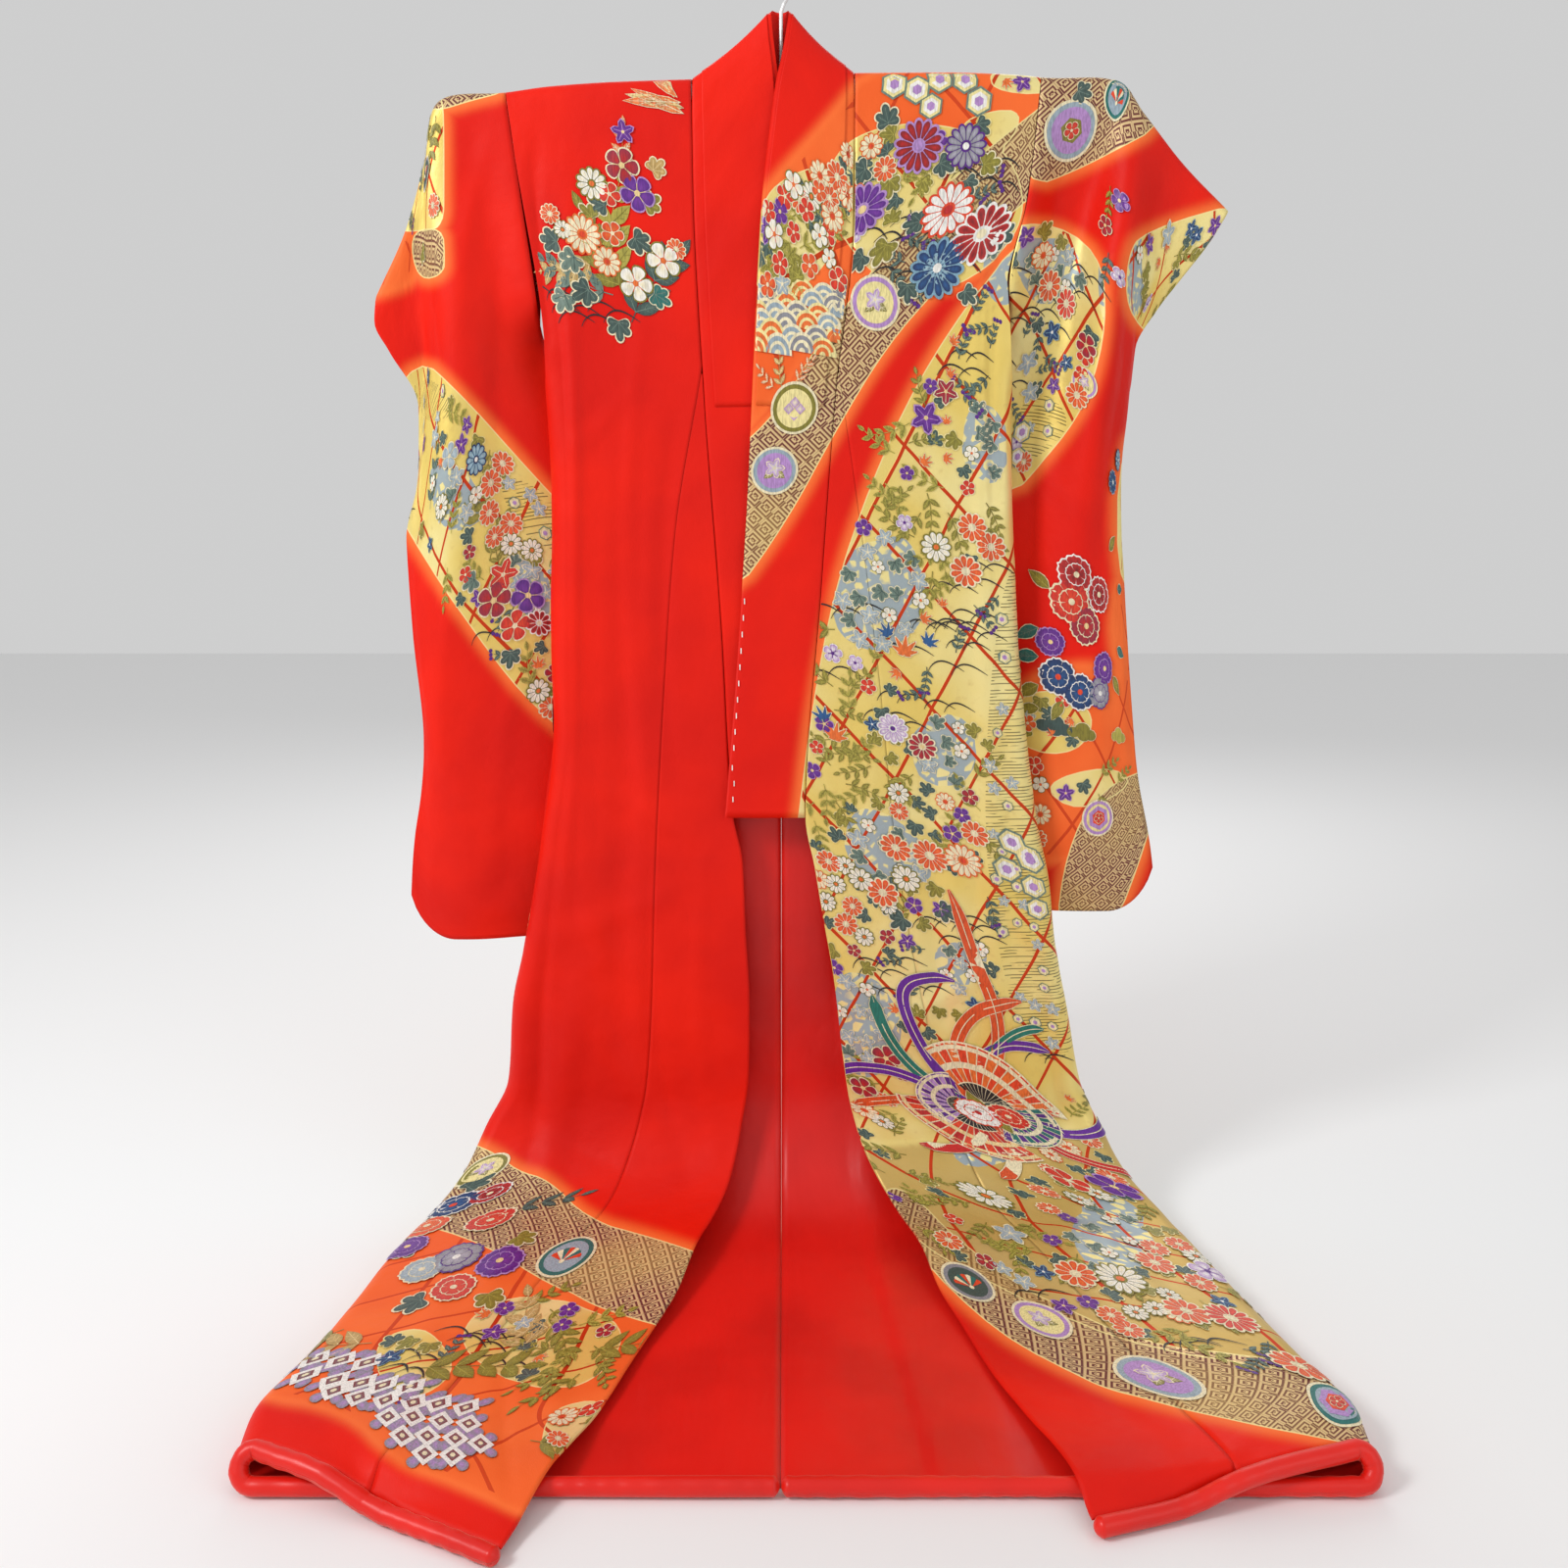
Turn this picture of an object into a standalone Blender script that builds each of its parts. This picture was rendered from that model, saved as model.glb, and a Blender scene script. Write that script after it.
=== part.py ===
"""Uchikake wedding kimono hung on a bar hanger, hem fanned out on the floor (metres).

Frame: the origin is the inside top of the hanger's hook, +Z up, the front faces -Y and
+X is the wearer's left.  Every cloth piece is a wall raised on a middle surface, which is
worked out from a spine (down from the shoulder, round a bend, out along the floor), from
the outline at each level of the spine and from the depth of the front and back layers.
v is always the distance down the spine from the shoulder line.
"""
import math

import bmesh
import bpy
import numpy as np

# ------------------------------------------------------------------ driving sizes
WALL = 0.0024              # body, overlap, sleeve: face silk, interlining and lining
LINING_WALL = 0.0012
COLLAR_WALL = 0.0040       # folded band
COVER_WALL = 0.0012        # over-collar
SEAM = 0.0003              # gap at each sewn edge
SHOULDER_Z = -0.145        # level v = 0 of the spine
FLOOR_Z = -1.575
BEND_HEIGHT = 0.170        # where the cloth leaves the vertical, above the floor
BEND_RADIUS = 0.150
CAP_RADIUS = 0.0130        # middle of the cloth over the bar
HALF_DEPTH = 0.0200        # front and back layers either side of the spine
FLOOR_LAYER = -0.0188      # middle of a layer that lies on the floor, from the spine
FADE = 0.40                # shoulder slope has died out by this level
ARMHOLE = 0.230            # sleeve sewn to the body down to here
VENT_END = 0.340           # open side below the armhole
OVERLAP_TOP = 0.320        # upper tip of the overlap panel
COLLAR_END = 0.8765
BACK_HEM = 1.948           # cloth ends here, the padded roll goes on
SIDE_HEM = 1.929
ROLL_RADIUS = 0.0110
ROLL_STEP = ROLL_RADIUS + 0.0013
SIDE_SEAM_HEM = 0.400      # half width of the back at the hem
LINING_TOP = 0.780
SLEEVE_WIDTH = 0.340
SLEEVE_DROP = 1.030
SLEEVE_GAP = 0.0055        # half the space between sleeve layers, middle to middle
SEWN_GAP = 0.0015          # the same where the layers are sewn together
SLEEVE_CORNER = 0.060
FOLD_COS = {1: 0.66, -1: 0.34}   # cosine of the slope of the drooping top fold, left and right
BAR_RADIUS, ARM_RADIUS, WIRE_RADIUS = 0.0090, 0.0070, 0.0022
HOOK_RADIUS = 0.0202       # centre of the wire

STRAIGHT = SHOULDER_Z - FLOOR_Z - BEND_HEIGHT
BEND = 0.5 * math.pi * BEND_RADIUS
LEFT, RIGHT = 1, -1        # the wearer's left is +X

# outer cloth height of the shoulder line: x, z
SHOULDER = ((-0.404, -0.155), (-0.380, -0.150), (-0.325, -0.1445), (-0.275, -0.138), (-0.200, -0.133),
            (-0.107, -0.130), (0.100, -0.123), (0.200, -0.1225), (0.280, -0.1255), (0.317, -0.129),
            (0.387, -0.134), (0.411, -0.138))

# half width of the outline: v, x
OUTLINE = {
    LEFT: ((0.0, 0.307), (0.138, 0.293), (0.229, 0.274), (0.321, 0.278), (0.458, 0.284), (0.600, 0.295),
           (0.768, 0.314), (0.885, 0.332), (0.962, 0.349), (1.064, 0.363), (1.140, 0.380), (1.244, 0.401),
           (1.312, 0.431), (1.377, 0.461), (1.452, 0.502), (1.571, 0.530), (1.682, 0.554), (1.781, 0.578),
           (1.870, 0.602), (1.948, 0.597), (2.06, 0.590)),
    RIGHT: ((0.0, 0.326), (0.138, 0.308), (0.229, 0.296), (0.321, 0.287), (0.458, 0.284), (0.600, 0.287),
            (0.768, 0.291), (0.885, 0.308), (0.962, 0.321), (1.064, 0.341), (1.140, 0.358), (1.244, 0.367),
            (1.312, 0.399), (1.377, 0.425), (1.452, 0.460), (1.571, 0.4905), (1.682, 0.507), (1.781, 0.5265),
            (1.870, 0.551), (1.948, 0.546), (2.06, 0.540)),
}
# front edge of the cloth (collar seam, then free edge): v, x
FRONT_EDGE = {
    LEFT: ((0.0, 0.087), (0.160, 0.087), (0.345, 0.067), (0.585, 0.050), (0.8765, 0.031), (0.942, 0.043),
           (1.014, 0.055), (1.095, 0.069), (1.198, 0.081), (1.261, 0.090), (1.332, 0.106), (1.437, 0.145),
           (1.524, 0.175), (1.606, 0.191), (1.679, 0.212), (1.773, 0.236), (1.857, 0.264), (1.921, 0.282),
           (2.010, 0.299)),
    RIGHT: ((0.0, 0.106), (0.130, 0.105), (0.345, 0.095), (0.610, 0.077), (0.8765, 0.062), (0.940, 0.050),
            (1.026, 0.047), (1.131, 0.042), (1.220, 0.043), (1.312, 0.054), (1.392, 0.068), (1.515, 0.105),
            (1.604, 0.124), (1.720, 0.160), (1.805, 0.183), (1.905, 0.213), (1.978, 0.236), (2.051, 0.261)),
}
# seam between the front panel and the overlap panel: v, x
OVERLAP_SEAM = {
    LEFT: ((0.320, 0.0695), (0.518, 0.100), (0.700, 0.124), (0.930, 0.150), (1.220, 0.208), (1.400, 0.262),
           (1.600, 0.345), (1.800, 0.405), (2.010, 0.462)),
    RIGHT: ((0.320, 0.0965), (0.518, 0.132), (0.700, 0.148), (0.930, 0.163), (1.220, 0.178), (1.400, 0.215),
            (1.600, 0.290), (1.800, 0.350), (2.051, 0.424)),
}
CORNER_HEM = {LEFT: 2.010, RIGHT: 2.051}
# depth of the front layer from the spine, at the side fold and at the front edge: v, side, edge
FRONT_DEPTH = {
    LEFT: ((0.0, 0.0130, 0.0130), (0.10, 0.0180, 0.0215), (0.20, 0.0200, 0.0260), (0.8765, 0.0200, 0.0262),
           (1.20, 0.0210, 0.0260), (1.42, 0.0240, 0.0260), (1.52, 0.0262, 0.0200), (1.62, 0.0262, 0.0020),
           (1.72, 0.0262, -0.0060), (1.84, 0.0262, -0.0060), (1.91, 0.0262, 0.0030), (1.955, 0.0255, 0.0070),
           (2.06, 0.0250, 0.0070)),
    RIGHT: ((0.0, 0.0130, 0.0130), (0.10, 0.0180, 0.0150), (0.20, 0.0200, 0.0160), (0.8765, 0.0200, 0.0162),
            (1.20, 0.0210, 0.0180), (1.42, 0.0240, 0.0220), (1.52, 0.0262, 0.0170), (1.62, 0.0262, 0.0010),
            (1.72, 0.0262, -0.0060), (1.84, 0.0262, -0.0060), (1.91, 0.0262, 0.0030), (1.955, 0.0255, 0.0070),
            (2.06, 0.0250, 0.0070)),
}
# height of the padded roll's centre under the front hem: share of the way from side to corner, height
ROLL_LIFT = {
    LEFT: ((0.0, 0.0400), (0.22, 0.0370), (0.38, 0.0330), (0.50, 0.0250), (0.60, 0.0160), (0.72, 0.0112),
           (1.0, 0.0112)),
    RIGHT: ((0.0, 0.0400), (0.18, 0.0370), (0.29, 0.0310), (0.38, 0.0200), (0.46, 0.0135), (0.56, 0.0112),
            (1.0, 0.0112)),
}
# soft folds of the front layer: x at v 0.1, x at v 1.3, half width, height, first v, last v
FRONT_FOLDS = {
    LEFT: ((0.235, 0.290, 0.026, 0.0050, 0.10, 1.40), (0.160, 0.215, 0.030, -0.0035, 0.30, 1.45),
           (0.262, 0.375, 0.020, -0.0040, 0.35, 1.55), (0.150, 0.330, 0.035, 0.0045, 1.00, 1.80)),
    RIGHT: ((0.250, 0.300, 0.024, 0.0055, 0.06, 1.10), (0.175, 0.220, 0.030, -0.0035, 0.30, 1.35),
            (0.262, 0.330, 0.020, -0.0045, 0.40, 1.45), (0.110, 0.300, 0.035, 0.0050, 1.00, 1.80)),
}
# the same on the back layer (above the floor only), height towards the outside
BACK_FOLDS = ((0.070, 0.090, 0.032, 0.0050, 0.10, 1.25), (0.170, 0.210, 0.034, -0.0045, 0.25, 1.25),
              (0.235, 0.300, 0.026, 0.0050, 0.20, 1.25))
# rise of the lining right of its pleat: v, x of the pleat
PLEAT = ((0.95, 0.060), (1.30, 0.090), (1.60, 0.118), (1.944, 0.150))
PLEAT_RISE, PLEAT_EDGE, PLEAT_WIDTH = 0.0045, 0.012, 0.125

# back neckline: v on the back, share of the half width at the side of the neck
NECK_HALF = {LEFT: 0.087, RIGHT: 0.106}
NECKLINE = ((0.0, 1.0), (0.007, 0.937), (0.014, 0.845), (0.0204, 0.724), (0.032, 0.420), (0.040, 0.0))
# collar, one row a station: v of its seam (negative on the back), x, y, z of its free edge
COLLAR = {
    LEFT: ((-0.036, 0.0035, 0.0085, -0.0550), (-0.030, 0.0060, 0.0075, -0.0540), (-0.0204, 0.0080, 0.0050, -0.0535),
           (-0.007, 0.0092, 0.0020, -0.0545), (0.010, 0.0090, -0.0030, -0.0580), (0.030, 0.0060, -0.0095, -0.0780),
           (0.055, 0.0010, -0.0195, -0.1060), (0.090, -0.0060, -0.0240, -0.1370), (0.130, -0.0130, -0.0255, -0.1850),
           (0.190, -0.0215, -0.0262, -0.2550), (0.260, -0.0285, -0.0265, -0.3560), (0.345, -0.0350, -0.0265, -0.4840),
           (0.460, -0.0410, -0.0265, -0.6050), (0.583, -0.0490, -0.0265, -0.7280), (0.730, -0.0600, -0.0265, -0.8750),
           (0.8765, -0.0724, -0.0265, -1.0215)),
    RIGHT: ((-0.036, 0.0035, 0.0085, -0.0550), (-0.030, 0.0070, 0.0075, -0.0540), (-0.0204, 0.0095, 0.0050, -0.0535),
            (-0.007, 0.0110, 0.0020, -0.0545), (0.010, 0.0115, -0.0020, -0.0580), (0.030, 0.0100, -0.0080, -0.0780),
            (0.055, 0.0065, -0.0134, -0.1060), (0.090, 0.0030, -0.0146, -0.1370), (0.130, 0.0010, -0.0150, -0.1850),
            (0.190, -0.0010, -0.0158, -0.2550), (0.260, -0.0035, -0.0160, -0.3560), (0.345, -0.0080, -0.0160, -0.4840),
            (0.460, -0.0160, -0.0160, -0.6050), (0.583, -0.0240, -0.0160, -0.7280), (0.730, -0.0320, -0.0160, -0.8750),
            (0.8765, -0.0380, -0.0160, -1.0215)),
}
COLLAR_SAG = ((-0.032, 0.003), (-0.016, 0.0045), (0.010, 0.0045), (0.032, 0.0), (0.880, 0.0))
COVER_END = 0.363          # over-collar, v of its lower edge

# sleeves, one row a level (share of the drop): x, y of five threads across the sleeve
SLEEVE_THREADS = {LEFT: (0.0, 0.100, 0.150, 0.205, 0.340), RIGHT: (0.0, 0.085, 0.165, 0.250, 0.340)}
SLEEVE_TOP = {   # height of the folded top at the threads
    LEFT: (-0.1302, -0.1375, -0.1720, -0.2110, -0.2780), RIGHT: (-0.1457, -0.1560, -0.2200, -0.3000, -0.3750)}
SLEEVE_FLOOR = {LEFT: -1.160, RIGHT: -1.197}
SLEEVE_PLAN = {
    LEFT: (
        (0.00, 0.307, 0.000, 0.405, 0.000, 0.430, -0.010, 0.466, -0.002, 0.538, 0.004),
        (0.04, 0.303, 0.000, 0.396, 0.000, 0.420, -0.018, 0.456, -0.004, 0.517, 0.005),
        (0.09, 0.298, 0.000, 0.385, 0.006, 0.411, -0.026, 0.442, -0.006, 0.483, 0.008),
        (0.13, 0.293, 0.003, 0.376, 0.011, 0.404, -0.030, 0.432, -0.010, 0.455, 0.012),
        (0.18, 0.284, 0.008, 0.368, 0.014, 0.396, -0.028, 0.418, -0.010, 0.431, 0.016),
        (0.28, 0.281, 0.031, 0.358, 0.016, 0.392, -0.024, 0.413, -0.003, 0.427, 0.022),
        (0.35, 0.260, 0.036, 0.345, 0.022, 0.383, -0.016, 0.406, 0.001, 0.424, 0.022),
        (0.50, 0.238, 0.040, 0.322, 0.030, 0.368, 0.000, 0.402, 0.006, 0.4355, 0.018),
        (0.75, 0.202, 0.044, 0.292, 0.040, 0.339, 0.024, 0.388, 0.010, 0.460, 0.018),
        (1.00, 0.166, 0.045, 0.264, 0.042, 0.312, 0.034, 0.362, 0.024, 0.492, 0.022)),
    RIGHT: (
        (0.00, 0.326, 0.000, 0.406, 0.000, 0.424, -0.001, 0.452, 0.001, 0.491, 0.002),
        (0.04, 0.323, 0.000, 0.406, -0.003, 0.428, -0.001, 0.456, 0.003, 0.4955, 0.001),
        (0.08, 0.319, 0.000, 0.404, -0.009, 0.428, -0.001, 0.452, 0.008, 0.481, 0.004),
        (0.16, 0.308, 0.002, 0.396, -0.016, 0.421, -0.003, 0.436, 0.011, 0.448, 0.014),
        (0.22, 0.302, 0.008, 0.388, -0.016, 0.415, -0.005, 0.434, 0.010, 0.450, 0.014),
        (0.28, 0.294, 0.031, 0.376, -0.012, 0.412, -0.008, 0.438, 0.008, 0.456, 0.012),
        (0.36, 0.266, 0.036, 0.353, 0.006, 0.406, -0.012, 0.442, 0.004, 0.472, 0.010),
        (0.50, 0.236, 0.042, 0.318, 0.030, 0.392, -0.004, 0.438, 0.000, 0.4695, 0.010),
        (0.66, 0.206, 0.044, 0.288, 0.036, 0.366, 0.012, 0.430, 0.002, 0.462, 0.012),
        (0.85, 0.178, 0.045, 0.261, 0.040, 0.342, 0.024, 0.414, 0.006, 0.481, 0.016),
        (1.00, 0.162, 0.045, 0.245, 0.042, 0.327, 0.032, 0.405, 0.014, 0.491, 0.018)),
}

# ------------------------------------------------------------------ levels and columns
SHOULDER_LEVELS = (0.007, 0.014, 0.0204, 0.032, 0.040, 0.060, 0.090, 0.130, 0.170, 0.230)
BODY_LEVELS = SHOULDER_LEVELS + (0.285, 0.340, 0.390, 0.460, 0.560, 0.680, 0.780, COLLAR_END, 0.960, 1.050,
                                 1.150, 1.245, 1.294, 1.343, 1.392, 1.441, 1.490, 1.550, 1.620, 1.700,
                                 1.780, 1.850, 1.905, 1.930, BACK_HEM)
COLLAR_LEVELS = (-0.032, -0.0204, -0.007) + tuple(k for k in BODY_LEVELS if k <= COLLAR_END and k != 0.014)
SLEEVE_LEVELS = (0.007, 0.014, 0.0204, 0.032, 0.040, 0.060, 0.090, 0.130, 0.170, 0.230, 0.285, 0.340, 0.410,
                 0.500, 0.600, 0.700, 0.800, 0.880, 0.950, 1.000, SLEEVE_DROP)
SLEEVE_COLUMNS = {
    LEFT: (0.0, 0.030, 0.060, 0.084, 0.104, 0.122, 0.138, 0.151, 0.165, 0.184, 0.208, 0.240, 0.285, SLEEVE_WIDTH),
    RIGHT: (0.0, 0.030, 0.060, 0.078, 0.092, 0.106, 0.122, 0.142, 0.166, 0.195, 0.228, 0.264, 0.302, SLEEVE_WIDTH)}
BODY_COLUMNS = 11
LINING_COLUMNS = 10
FLAT_SPACING, WRAP_SPACING = 0.050, 0.014


# ------------------------------------------------------------------ helpers
def curve(rows, x, column=1):
    """Smooth curve through table rows: cubic pieces whose slopes never overshoot the rows."""
    table = np.asarray(rows, float)
    xs, ys = table[:, 0], table[:, column]
    h, d = np.diff(xs), np.diff(ys) / np.diff(xs)
    slope = np.zeros_like(ys)
    slope[0], slope[-1] = d[0], d[-1]
    same = d[:-1] * d[1:] > 0
    w1, w2 = 2 * h[1:] + h[:-1], h[1:] + 2 * h[:-1]
    safe0, safe1 = np.where(same, d[:-1], 1.0), np.where(same, d[1:], 1.0)
    slope[1:-1] = np.where(same, (w1 + w2) / (w1 / safe0 + w2 / safe1), 0.0)
    x = np.clip(np.asarray(x, float), xs[0], xs[-1])
    i = np.clip(np.searchsorted(xs, x, side="right") - 1, 0, len(h) - 1)
    t = (x - xs[i]) / h[i]
    return ((2 * t ** 3 - 3 * t ** 2 + 1) * ys[i] + (t ** 3 - 2 * t ** 2 + t) * h[i] * slope[i]
            + (3 * t ** 2 - 2 * t ** 3) * ys[i + 1] + (t ** 3 - t ** 2) * h[i] * slope[i + 1])


def ease(t):
    """0 below 0, 1 above 1, a smooth step between."""
    t = np.clip(t, 0.0, 1.0)
    return t * t * (3 - 2 * t)


def bump(t):
    """1 at 0, falling smoothly to 0 at +-1."""
    return np.where(np.abs(t) < 1, np.cos(0.5 * np.pi * np.clip(t, -1, 1)) ** 2, 0.0)


def mix(a, b, t):
    return a + (b - a) * t


# ------------------------------------------------------------------ the body's middle surface
def spine(v):
    """Point (y, z) and front-facing normal (y, z) of the spine at v: down, round the bend, out on the floor."""
    a = np.clip((v - STRAIGHT) / BEND_RADIUS, 0.0, 0.5 * np.pi)
    over = np.maximum(v - STRAIGHT - BEND, 0.0)
    y = -BEND_RADIUS * (1 - np.cos(a)) - over
    z = SHOULDER_Z - np.minimum(v, STRAIGHT) - BEND_RADIUS * np.sin(a)
    return y, z, -np.cos(a), np.sin(a)


def cap(v, radius):
    """Sideways reach and rise (against a straight drop) of cloth laid over a bar of this radius."""
    a = np.minimum(v / radius, 0.5 * np.pi)
    return radius * np.sin(a), v - radius * (1 - np.cos(a)) - np.maximum(v - 0.5 * np.pi * radius, 0.0)


def back_depth(v, x):
    over = cap(v, CAP_RADIUS)[0] + (HALF_DEPTH - CAP_RADIUS) * ease(v / 0.13)
    depth = -mix(over, -FLOOR_LAYER, ease((v - 1.0) / 0.4))
    for x0, x1, half, height, first, last in BACK_FOLDS:
        centre = x0 + (x1 - x0) * (v - 0.1) / 1.2
        live = ease((v - first) / 0.25) * (1 - ease((v - last + 0.3) / 0.3))
        depth = depth - height * live * bump((x - centre) / half)
    return depth


def fold_radius(side, v):
    over = cap(v, CAP_RADIUS)[0] + (HALF_DEPTH - CAP_RADIUS) * ease(v / 0.13)
    flat_back = -mix(over, -FLOOR_LAYER, ease((v - 1.0) / 0.4))
    return 0.5 * (curve(FRONT_DEPTH[side], v, 1) - flat_back)


def fold_ends(side, v):
    """Arc positions, from the centre back, where the round of the side fold starts and ends."""
    r = fold_radius(side, v)
    start = curve(OUTLINE[side], v) - r
    return start, start + np.pi * r, r


def front_hem(side, q):
    return SIDE_HEM + (CORNER_HEM[side] - SIDE_HEM) * q


def front_depth(side, v, x, q):
    """Depth of the front layer: high at the side fold, its own level at the edge, down to the hem's roll."""
    side_depth, edge_depth = curve(FRONT_DEPTH[side], v, 1), curve(FRONT_DEPTH[side], v, 2)
    low = cap(v, CAP_RADIUS)[0]
    side_depth = mix(low, side_depth, ease(v / 0.03)) if np.ndim(v) else side_depth
    edge_depth = mix(low, edge_depth, ease(v / 0.03)) if np.ndim(v) else edge_depth
    depth = mix(side_depth, edge_depth, ease(q * 1.1))
    for x0, x1, half, height, first, last in FRONT_FOLDS[side]:
        centre = x0 + (x1 - x0) * (v - 0.1) / 1.2
        live = ease((v - first) / 0.25) * (1 - ease((v - last + 0.3) / 0.3))
        depth = depth + height * live * bump((x - centre) / half) * ease(q * 12)
    hem = front_hem(side, q)
    begin = mix(hem - 0.05, np.maximum(BACK_HEM + ROLL_STEP + 0.001, 0 * hem), ease((q - 0.3) / 0.2))
    lift = curve(ROLL_LIFT[side], q) - 0.020
    return mix(depth, lift, ease((v - begin) / np.maximum(hem - begin, 0.004)))


def body_point(side, v, s, off=0.0):
    """Point of the middle surface at level v and arc s from the centre back, round the side, to the front.

    off moves it outwards (towards the outside of the garment) by that much."""
    v, s = np.broadcast_arrays(np.asarray(v, float), np.asarray(s, float))
    start, end, r = fold_ends(side, v)
    edge = curve(FRONT_EDGE[side], v)
    angle = np.clip((s - start) / r, 0.0, np.pi)
    x_back = np.minimum(s, start)
    x_front = start - np.maximum(s - end, 0.0)
    q = np.clip((s - end) / np.maximum(start - edge, 0.02), 0.0, 1.0)
    closed = ease((v - VENT_END + 0.05) / 0.10)
    back = back_depth(v, x_back)
    front = front_depth(side, v, x_front, q)
    middle = 0.5 * (back + front)
    half = 0.5 * (front - back)
    on_back = angle < 0.5 * np.pi
    round_x = mix(1 - np.abs(angle / (0.5 * np.pi) - 1), np.sin(angle), closed)
    depth = np.where(on_back, back + closed * half * (1 - np.cos(angle)), front - closed * half * (1 + np.cos(angle)))
    depth = np.where(s <= start, back, np.where(s >= end, front, depth))
    x = np.where(s <= start, x_back, np.where(s >= end, x_front, start + r * round_x))
    nx = np.where((s > start) & (s < end), np.sin(angle), 0.0)
    nd = np.where(s <= start, -1.0, np.where(s >= end, 1.0, -np.cos(angle)))
    x, depth = x + off * nx, depth + off * nd
    y, z, ny, nz = spine(v)
    fade = 1 - ease(v / FADE)
    rise = cap(v, CAP_RADIUS)[1] + curve(SHOULDER, side * x) - WALL / 2 - SHOULDER_Z
    return np.stack([side * x, y + depth * ny, z + depth * nz + rise * fade], -1)


def seam_arc(side, v):
    """Arc position of the side seam: middle of the side fold, moving underneath on the floor."""
    start, end, r = fold_ends(side, v)
    return mix(start + 0.5 * np.pi * r, SIDE_SEAM_HEM, ease((v - 1.22) / 0.6))


def front_arc(side, v, x):
    """Arc position of the front-layer point at this x."""
    start, end, r = fold_ends(side, v)
    return end + start - x


def spread(side, v, first, last, u):
    """Arc position for the share u of a row, with the columns drawn together round the side fold."""
    start, end, r = fold_ends(side, v)
    k1, k2 = np.clip(start, first, last), np.clip(end, first, last)
    flat1, wrap, flat2 = (k1 - first) / FLAT_SPACING, (k2 - k1) / WRAP_SPACING, (last - k2) / FLAT_SPACING
    t = u * (flat1 + wrap + flat2)
    return (first + np.minimum(t, flat1) * FLAT_SPACING + np.clip(t - flat1, 0, wrap) * WRAP_SPACING
            + np.maximum(t - flat1 - wrap, 0) * FLAT_SPACING)


def hem_ramp(base):
    return ease((base - 1.25) / (BACK_HEM - 1.25))


def hem_level(side, s, v):
    """Level of the hem for arc s."""
    start, end, r = fold_ends(side, v)
    edge = curve(FRONT_EDGE[side], v)
    round_part = ease((s - start) / (end - start))
    q = np.clip((s - end) / (start - edge), 0.0, 1.0)
    return mix(BACK_HEM, SIDE_HEM, round_part) + (CORNER_HEM[side] - SIDE_HEM) * q


def panel(side, base, first, last, u, mapped=True):
    """Grid (levels, arcs) of a panel whose edges are the functions first(v) and last(v)."""
    def arc(v):
        a, b = first(v), last(v)
        return spread(side, v, a, b, u) if mapped else mix(a, b, u)
    hem = np.full(np.broadcast(base, u).shape, BACK_HEM)
    for _ in range(6):
        hem = hem_level(side, arc(hem), hem)
    v = base + (hem - BACK_HEM) * hem_ramp(base)
    return v, arc(v)


def neck_x(side, v):
    return np.where(v < 0.040, NECK_HALF[side] * curve(NECKLINE, v), 0.0) + SEAM / 2


def front_inner(side, v):
    """x of the front panel's inner edge: collar seam above the overlap's tip, overlap seam below."""
    return np.where(v < OVERLAP_TOP, curve(FRONT_EDGE[side], v), curve(OVERLAP_SEAM[side], v)) + SEAM / 2


def along_row(side, v, s, toward):
    """Direction along a row, measured on the side that lies away from the side seam."""
    return (body_point(side, v, s + toward * 4e-4) - body_point(side, v, s)) * toward


def body_grid(side):
    """One cloth from the back hem over the shoulder to the front hem, and its direction along each row.

    Columns run from the inner edge to the side on both halves."""
    u = np.linspace(0, 1, BODY_COLUMNS + 1)[None, :]
    levels = np.array(BODY_LEVELS)[:, None]
    v1, s1, back = back_rows(side, 0.0)

    def outer(w):
        return seam_arc(side, w) + SEAM / 2

    def inner(w):
        return front_arc(side, w, front_inner(side, w))
    v2, s2 = panel(side, levels, outer, inner, 1 - u)
    front = body_point(side, v2, s2)
    v0 = np.zeros_like(u)
    s0 = spread(side, v0, neck_x(side, v0), seam_arc(side, v0) - SEAM / 2, u)
    top = body_point(side, v0, s0)
    grid = np.concatenate([back[::-1], top, front])
    row = np.concatenate([along_row(side, v1, s1, -1)[::-1], along_row(side, v0, s0, -1),
                          -along_row(side, v2, s2, 1)])
    return grid, row


def overlap_grid(side):
    u = np.linspace(0, 1, 5)[None, :]
    levels = np.array([k for k in BODY_LEVELS if k > OVERLAP_TOP])[:, None]
    v, s = panel(side, levels,
                 lambda w: front_arc(side, w, curve(OVERLAP_SEAM[side], w) - SEAM / 2),
                 lambda w: front_arc(side, w, curve(FRONT_EDGE[side], w) + SEAM / 2), u, mapped=False)
    return body_point(side, v, s), along_row(side, v, s, -1)


def back_rows(side, first):
    """The back's levels from first to the hem: level, arc and point of each grid node."""
    u = np.linspace(0, 1, BODY_COLUMNS + 1)[None, :]
    levels = np.array([k for k in BODY_LEVELS if k >= first])[:, None]
    v, s = panel(side, levels, lambda w: neck_x(side, w), lambda w: seam_arc(side, w) - SEAM / 2, u)
    return v, s, body_point(side, v, s)


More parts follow.
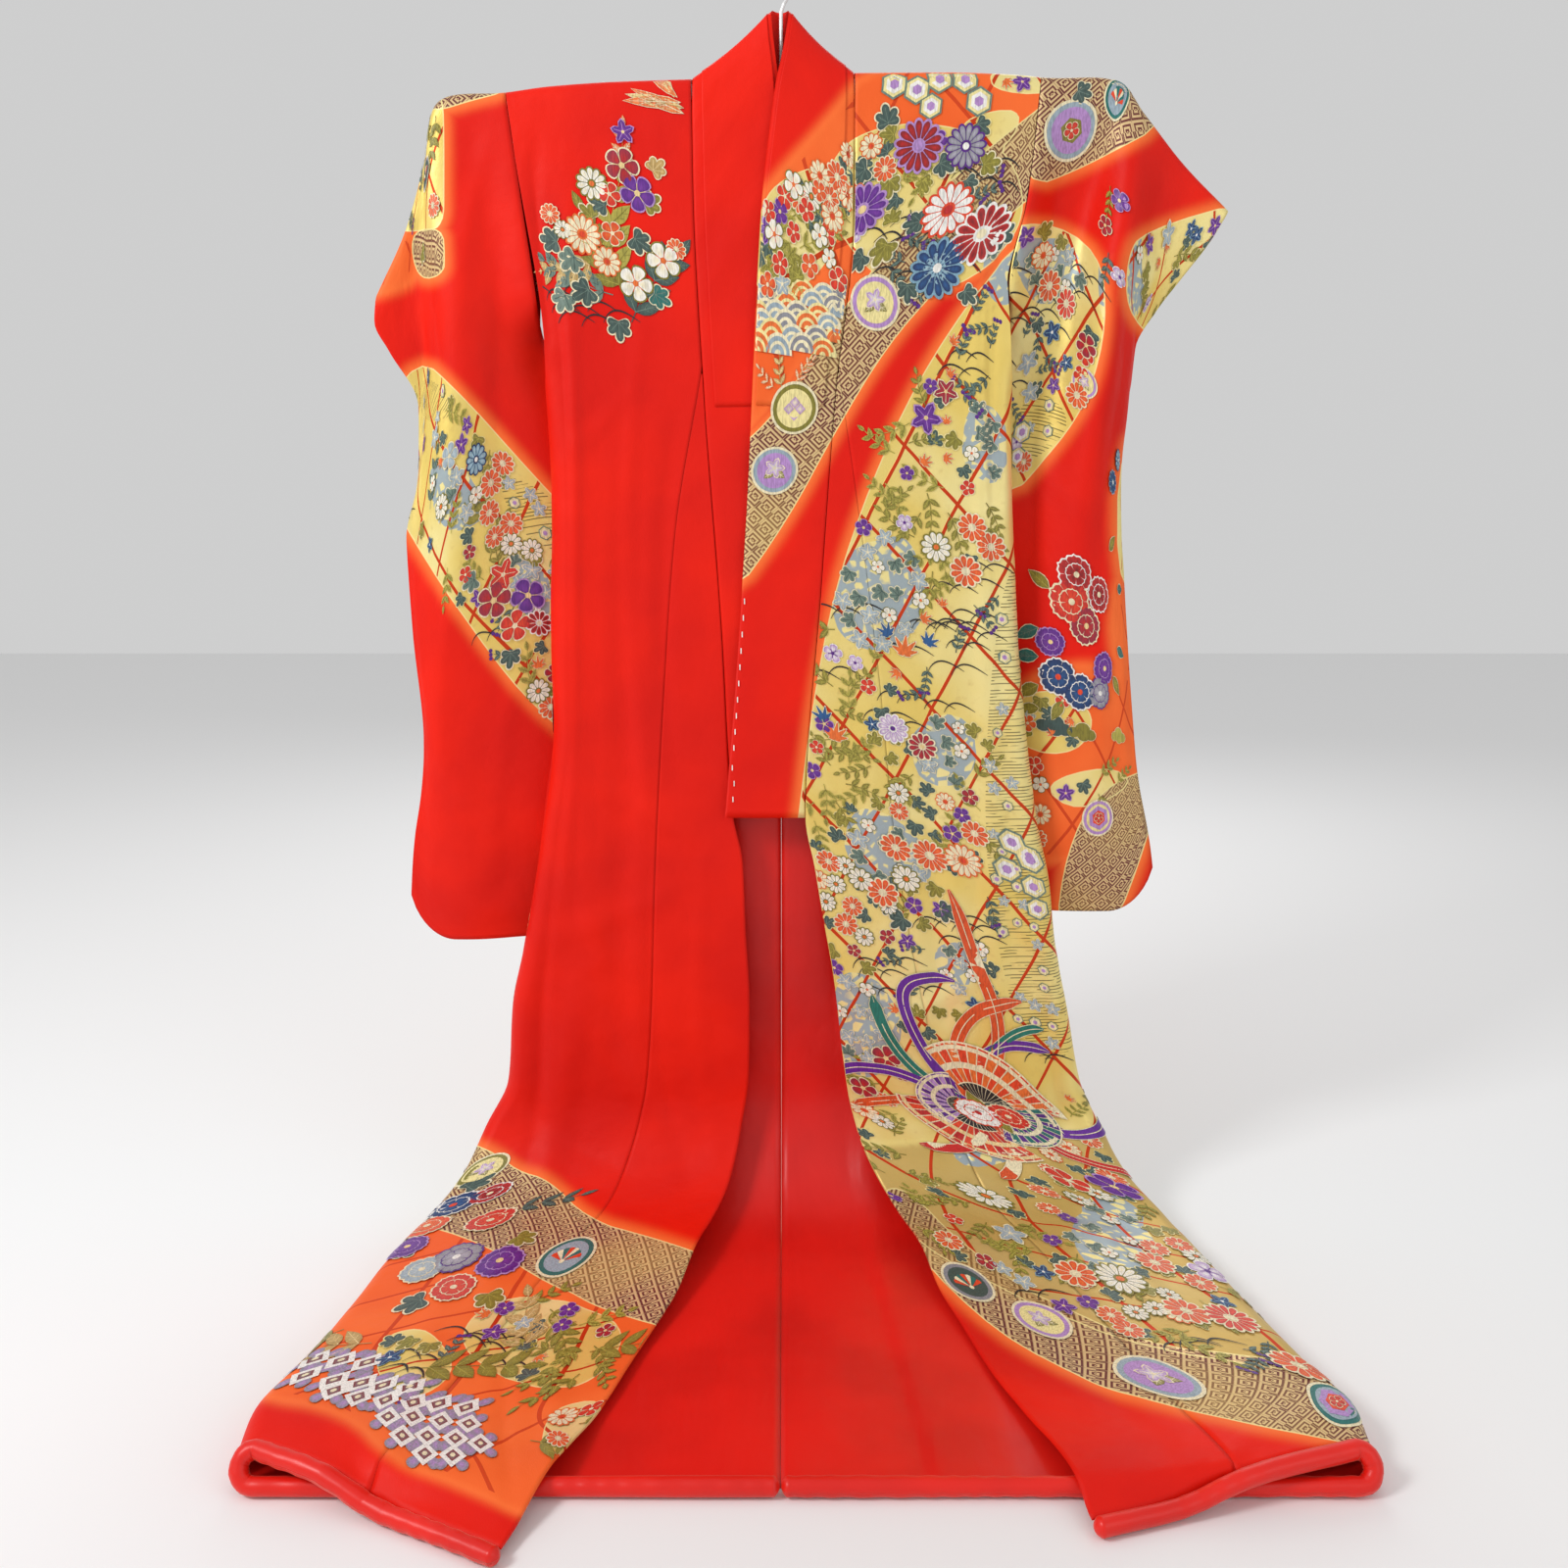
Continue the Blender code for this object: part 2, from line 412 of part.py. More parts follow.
def lining_grid(side):
    """The lining's skirt: the back's own points moved inwards, with a soft pleat on the wearer's left."""
    v, s, back = back_rows(side, LINING_TOP)
    lift = WALL / 2 + SEAM + LINING_WALL / 2 + 0 * s
    if side == LEFT:
        past = s - curve(PLEAT, v)
        live = ease((v - 0.95) / 0.25)
        lift = lift + PLEAT_RISE * live * ease(past / PLEAT_EDGE) * (1 - ease((past - PLEAT_WIDTH + 0.04) / 0.04))
    normal = grid_normals(back, along_row(side, v, s, -1))
    inward = np.where(normal[..., 1:2] - normal[..., 2:3] < 0, 1.0, -1.0)
    return (back + normal * inward * lift[..., None])[:, :LINING_COLUMNS]


# ------------------------------------------------------------------ sleeves
def sleeve_mid(side, a, f):
    """Middle of a sleeve: threads placed by the plan at each level, heights from the top to the bottom."""
    rows = np.array(SLEEVE_PLAN[side])
    threads = SLEEVE_THREADS[side]
    xs = np.stack([curve(rows, f, 1 + 2 * k) for k in range(5)])
    ys = np.stack([curve(rows, f, 2 + 2 * k) for k in range(5)])
    x, y = across(threads, xs, a), across(threads, ys, a)
    top = across(threads, np.array(SLEEVE_TOP[side])[:, None] + 0 * xs.reshape(5, -1), a.ravel()).reshape(a.shape)
    past = 0.95 * np.maximum(a / SLEEVE_CORNER - SLEEVE_WIDTH / SLEEVE_CORNER + 1, 0.0)
    corner = SLEEVE_CORNER * (1 - np.sqrt(1 - past ** 2)) / (1 - math.sqrt(1 - 0.95 ** 2))
    return np.stack([side * x, y, mix(top, SLEEVE_FLOOR[side], f) + corner * ease((f - 0.75) / 0.25)], -1)


def across(knots, values, a):
    """Smooth curve through five values (first axis) at the knots, evaluated at a."""
    knots = np.asarray(knots, float)
    h = np.diff(knots)
    extra = (1,) * (values.ndim - 1)
    d = np.diff(values, axis=0) / h.reshape((-1,) + extra)
    slope = np.empty_like(values)
    slope[0], slope[-1] = d[0], d[-1]
    share = (h[1:] / (h[1:] + h[:-1])).reshape((-1,) + extra)
    slope[1:-1] = share * d[:-1] + (1 - share) * d[1:]
    i = np.clip(np.searchsorted(knots, a, side="right") - 1, 0, len(h) - 1)
    t = (a - knots[i]) / h[i]
    pick = lambda m, k: np.take_along_axis(m, k[None], axis=0)[0]
    return ((2 * t ** 3 - 3 * t ** 2 + 1) * pick(values, i) + (t ** 3 - 2 * t ** 2 + t) * h[i] * pick(slope, i)
            + (3 * t ** 2 - 2 * t ** 3) * pick(values, i + 1) + (t ** 3 - t ** 2) * h[i] * pick(slope, i + 1))


def sleeve_gap(side, a, d):
    """Half the space between the layers: round the bar at the top, closing at the sewn edges."""
    rod = SLEEVE_THREADS[side][1]
    top = mix(CAP_RADIUS, 0.0062, ease((a - rod) / 0.07))
    gap = mix(top, SLEEVE_GAP, ease((d - 0.02) / 0.12))
    sewn_side = ease((a - (SLEEVE_WIDTH - 0.035)) / 0.035) * ease((d - ARMHOLE) / 0.06)
    sewn_bottom = ease((d - SLEEVE_DROP + 0.05) / 0.05)
    return mix(gap, SEWN_GAP, np.maximum(sewn_side, sewn_bottom))


def sleeve_layer(side, a, w):
    """Point of the front (w above 0) or back layer, off the sleeve's middle by half the gap."""
    d = np.abs(w)
    gap = sleeve_gap(side, a, d)
    cosine = mix(1.0, FOLD_COS[side], ease((a - SLEEVE_THREADS[side][1] + 0.01) / 0.04))
    radius = sleeve_gap(side, a, 0 * d) / cosine
    reach, rise = cap(d, radius)
    f = np.clip((d - rise) / (SLEEVE_DROP - (0.5 * np.pi - 1) * radius), 0, 1)
    e = 1e-3
    mid = sleeve_mid(side, a, f)
    da = sleeve_mid(side, np.clip(a + e, 0, SLEEVE_WIDTH), f) - sleeve_mid(side, np.clip(a - e, 0, SLEEVE_WIDTH), f)
    n = np.stack([da[..., 1], -da[..., 0], 0 * d], -1) * side
    n /= np.linalg.norm(n, axis=-1, keepdims=True)
    out = np.minimum(reach * cosine, gap)
    return mid + n * (out * np.sign(w))[..., None]


def sleeve_point(side, a, w):
    """Point of the sleeve's cloth: a across from the armhole, w down the front (negative: the back).

    The armhole edge is drawn on to the body's edge."""
    a, w = np.broadcast_arrays(np.asarray(a, float), np.asarray(w, float))
    pull = (1 - ease(a / 0.045)) * (1 - ease((np.abs(w) - ARMHOLE) / 0.055))
    shift = armhole_edge(side, w) - sleeve_layer(side, 0 * w, w)
    return sleeve_layer(side, a, w) + shift * pull[..., None]


def armhole_edge(side, w):
    """The body's side edge at the armhole, moved out by the seam's gap."""
    v = np.minimum(np.abs(w), ARMHOLE + 0.06)
    arc = seam_arc(side, v)
    point = np.where((w >= 0)[..., None], body_point(side, v, arc + SEAM / 2), body_point(side, v, arc - SEAM / 2))
    point = point + 0
    point[..., 0] += side * 0.0007
    return point


def sleeve_grid(side):
    levels = np.array(SLEEVE_LEVELS)
    w = np.concatenate([-levels[::-1], [0.0], levels])[:, None]
    a = np.array(SLEEVE_COLUMNS[side])[None, :]
    e = 5e-4
    lo, hi = np.maximum(a - e, 0.0), np.minimum(a + e, SLEEVE_WIDTH)
    return sleeve_point(side, a, w), sleeve_point(side, hi, w) - sleeve_point(side, lo, w)


# ------------------------------------------------------------------ collar
def collar_ends(side, v):
    """Seam edge (on the body's edge) and free edge of the collar at the station whose seam is at v."""
    rows = COLLAR[side]
    back = v < 0
    w = np.abs(v)
    x_back = NECK_HALF[side] * curve(NECKLINE, w) if back else 0.0
    if back:
        seam = body_point(side, np.array([w]), np.array([x_back]))[0]
    else:
        x = curve(FRONT_EDGE[side], w)
        seam = body_point(side, np.array([w]), np.array([front_arc(side, w, x)]))[0]
    free = np.array([side * curve(rows, v, 1), curve(rows, v, 2), curve(rows, v, 3)])
    step = free - seam
    gap = 0.0016 * float(bump((v - 0.0) / 0.05)) + 0.0006
    return seam + step / np.linalg.norm(step) * gap, free


def collar_frame(side, v, width_steps):
    """Points across the band at one station and the outward normal at each."""
    a, b = collar_ends(side, v)
    e = 0.006
    lo, hi = max(v - e, -0.036), min(v + e, COLLAR_END)
    a0, b0 = collar_ends(side, lo)
    a1, b1 = collar_ends(side, hi)
    pts, normals = [], []
    for t in width_steps:
        along = mix(a1, b1, t) - mix(a0, b0, t)
        n = np.cross(along, b - a) * -side
        n /= np.linalg.norm(n)
        sag = float(curve(COLLAR_SAG, v)) * 4 * t * (1 - t)
        pts.append(mix(a, b, t) - n * sag)
        normals.append(n)
    return np.array(pts), np.array(normals)


def collar_stations(end):
    """Station levels from one lower end round the neck to the other."""
    return [k for k in COLLAR_LEVELS if k < end - 0.01] + [end]


def collar_loft(name, end, profile, colour):
    """Closed band swept round the neck; profile rows: share across, thickness inside and outside."""
    rings = []
    for side, order in ((LEFT, -1), (RIGHT, 1)):
        rows = []
        for v in collar_stations(end):
            pts, normals = collar_frame(side, v, [p[0] for p in profile])
            thin = 1 - 0.35 * float(bump(v / 0.045))
            ring = [pts[i] + normals[i] * profile[i][1] * thin for i in range(len(profile))]
            rows.append(np.array(ring))
        if side == LEFT:
            rings.extend(rows[::-1])
            a = body_point(LEFT, np.array([0.040]), np.array([0.0]))[0] + np.array([0, 0, 0.0006])
            b = np.array([0.0, 0.0090, -0.0555])
            n = np.array([0.0, 1.0, 0.0])
            rings.append(np.array([mix(a, b, p[0]) + n * p[1] for p in profile]))
        else:
            rings.extend(rows)
    return loft(name, rings, colour)


# ------------------------------------------------------------------ solids
def material(name, colour, rough, metal=0.0):
    mat = bpy.data.materials.new(name)
    mat.use_nodes = True
    node = mat.node_tree.nodes["Principled BSDF"]
    node.inputs["Base Color"].default_value = (*colour, 1.0)
    node.inputs["Roughness"].default_value = rough
    node.inputs["Metallic"].default_value = metal
    return mat


def solid(name, verts, faces, look):
    mesh = bpy.data.meshes.new(name)
    mesh.from_pydata([tuple(map(float, p)) for p in verts], [], faces)
    bm = bmesh.new()
    bm.from_mesh(mesh)
    bmesh.ops.recalc_face_normals(bm, faces=bm.faces)
    bmesh.ops.triangulate(bm, faces=bm.faces)
    bm.to_mesh(mesh)
    bm.free()
    obj = bpy.data.objects.new(name, mesh)
    obj.data.materials.append(look)
    COLLECTION.objects.link(obj)
    return obj


def grid_normals(grid, tangent=None):
    du, dv = np.gradient(grid, axis=0), np.gradient(grid, axis=1) if tangent is None else tangent
    n = np.cross(du, dv)
    return n / np.maximum(np.linalg.norm(n, axis=-1, keepdims=True), 1e-12)


def wall(name, grid, thickness, look, tangent=None):
    """Closed wall of even thickness on a middle-surface grid; tangent gives its exact direction along the rows."""
    rows, cols = grid.shape[:2]
    n = grid_normals(grid, tangent) * (thickness / 2)
    verts = np.concatenate([(grid + n).reshape(-1, 3), (grid - n).reshape(-1, 3)])
    size = rows * cols
    faces = []
    for i in range(rows - 1):
        for j in range(cols - 1):
            a, b, c, d = i * cols + j, i * cols + j + 1, (i + 1) * cols + j + 1, (i + 1) * cols + j
            faces.append((a, b, c, d))
            faces.append((d + size, c + size, b + size, a + size))
    rim = [j for j in range(cols)] + [i * cols + cols - 1 for i in range(1, rows)]
    rim += [(rows - 1) * cols + j for j in range(cols - 2, -1, -1)] + [i * cols for i in range(rows - 2, 0, -1)]
    for k, a in enumerate(rim):
        b = rim[(k + 1) % len(rim)]
        faces.append((b, a, a + size, b + size))
    return solid(name, verts, faces, look)


def loft(name, rings, look):
    """Closed solid through rings of equal count."""
    count = len(rings[0])
    verts = np.concatenate(rings)
    faces = [tuple(range(count))[::-1]]
    for i in range(len(rings) - 1):
        for j in range(count):
            k = (j + 1) % count
            faces.append((i * count + j, i * count + k, (i + 1) * count + k, (i + 1) * count + j))
    faces.append(tuple(range((len(rings) - 1) * count, len(rings) * count)))
    return solid(name, verts, faces, look)


def tube(name, path, radii, look, resolution=2):
    """Round tube: a curve object with a radius at each point and filled caps."""
    data = bpy.data.curves.new(name, "CURVE")
    data.dimensions = "3D"
    data.bevel_depth = 1.0
    data.bevel_resolution = resolution
    data.use_fill_caps = True
    line = data.splines.new("POLY")
    line.points.add(len(path) - 1)
    for point, p, r in zip(line.points, path, radii):
        point.co = (*p, 1.0)
        point.radius = r
    data.materials.append(look)
    obj = bpy.data.objects.new(name, data)
    COLLECTION.objects.link(obj)
    return obj


def roll_path(side):
    """Centre of the padded roll: along the back hem, round the side fold, along the front hem."""
    start, end, r = (float(k) for k in fold_ends(side, np.array(BACK_HEM)))
    small = 0.5 * (ROLL_LIFT[side][0][1] - ROLL_RADIUS)
    pts = []
    for x in np.linspace(SEAM, start, 9)[:-1]:
        pts.append((x, BACK_HEM + ROLL_STEP, ROLL_RADIUS))
    for a in np.linspace(0, math.pi, 8):
        level = mix(BACK_HEM, SIDE_HEM, ease(a / math.pi)) + ROLL_STEP
        pts.append((start + (r - ROLL_RADIUS + 0.004) * math.sin(a),
                    level + 0.001 * a / math.pi, ROLL_RADIUS + small * (1 - math.cos(a))))
    for q in np.linspace(0, 1, 13)[1:]:
        hem = float(front_hem(side, q))
        edge = float(curve(FRONT_EDGE[side], hem))
        reach = float(fold_ends(side, np.array(hem))[0])
        x = reach + (edge - reach) * q
        slant = math.hypot(1.0, (CORNER_HEM[side] - SIDE_HEM) / (reach - edge))
        pts.append((x, hem + ROLL_STEP * slant + 0.001 * float(bump(q / 0.3)), float(curve(ROLL_LIFT[side], q))))
    out = []
    for x, v, h in pts:
        out.append((side * x, -BEND_RADIUS - (v - STRAIGHT - BEND), FLOOR_Z + h))
    return out


# ------------------------------------------------------------------ scene
for old in list(bpy.data.objects):
    bpy.data.objects.remove(old, do_unlink=True)
COLLECTION = bpy.data.collections.new("uchikake_kimono")
bpy.context.scene.collection.children.link(COLLECTION)

RED = material("red_silk", (0.62, 0.015, 0.006), 0.55)
GOLD = material("gold_brocade", (0.62, 0.42, 0.15), 0.5)
RED_LINING = material("red_lining", (0.55, 0.010, 0.004), 0.4)
BAR = material("bar_plastic", (0.80, 0.78, 0.74), 0.4)
WIRE = material("white_wire", (0.85, 0.85, 0.84), 0.35, 0.3)

for tag, side in (("left", LEFT), ("right", RIGHT)):
    for piece, (grid, row), look in (("body_", body_grid(side), GOLD if side == LEFT else RED),
                                     ("overlap_", overlap_grid(side), GOLD if side == LEFT else RED),
                                     ("sleeve_", sleeve_grid(side), RED)):
        wall(piece + tag, grid, WALL, look, row)
    wall("lining_" + tag, lining_grid(side), LINING_WALL, RED_LINING)
    path = roll_path(side)
    tube("hem_roll_" + tag, path, [ROLL_RADIUS - 0.0002] * len(path), RED_LINING)

half = COLLAR_WALL / 2
collar_loft("collar", COLLAR_END, ((0.0, -WALL / 3), (0.12, -half), (0.55, -half), (0.95, -half), (1.0, 0.0),
                                   (0.95, half), (0.55, half), (0.12, half), (0.0, WALL / 3)), RED)
inner, outer = half + SEAM, half + SEAM + COVER_WALL
collar_loft("over_collar", COVER_END, ((0.12, inner), (0.55, inner), (0.95, inner), (0.95, outer),
                                       (0.55, outer), (0.12, outer)), RED)

def bar_height(x):
    """Height of the bar's axis: under the cloth of the shoulder, level in the middle, dipping at the ends."""
    flat = 0.0 if abs(x) < 0.03 else x
    return float(curve(SHOULDER, flat)) - WALL - 0.0119 - 0.004 * float(ease((abs(x) - 0.35) / 0.05))


bar, radii = [], []
for x, r in ((-0.3990, 0.0058), (-0.3985, 0.0078), (-0.3925, 0.0078), (-0.3920, ARM_RADIUS), (-0.32, ARM_RADIUS),
             (-0.2205, ARM_RADIUS), (-0.2200, BAR_RADIUS), (-0.12, BAR_RADIUS), (-0.0295, BAR_RADIUS),
             (0.0295, BAR_RADIUS), (0.12, BAR_RADIUS), (0.2200, BAR_RADIUS), (0.2205, ARM_RADIUS),
             (0.32, ARM_RADIUS), (0.3920, ARM_RADIUS), (0.3925, 0.0078), (0.3985, 0.0078), (0.3990, 0.0058)):
    bar.append((x, 0.0, bar_height(x)))
    radii.append(r)
tube("hanger_bar", bar, radii, BAR, 4)

z0 = bar_height(0.0)

# boss: a ring turned about the bar
profile = bpy.data.meshes.new("hanger_boss")
corners = ((-0.0120, 0.0, 0.0093), (0.0120, 0.0, 0.0093), (0.0120, 0.0, 0.0107), (-0.0120, 0.0, 0.0107))
profile.from_pydata(corners, [(0, 1), (1, 2), (2, 3), (3, 0)], [])
boss = bpy.data.objects.new("hanger_boss", profile)
boss.location = (0.0, 0.0, z0)
COLLECTION.objects.link(boss)
profile.materials.append(BAR)
turn = boss.modifiers.new("turn", "SCREW")
turn.axis = "X"
turn.steps = turn.render_steps = 20
turn.use_merge_vertices = True
turn.merge_threshold = 0.0001

hook = [(0.0, 0.0, z0 + 0.0107 + SEAM), (0.0, 0.0, -0.110), (0.0, 0.0, -0.075), (0.0, 0.0, -0.056),
        (0.0035, 0.0, -0.047)]
centre = -HOOK_RADIUS + WIRE_RADIUS
for t in np.radians(np.linspace(-55, 200, 16)):
    hook.append((HOOK_RADIUS * math.cos(t), 0.0, centre + HOOK_RADIUS * math.sin(t)))
tube("hanger_hook", hook, [WIRE_RADIUS] * len(hook), WIRE)
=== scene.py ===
"""Looks of an uchikake wedding kimono hung on a bar hanger (metres, the frame's own axes).

Every cloth piece is a thin wall on one surface function: body_point for the body, sleeve_point for a
sleeve, collar_point for the collar.  Ornament is drawn on the flat of a drawing plane (one unit is about
1.25 mm of cloth): zones of ground colour are outlines in that plane, stored on the cloth as distances,
and motifs are small flat shapes laid on the cloth's own points, a little above it.
"""
import math

import bpy
import numpy as np
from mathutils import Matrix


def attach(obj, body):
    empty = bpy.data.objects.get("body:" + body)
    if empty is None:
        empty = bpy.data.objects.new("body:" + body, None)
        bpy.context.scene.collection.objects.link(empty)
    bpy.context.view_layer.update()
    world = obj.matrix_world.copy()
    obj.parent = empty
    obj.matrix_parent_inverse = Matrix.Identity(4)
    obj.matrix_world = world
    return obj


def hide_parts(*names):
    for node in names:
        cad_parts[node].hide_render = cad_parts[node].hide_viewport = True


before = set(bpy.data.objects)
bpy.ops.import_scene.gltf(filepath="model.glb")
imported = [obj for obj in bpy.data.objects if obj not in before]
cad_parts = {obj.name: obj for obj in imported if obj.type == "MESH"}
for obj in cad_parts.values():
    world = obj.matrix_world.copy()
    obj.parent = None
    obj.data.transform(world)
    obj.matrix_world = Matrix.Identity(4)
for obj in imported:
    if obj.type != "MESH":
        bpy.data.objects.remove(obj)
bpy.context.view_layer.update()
# ------------------------------------------------------------------ driving sizes
WALL = 0.0024              # body, overlap, sleeve: face silk, interlining and lining
LINING_WALL = 0.0012
COLLAR_WALL = 0.0040       # folded band
COVER_WALL = 0.0012        # over-collar
SEAM = 0.0003              # gap at each sewn edge
SHOULDER_Z = -0.145        # level v = 0 of the spine
FLOOR_Z = -1.575
BEND_HEIGHT = 0.170        # where the cloth leaves the vertical, above the floor
BEND_RADIUS = 0.150
CAP_RADIUS = 0.0130        # middle of the cloth over the bar
HALF_DEPTH = 0.0200        # front and back layers either side of the spine
FLOOR_LAYER = -0.0188      # middle of a layer that lies on the floor, from the spine
FADE = 0.40                # shoulder slope has died out by this level
FOLD_TOP, FOLD_RUN = 0.10, 1.20    # a long fold's centre goes from its first x at this level to its last
ARMHOLE = 0.230            # sleeve sewn to the body down to here
VENT_END = 0.340           # open side below the armhole
OVERLAP_TOP = 0.320        # upper tip of the overlap panel
COLLAR_END = 0.8765
BACK_HEM = 1.948           # cloth ends here, the padded roll goes on
SIDE_HEM = 1.929
ROLL_RADIUS = 0.0110
ROLL_STEP = ROLL_RADIUS + 0.0013
SIDE_SEAM_HEM = 0.400      # half width of the back at the hem
LINING_TOP = 0.780
WRAP_DENSITY = 0.050 / 0.014     # columns round the side fold against those on the flat
SLEEVE_WIDTH = 0.340
SLEEVE_DROP = 1.030
SLEEVE_GAP = 0.0055        # half the space between sleeve layers, middle to middle
SEWN_GAP = 0.0015          # the same where the layers are sewn together
SLEEVE_CORNER = 0.060
FOLD_COS = {1: 0.66, -1: 0.34}   # cosine of the slope of the drooping top fold, left and right

STRAIGHT = SHOULDER_Z - FLOOR_Z - BEND_HEIGHT
BEND = 0.5 * math.pi * BEND_RADIUS
LEFT, RIGHT = 1, -1        # the wearer's left is +X


def table_of(text):
    """Rows of a table from text: numbers with spaces, rows with commas."""
    return [[float(k) for k in row.split()] for row in text.split(",")]


# outer cloth height of the shoulder line: x, z
SHOULDER = table_of("""
    -0.404 -0.155, -0.38 -0.15, -0.325 -0.1445, -0.275 -0.138, -0.2 -0.133, -0.107 -0.13, 0.1 -0.123,
    0.2 -0.1225, 0.28 -0.1255, 0.317 -0.129, 0.387 -0.134, 0.411 -0.138""")

# half width of the outline: v, x
OUTLINE = {
    LEFT: table_of("""
        0 0.307, 0.138 0.293, 0.229 0.274, 0.321 0.278, 0.458 0.284, 0.6 0.295, 0.768 0.314, 0.885 0.332,
        0.962 0.349, 1.064 0.363, 1.14 0.38, 1.244 0.401, 1.312 0.431, 1.377 0.461, 1.452 0.502, 1.571 0.53,
        1.682 0.554, 1.781 0.578, 1.87 0.602, 1.948 0.597, 2.06 0.59"""),
    RIGHT: table_of("""
        0 0.326, 0.138 0.308, 0.229 0.296, 0.321 0.287, 0.458 0.284, 0.6 0.287, 0.768 0.291, 0.885 0.308,
        0.962 0.321, 1.064 0.341, 1.14 0.358, 1.244 0.367, 1.312 0.399, 1.377 0.425, 1.452 0.46,
        1.571 0.4905, 1.682 0.507, 1.781 0.5265, 1.87 0.551, 1.948 0.546, 2.06 0.54"""),
}
# front edge of the cloth (collar seam, then free edge): v, x
FRONT_EDGE = {
    LEFT: table_of("""
        0 0.087, 0.16 0.087, 0.345 0.067, 0.585 0.05, 0.8765 0.031, 0.942 0.043, 1.014 0.055, 1.095 0.069,
        1.198 0.081, 1.261 0.09, 1.332 0.106, 1.437 0.145, 1.524 0.175, 1.606 0.191, 1.679 0.212,
        1.773 0.236, 1.857 0.264, 1.921 0.282, 2.01 0.299"""),
    RIGHT: table_of("""
        0 0.106, 0.13 0.105, 0.345 0.095, 0.61 0.077, 0.8765 0.062, 0.94 0.05, 1.026 0.047, 1.131 0.042,
        1.22 0.043, 1.312 0.054, 1.392 0.068, 1.515 0.105, 1.604 0.124, 1.72 0.16, 1.805 0.183, 1.905 0.213,
        1.978 0.236, 2.051 0.261"""),
}
# seam between the front panel and the overlap panel: v, x
OVERLAP_SEAM = {
    LEFT: table_of("""
        0.32 0.0695, 0.518 0.1, 0.7 0.124, 0.93 0.15, 1.22 0.208, 1.4 0.262, 1.6 0.345, 1.8 0.405,
        2.01 0.462"""),
    RIGHT: table_of("""
        0.32 0.0965, 0.518 0.132, 0.7 0.148, 0.93 0.163, 1.22 0.178, 1.4 0.215, 1.6 0.29, 1.8 0.35,
        2.051 0.424"""),
}
CORNER_HEM = {LEFT: 2.010, RIGHT: 2.051}
# depth of the front layer from the spine, at the side fold and at the front edge: v, side, edge
FRONT_DEPTH = {
    LEFT: table_of("""
        0 0.013 0.013, 0.1 0.018 0.0215, 0.2 0.02 0.026, 0.8765 0.02 0.0262, 1.2 0.021 0.026,
        1.42 0.024 0.026, 1.52 0.0262 0.02, 1.62 0.0262 0.002, 1.72 0.0262 -0.006, 1.84 0.0262 -0.006,
        1.91 0.0262 0.003, 1.955 0.0255 0.007, 2.06 0.025 0.007"""),
    RIGHT: table_of("""
        0 0.013 0.013, 0.1 0.018 0.015, 0.2 0.02 0.016, 0.8765 0.02 0.0162, 1.2 0.021 0.018,
        1.42 0.024 0.022, 1.52 0.0262 0.017, 1.62 0.0262 0.001, 1.72 0.0262 -0.006, 1.84 0.0262 -0.006,
        1.91 0.0262 0.003, 1.955 0.0255 0.007, 2.06 0.025 0.007"""),
}
# height of the padded roll's centre under the front hem: share of the way from side to corner, height
ROLL_LIFT = {
    LEFT: table_of("""
        0 0.04, 0.22 0.037, 0.38 0.033, 0.5 0.025, 0.6 0.016, 0.72 0.0112, 1 0.0112"""),
    RIGHT: table_of("""
        0 0.04, 0.18 0.037, 0.29 0.031, 0.38 0.02, 0.46 0.0135, 0.56 0.0112, 1 0.0112"""),
}
# soft folds of the front layer: x at v 0.1, x at v 1.3, half width, height, first v, last v
FRONT_FOLDS = {
    LEFT: table_of("""
        0.235 0.29 0.026 0.005 0.1 1.4, 0.16 0.215 0.03 -0.0035 0.3 1.45, 0.262 0.375 0.02 -0.004 0.35 1.55,
        0.15 0.33 0.035 0.0045 1 1.8"""),
    RIGHT: table_of("""
        0.25 0.3 0.024 0.0055 0.06 1.1, 0.175 0.22 0.03 -0.0035 0.3 1.35, 0.262 0.33 0.02 -0.0045 0.4 1.45,
        0.11 0.3 0.035 0.005 1 1.8"""),
}
# the same on the back layer (above the floor only), height towards the outside
BACK_FOLDS = table_of("""
    0.07 0.09 0.032 0.005 0.1 1.25, 0.17 0.21 0.034 -0.0045 0.25 1.25, 0.235 0.3 0.026 0.005 0.2 1.25""")
# rise of the lining right of its pleat: v, x of the pleat
PLEAT = table_of("0.95 0.06, 1.3 0.09, 1.6 0.118, 1.944 0.15")
PLEAT_RISE, PLEAT_EDGE, PLEAT_WIDTH = 0.0045, 0.012, 0.125

# back neckline: v on the back, share of the half width at the side of the neck
NECK_HALF = {LEFT: 0.087, RIGHT: 0.106}
NECKLINE = table_of("0 1, 0.007 0.937, 0.014 0.845, 0.0204 0.724, 0.032 0.42, 0.04 0")
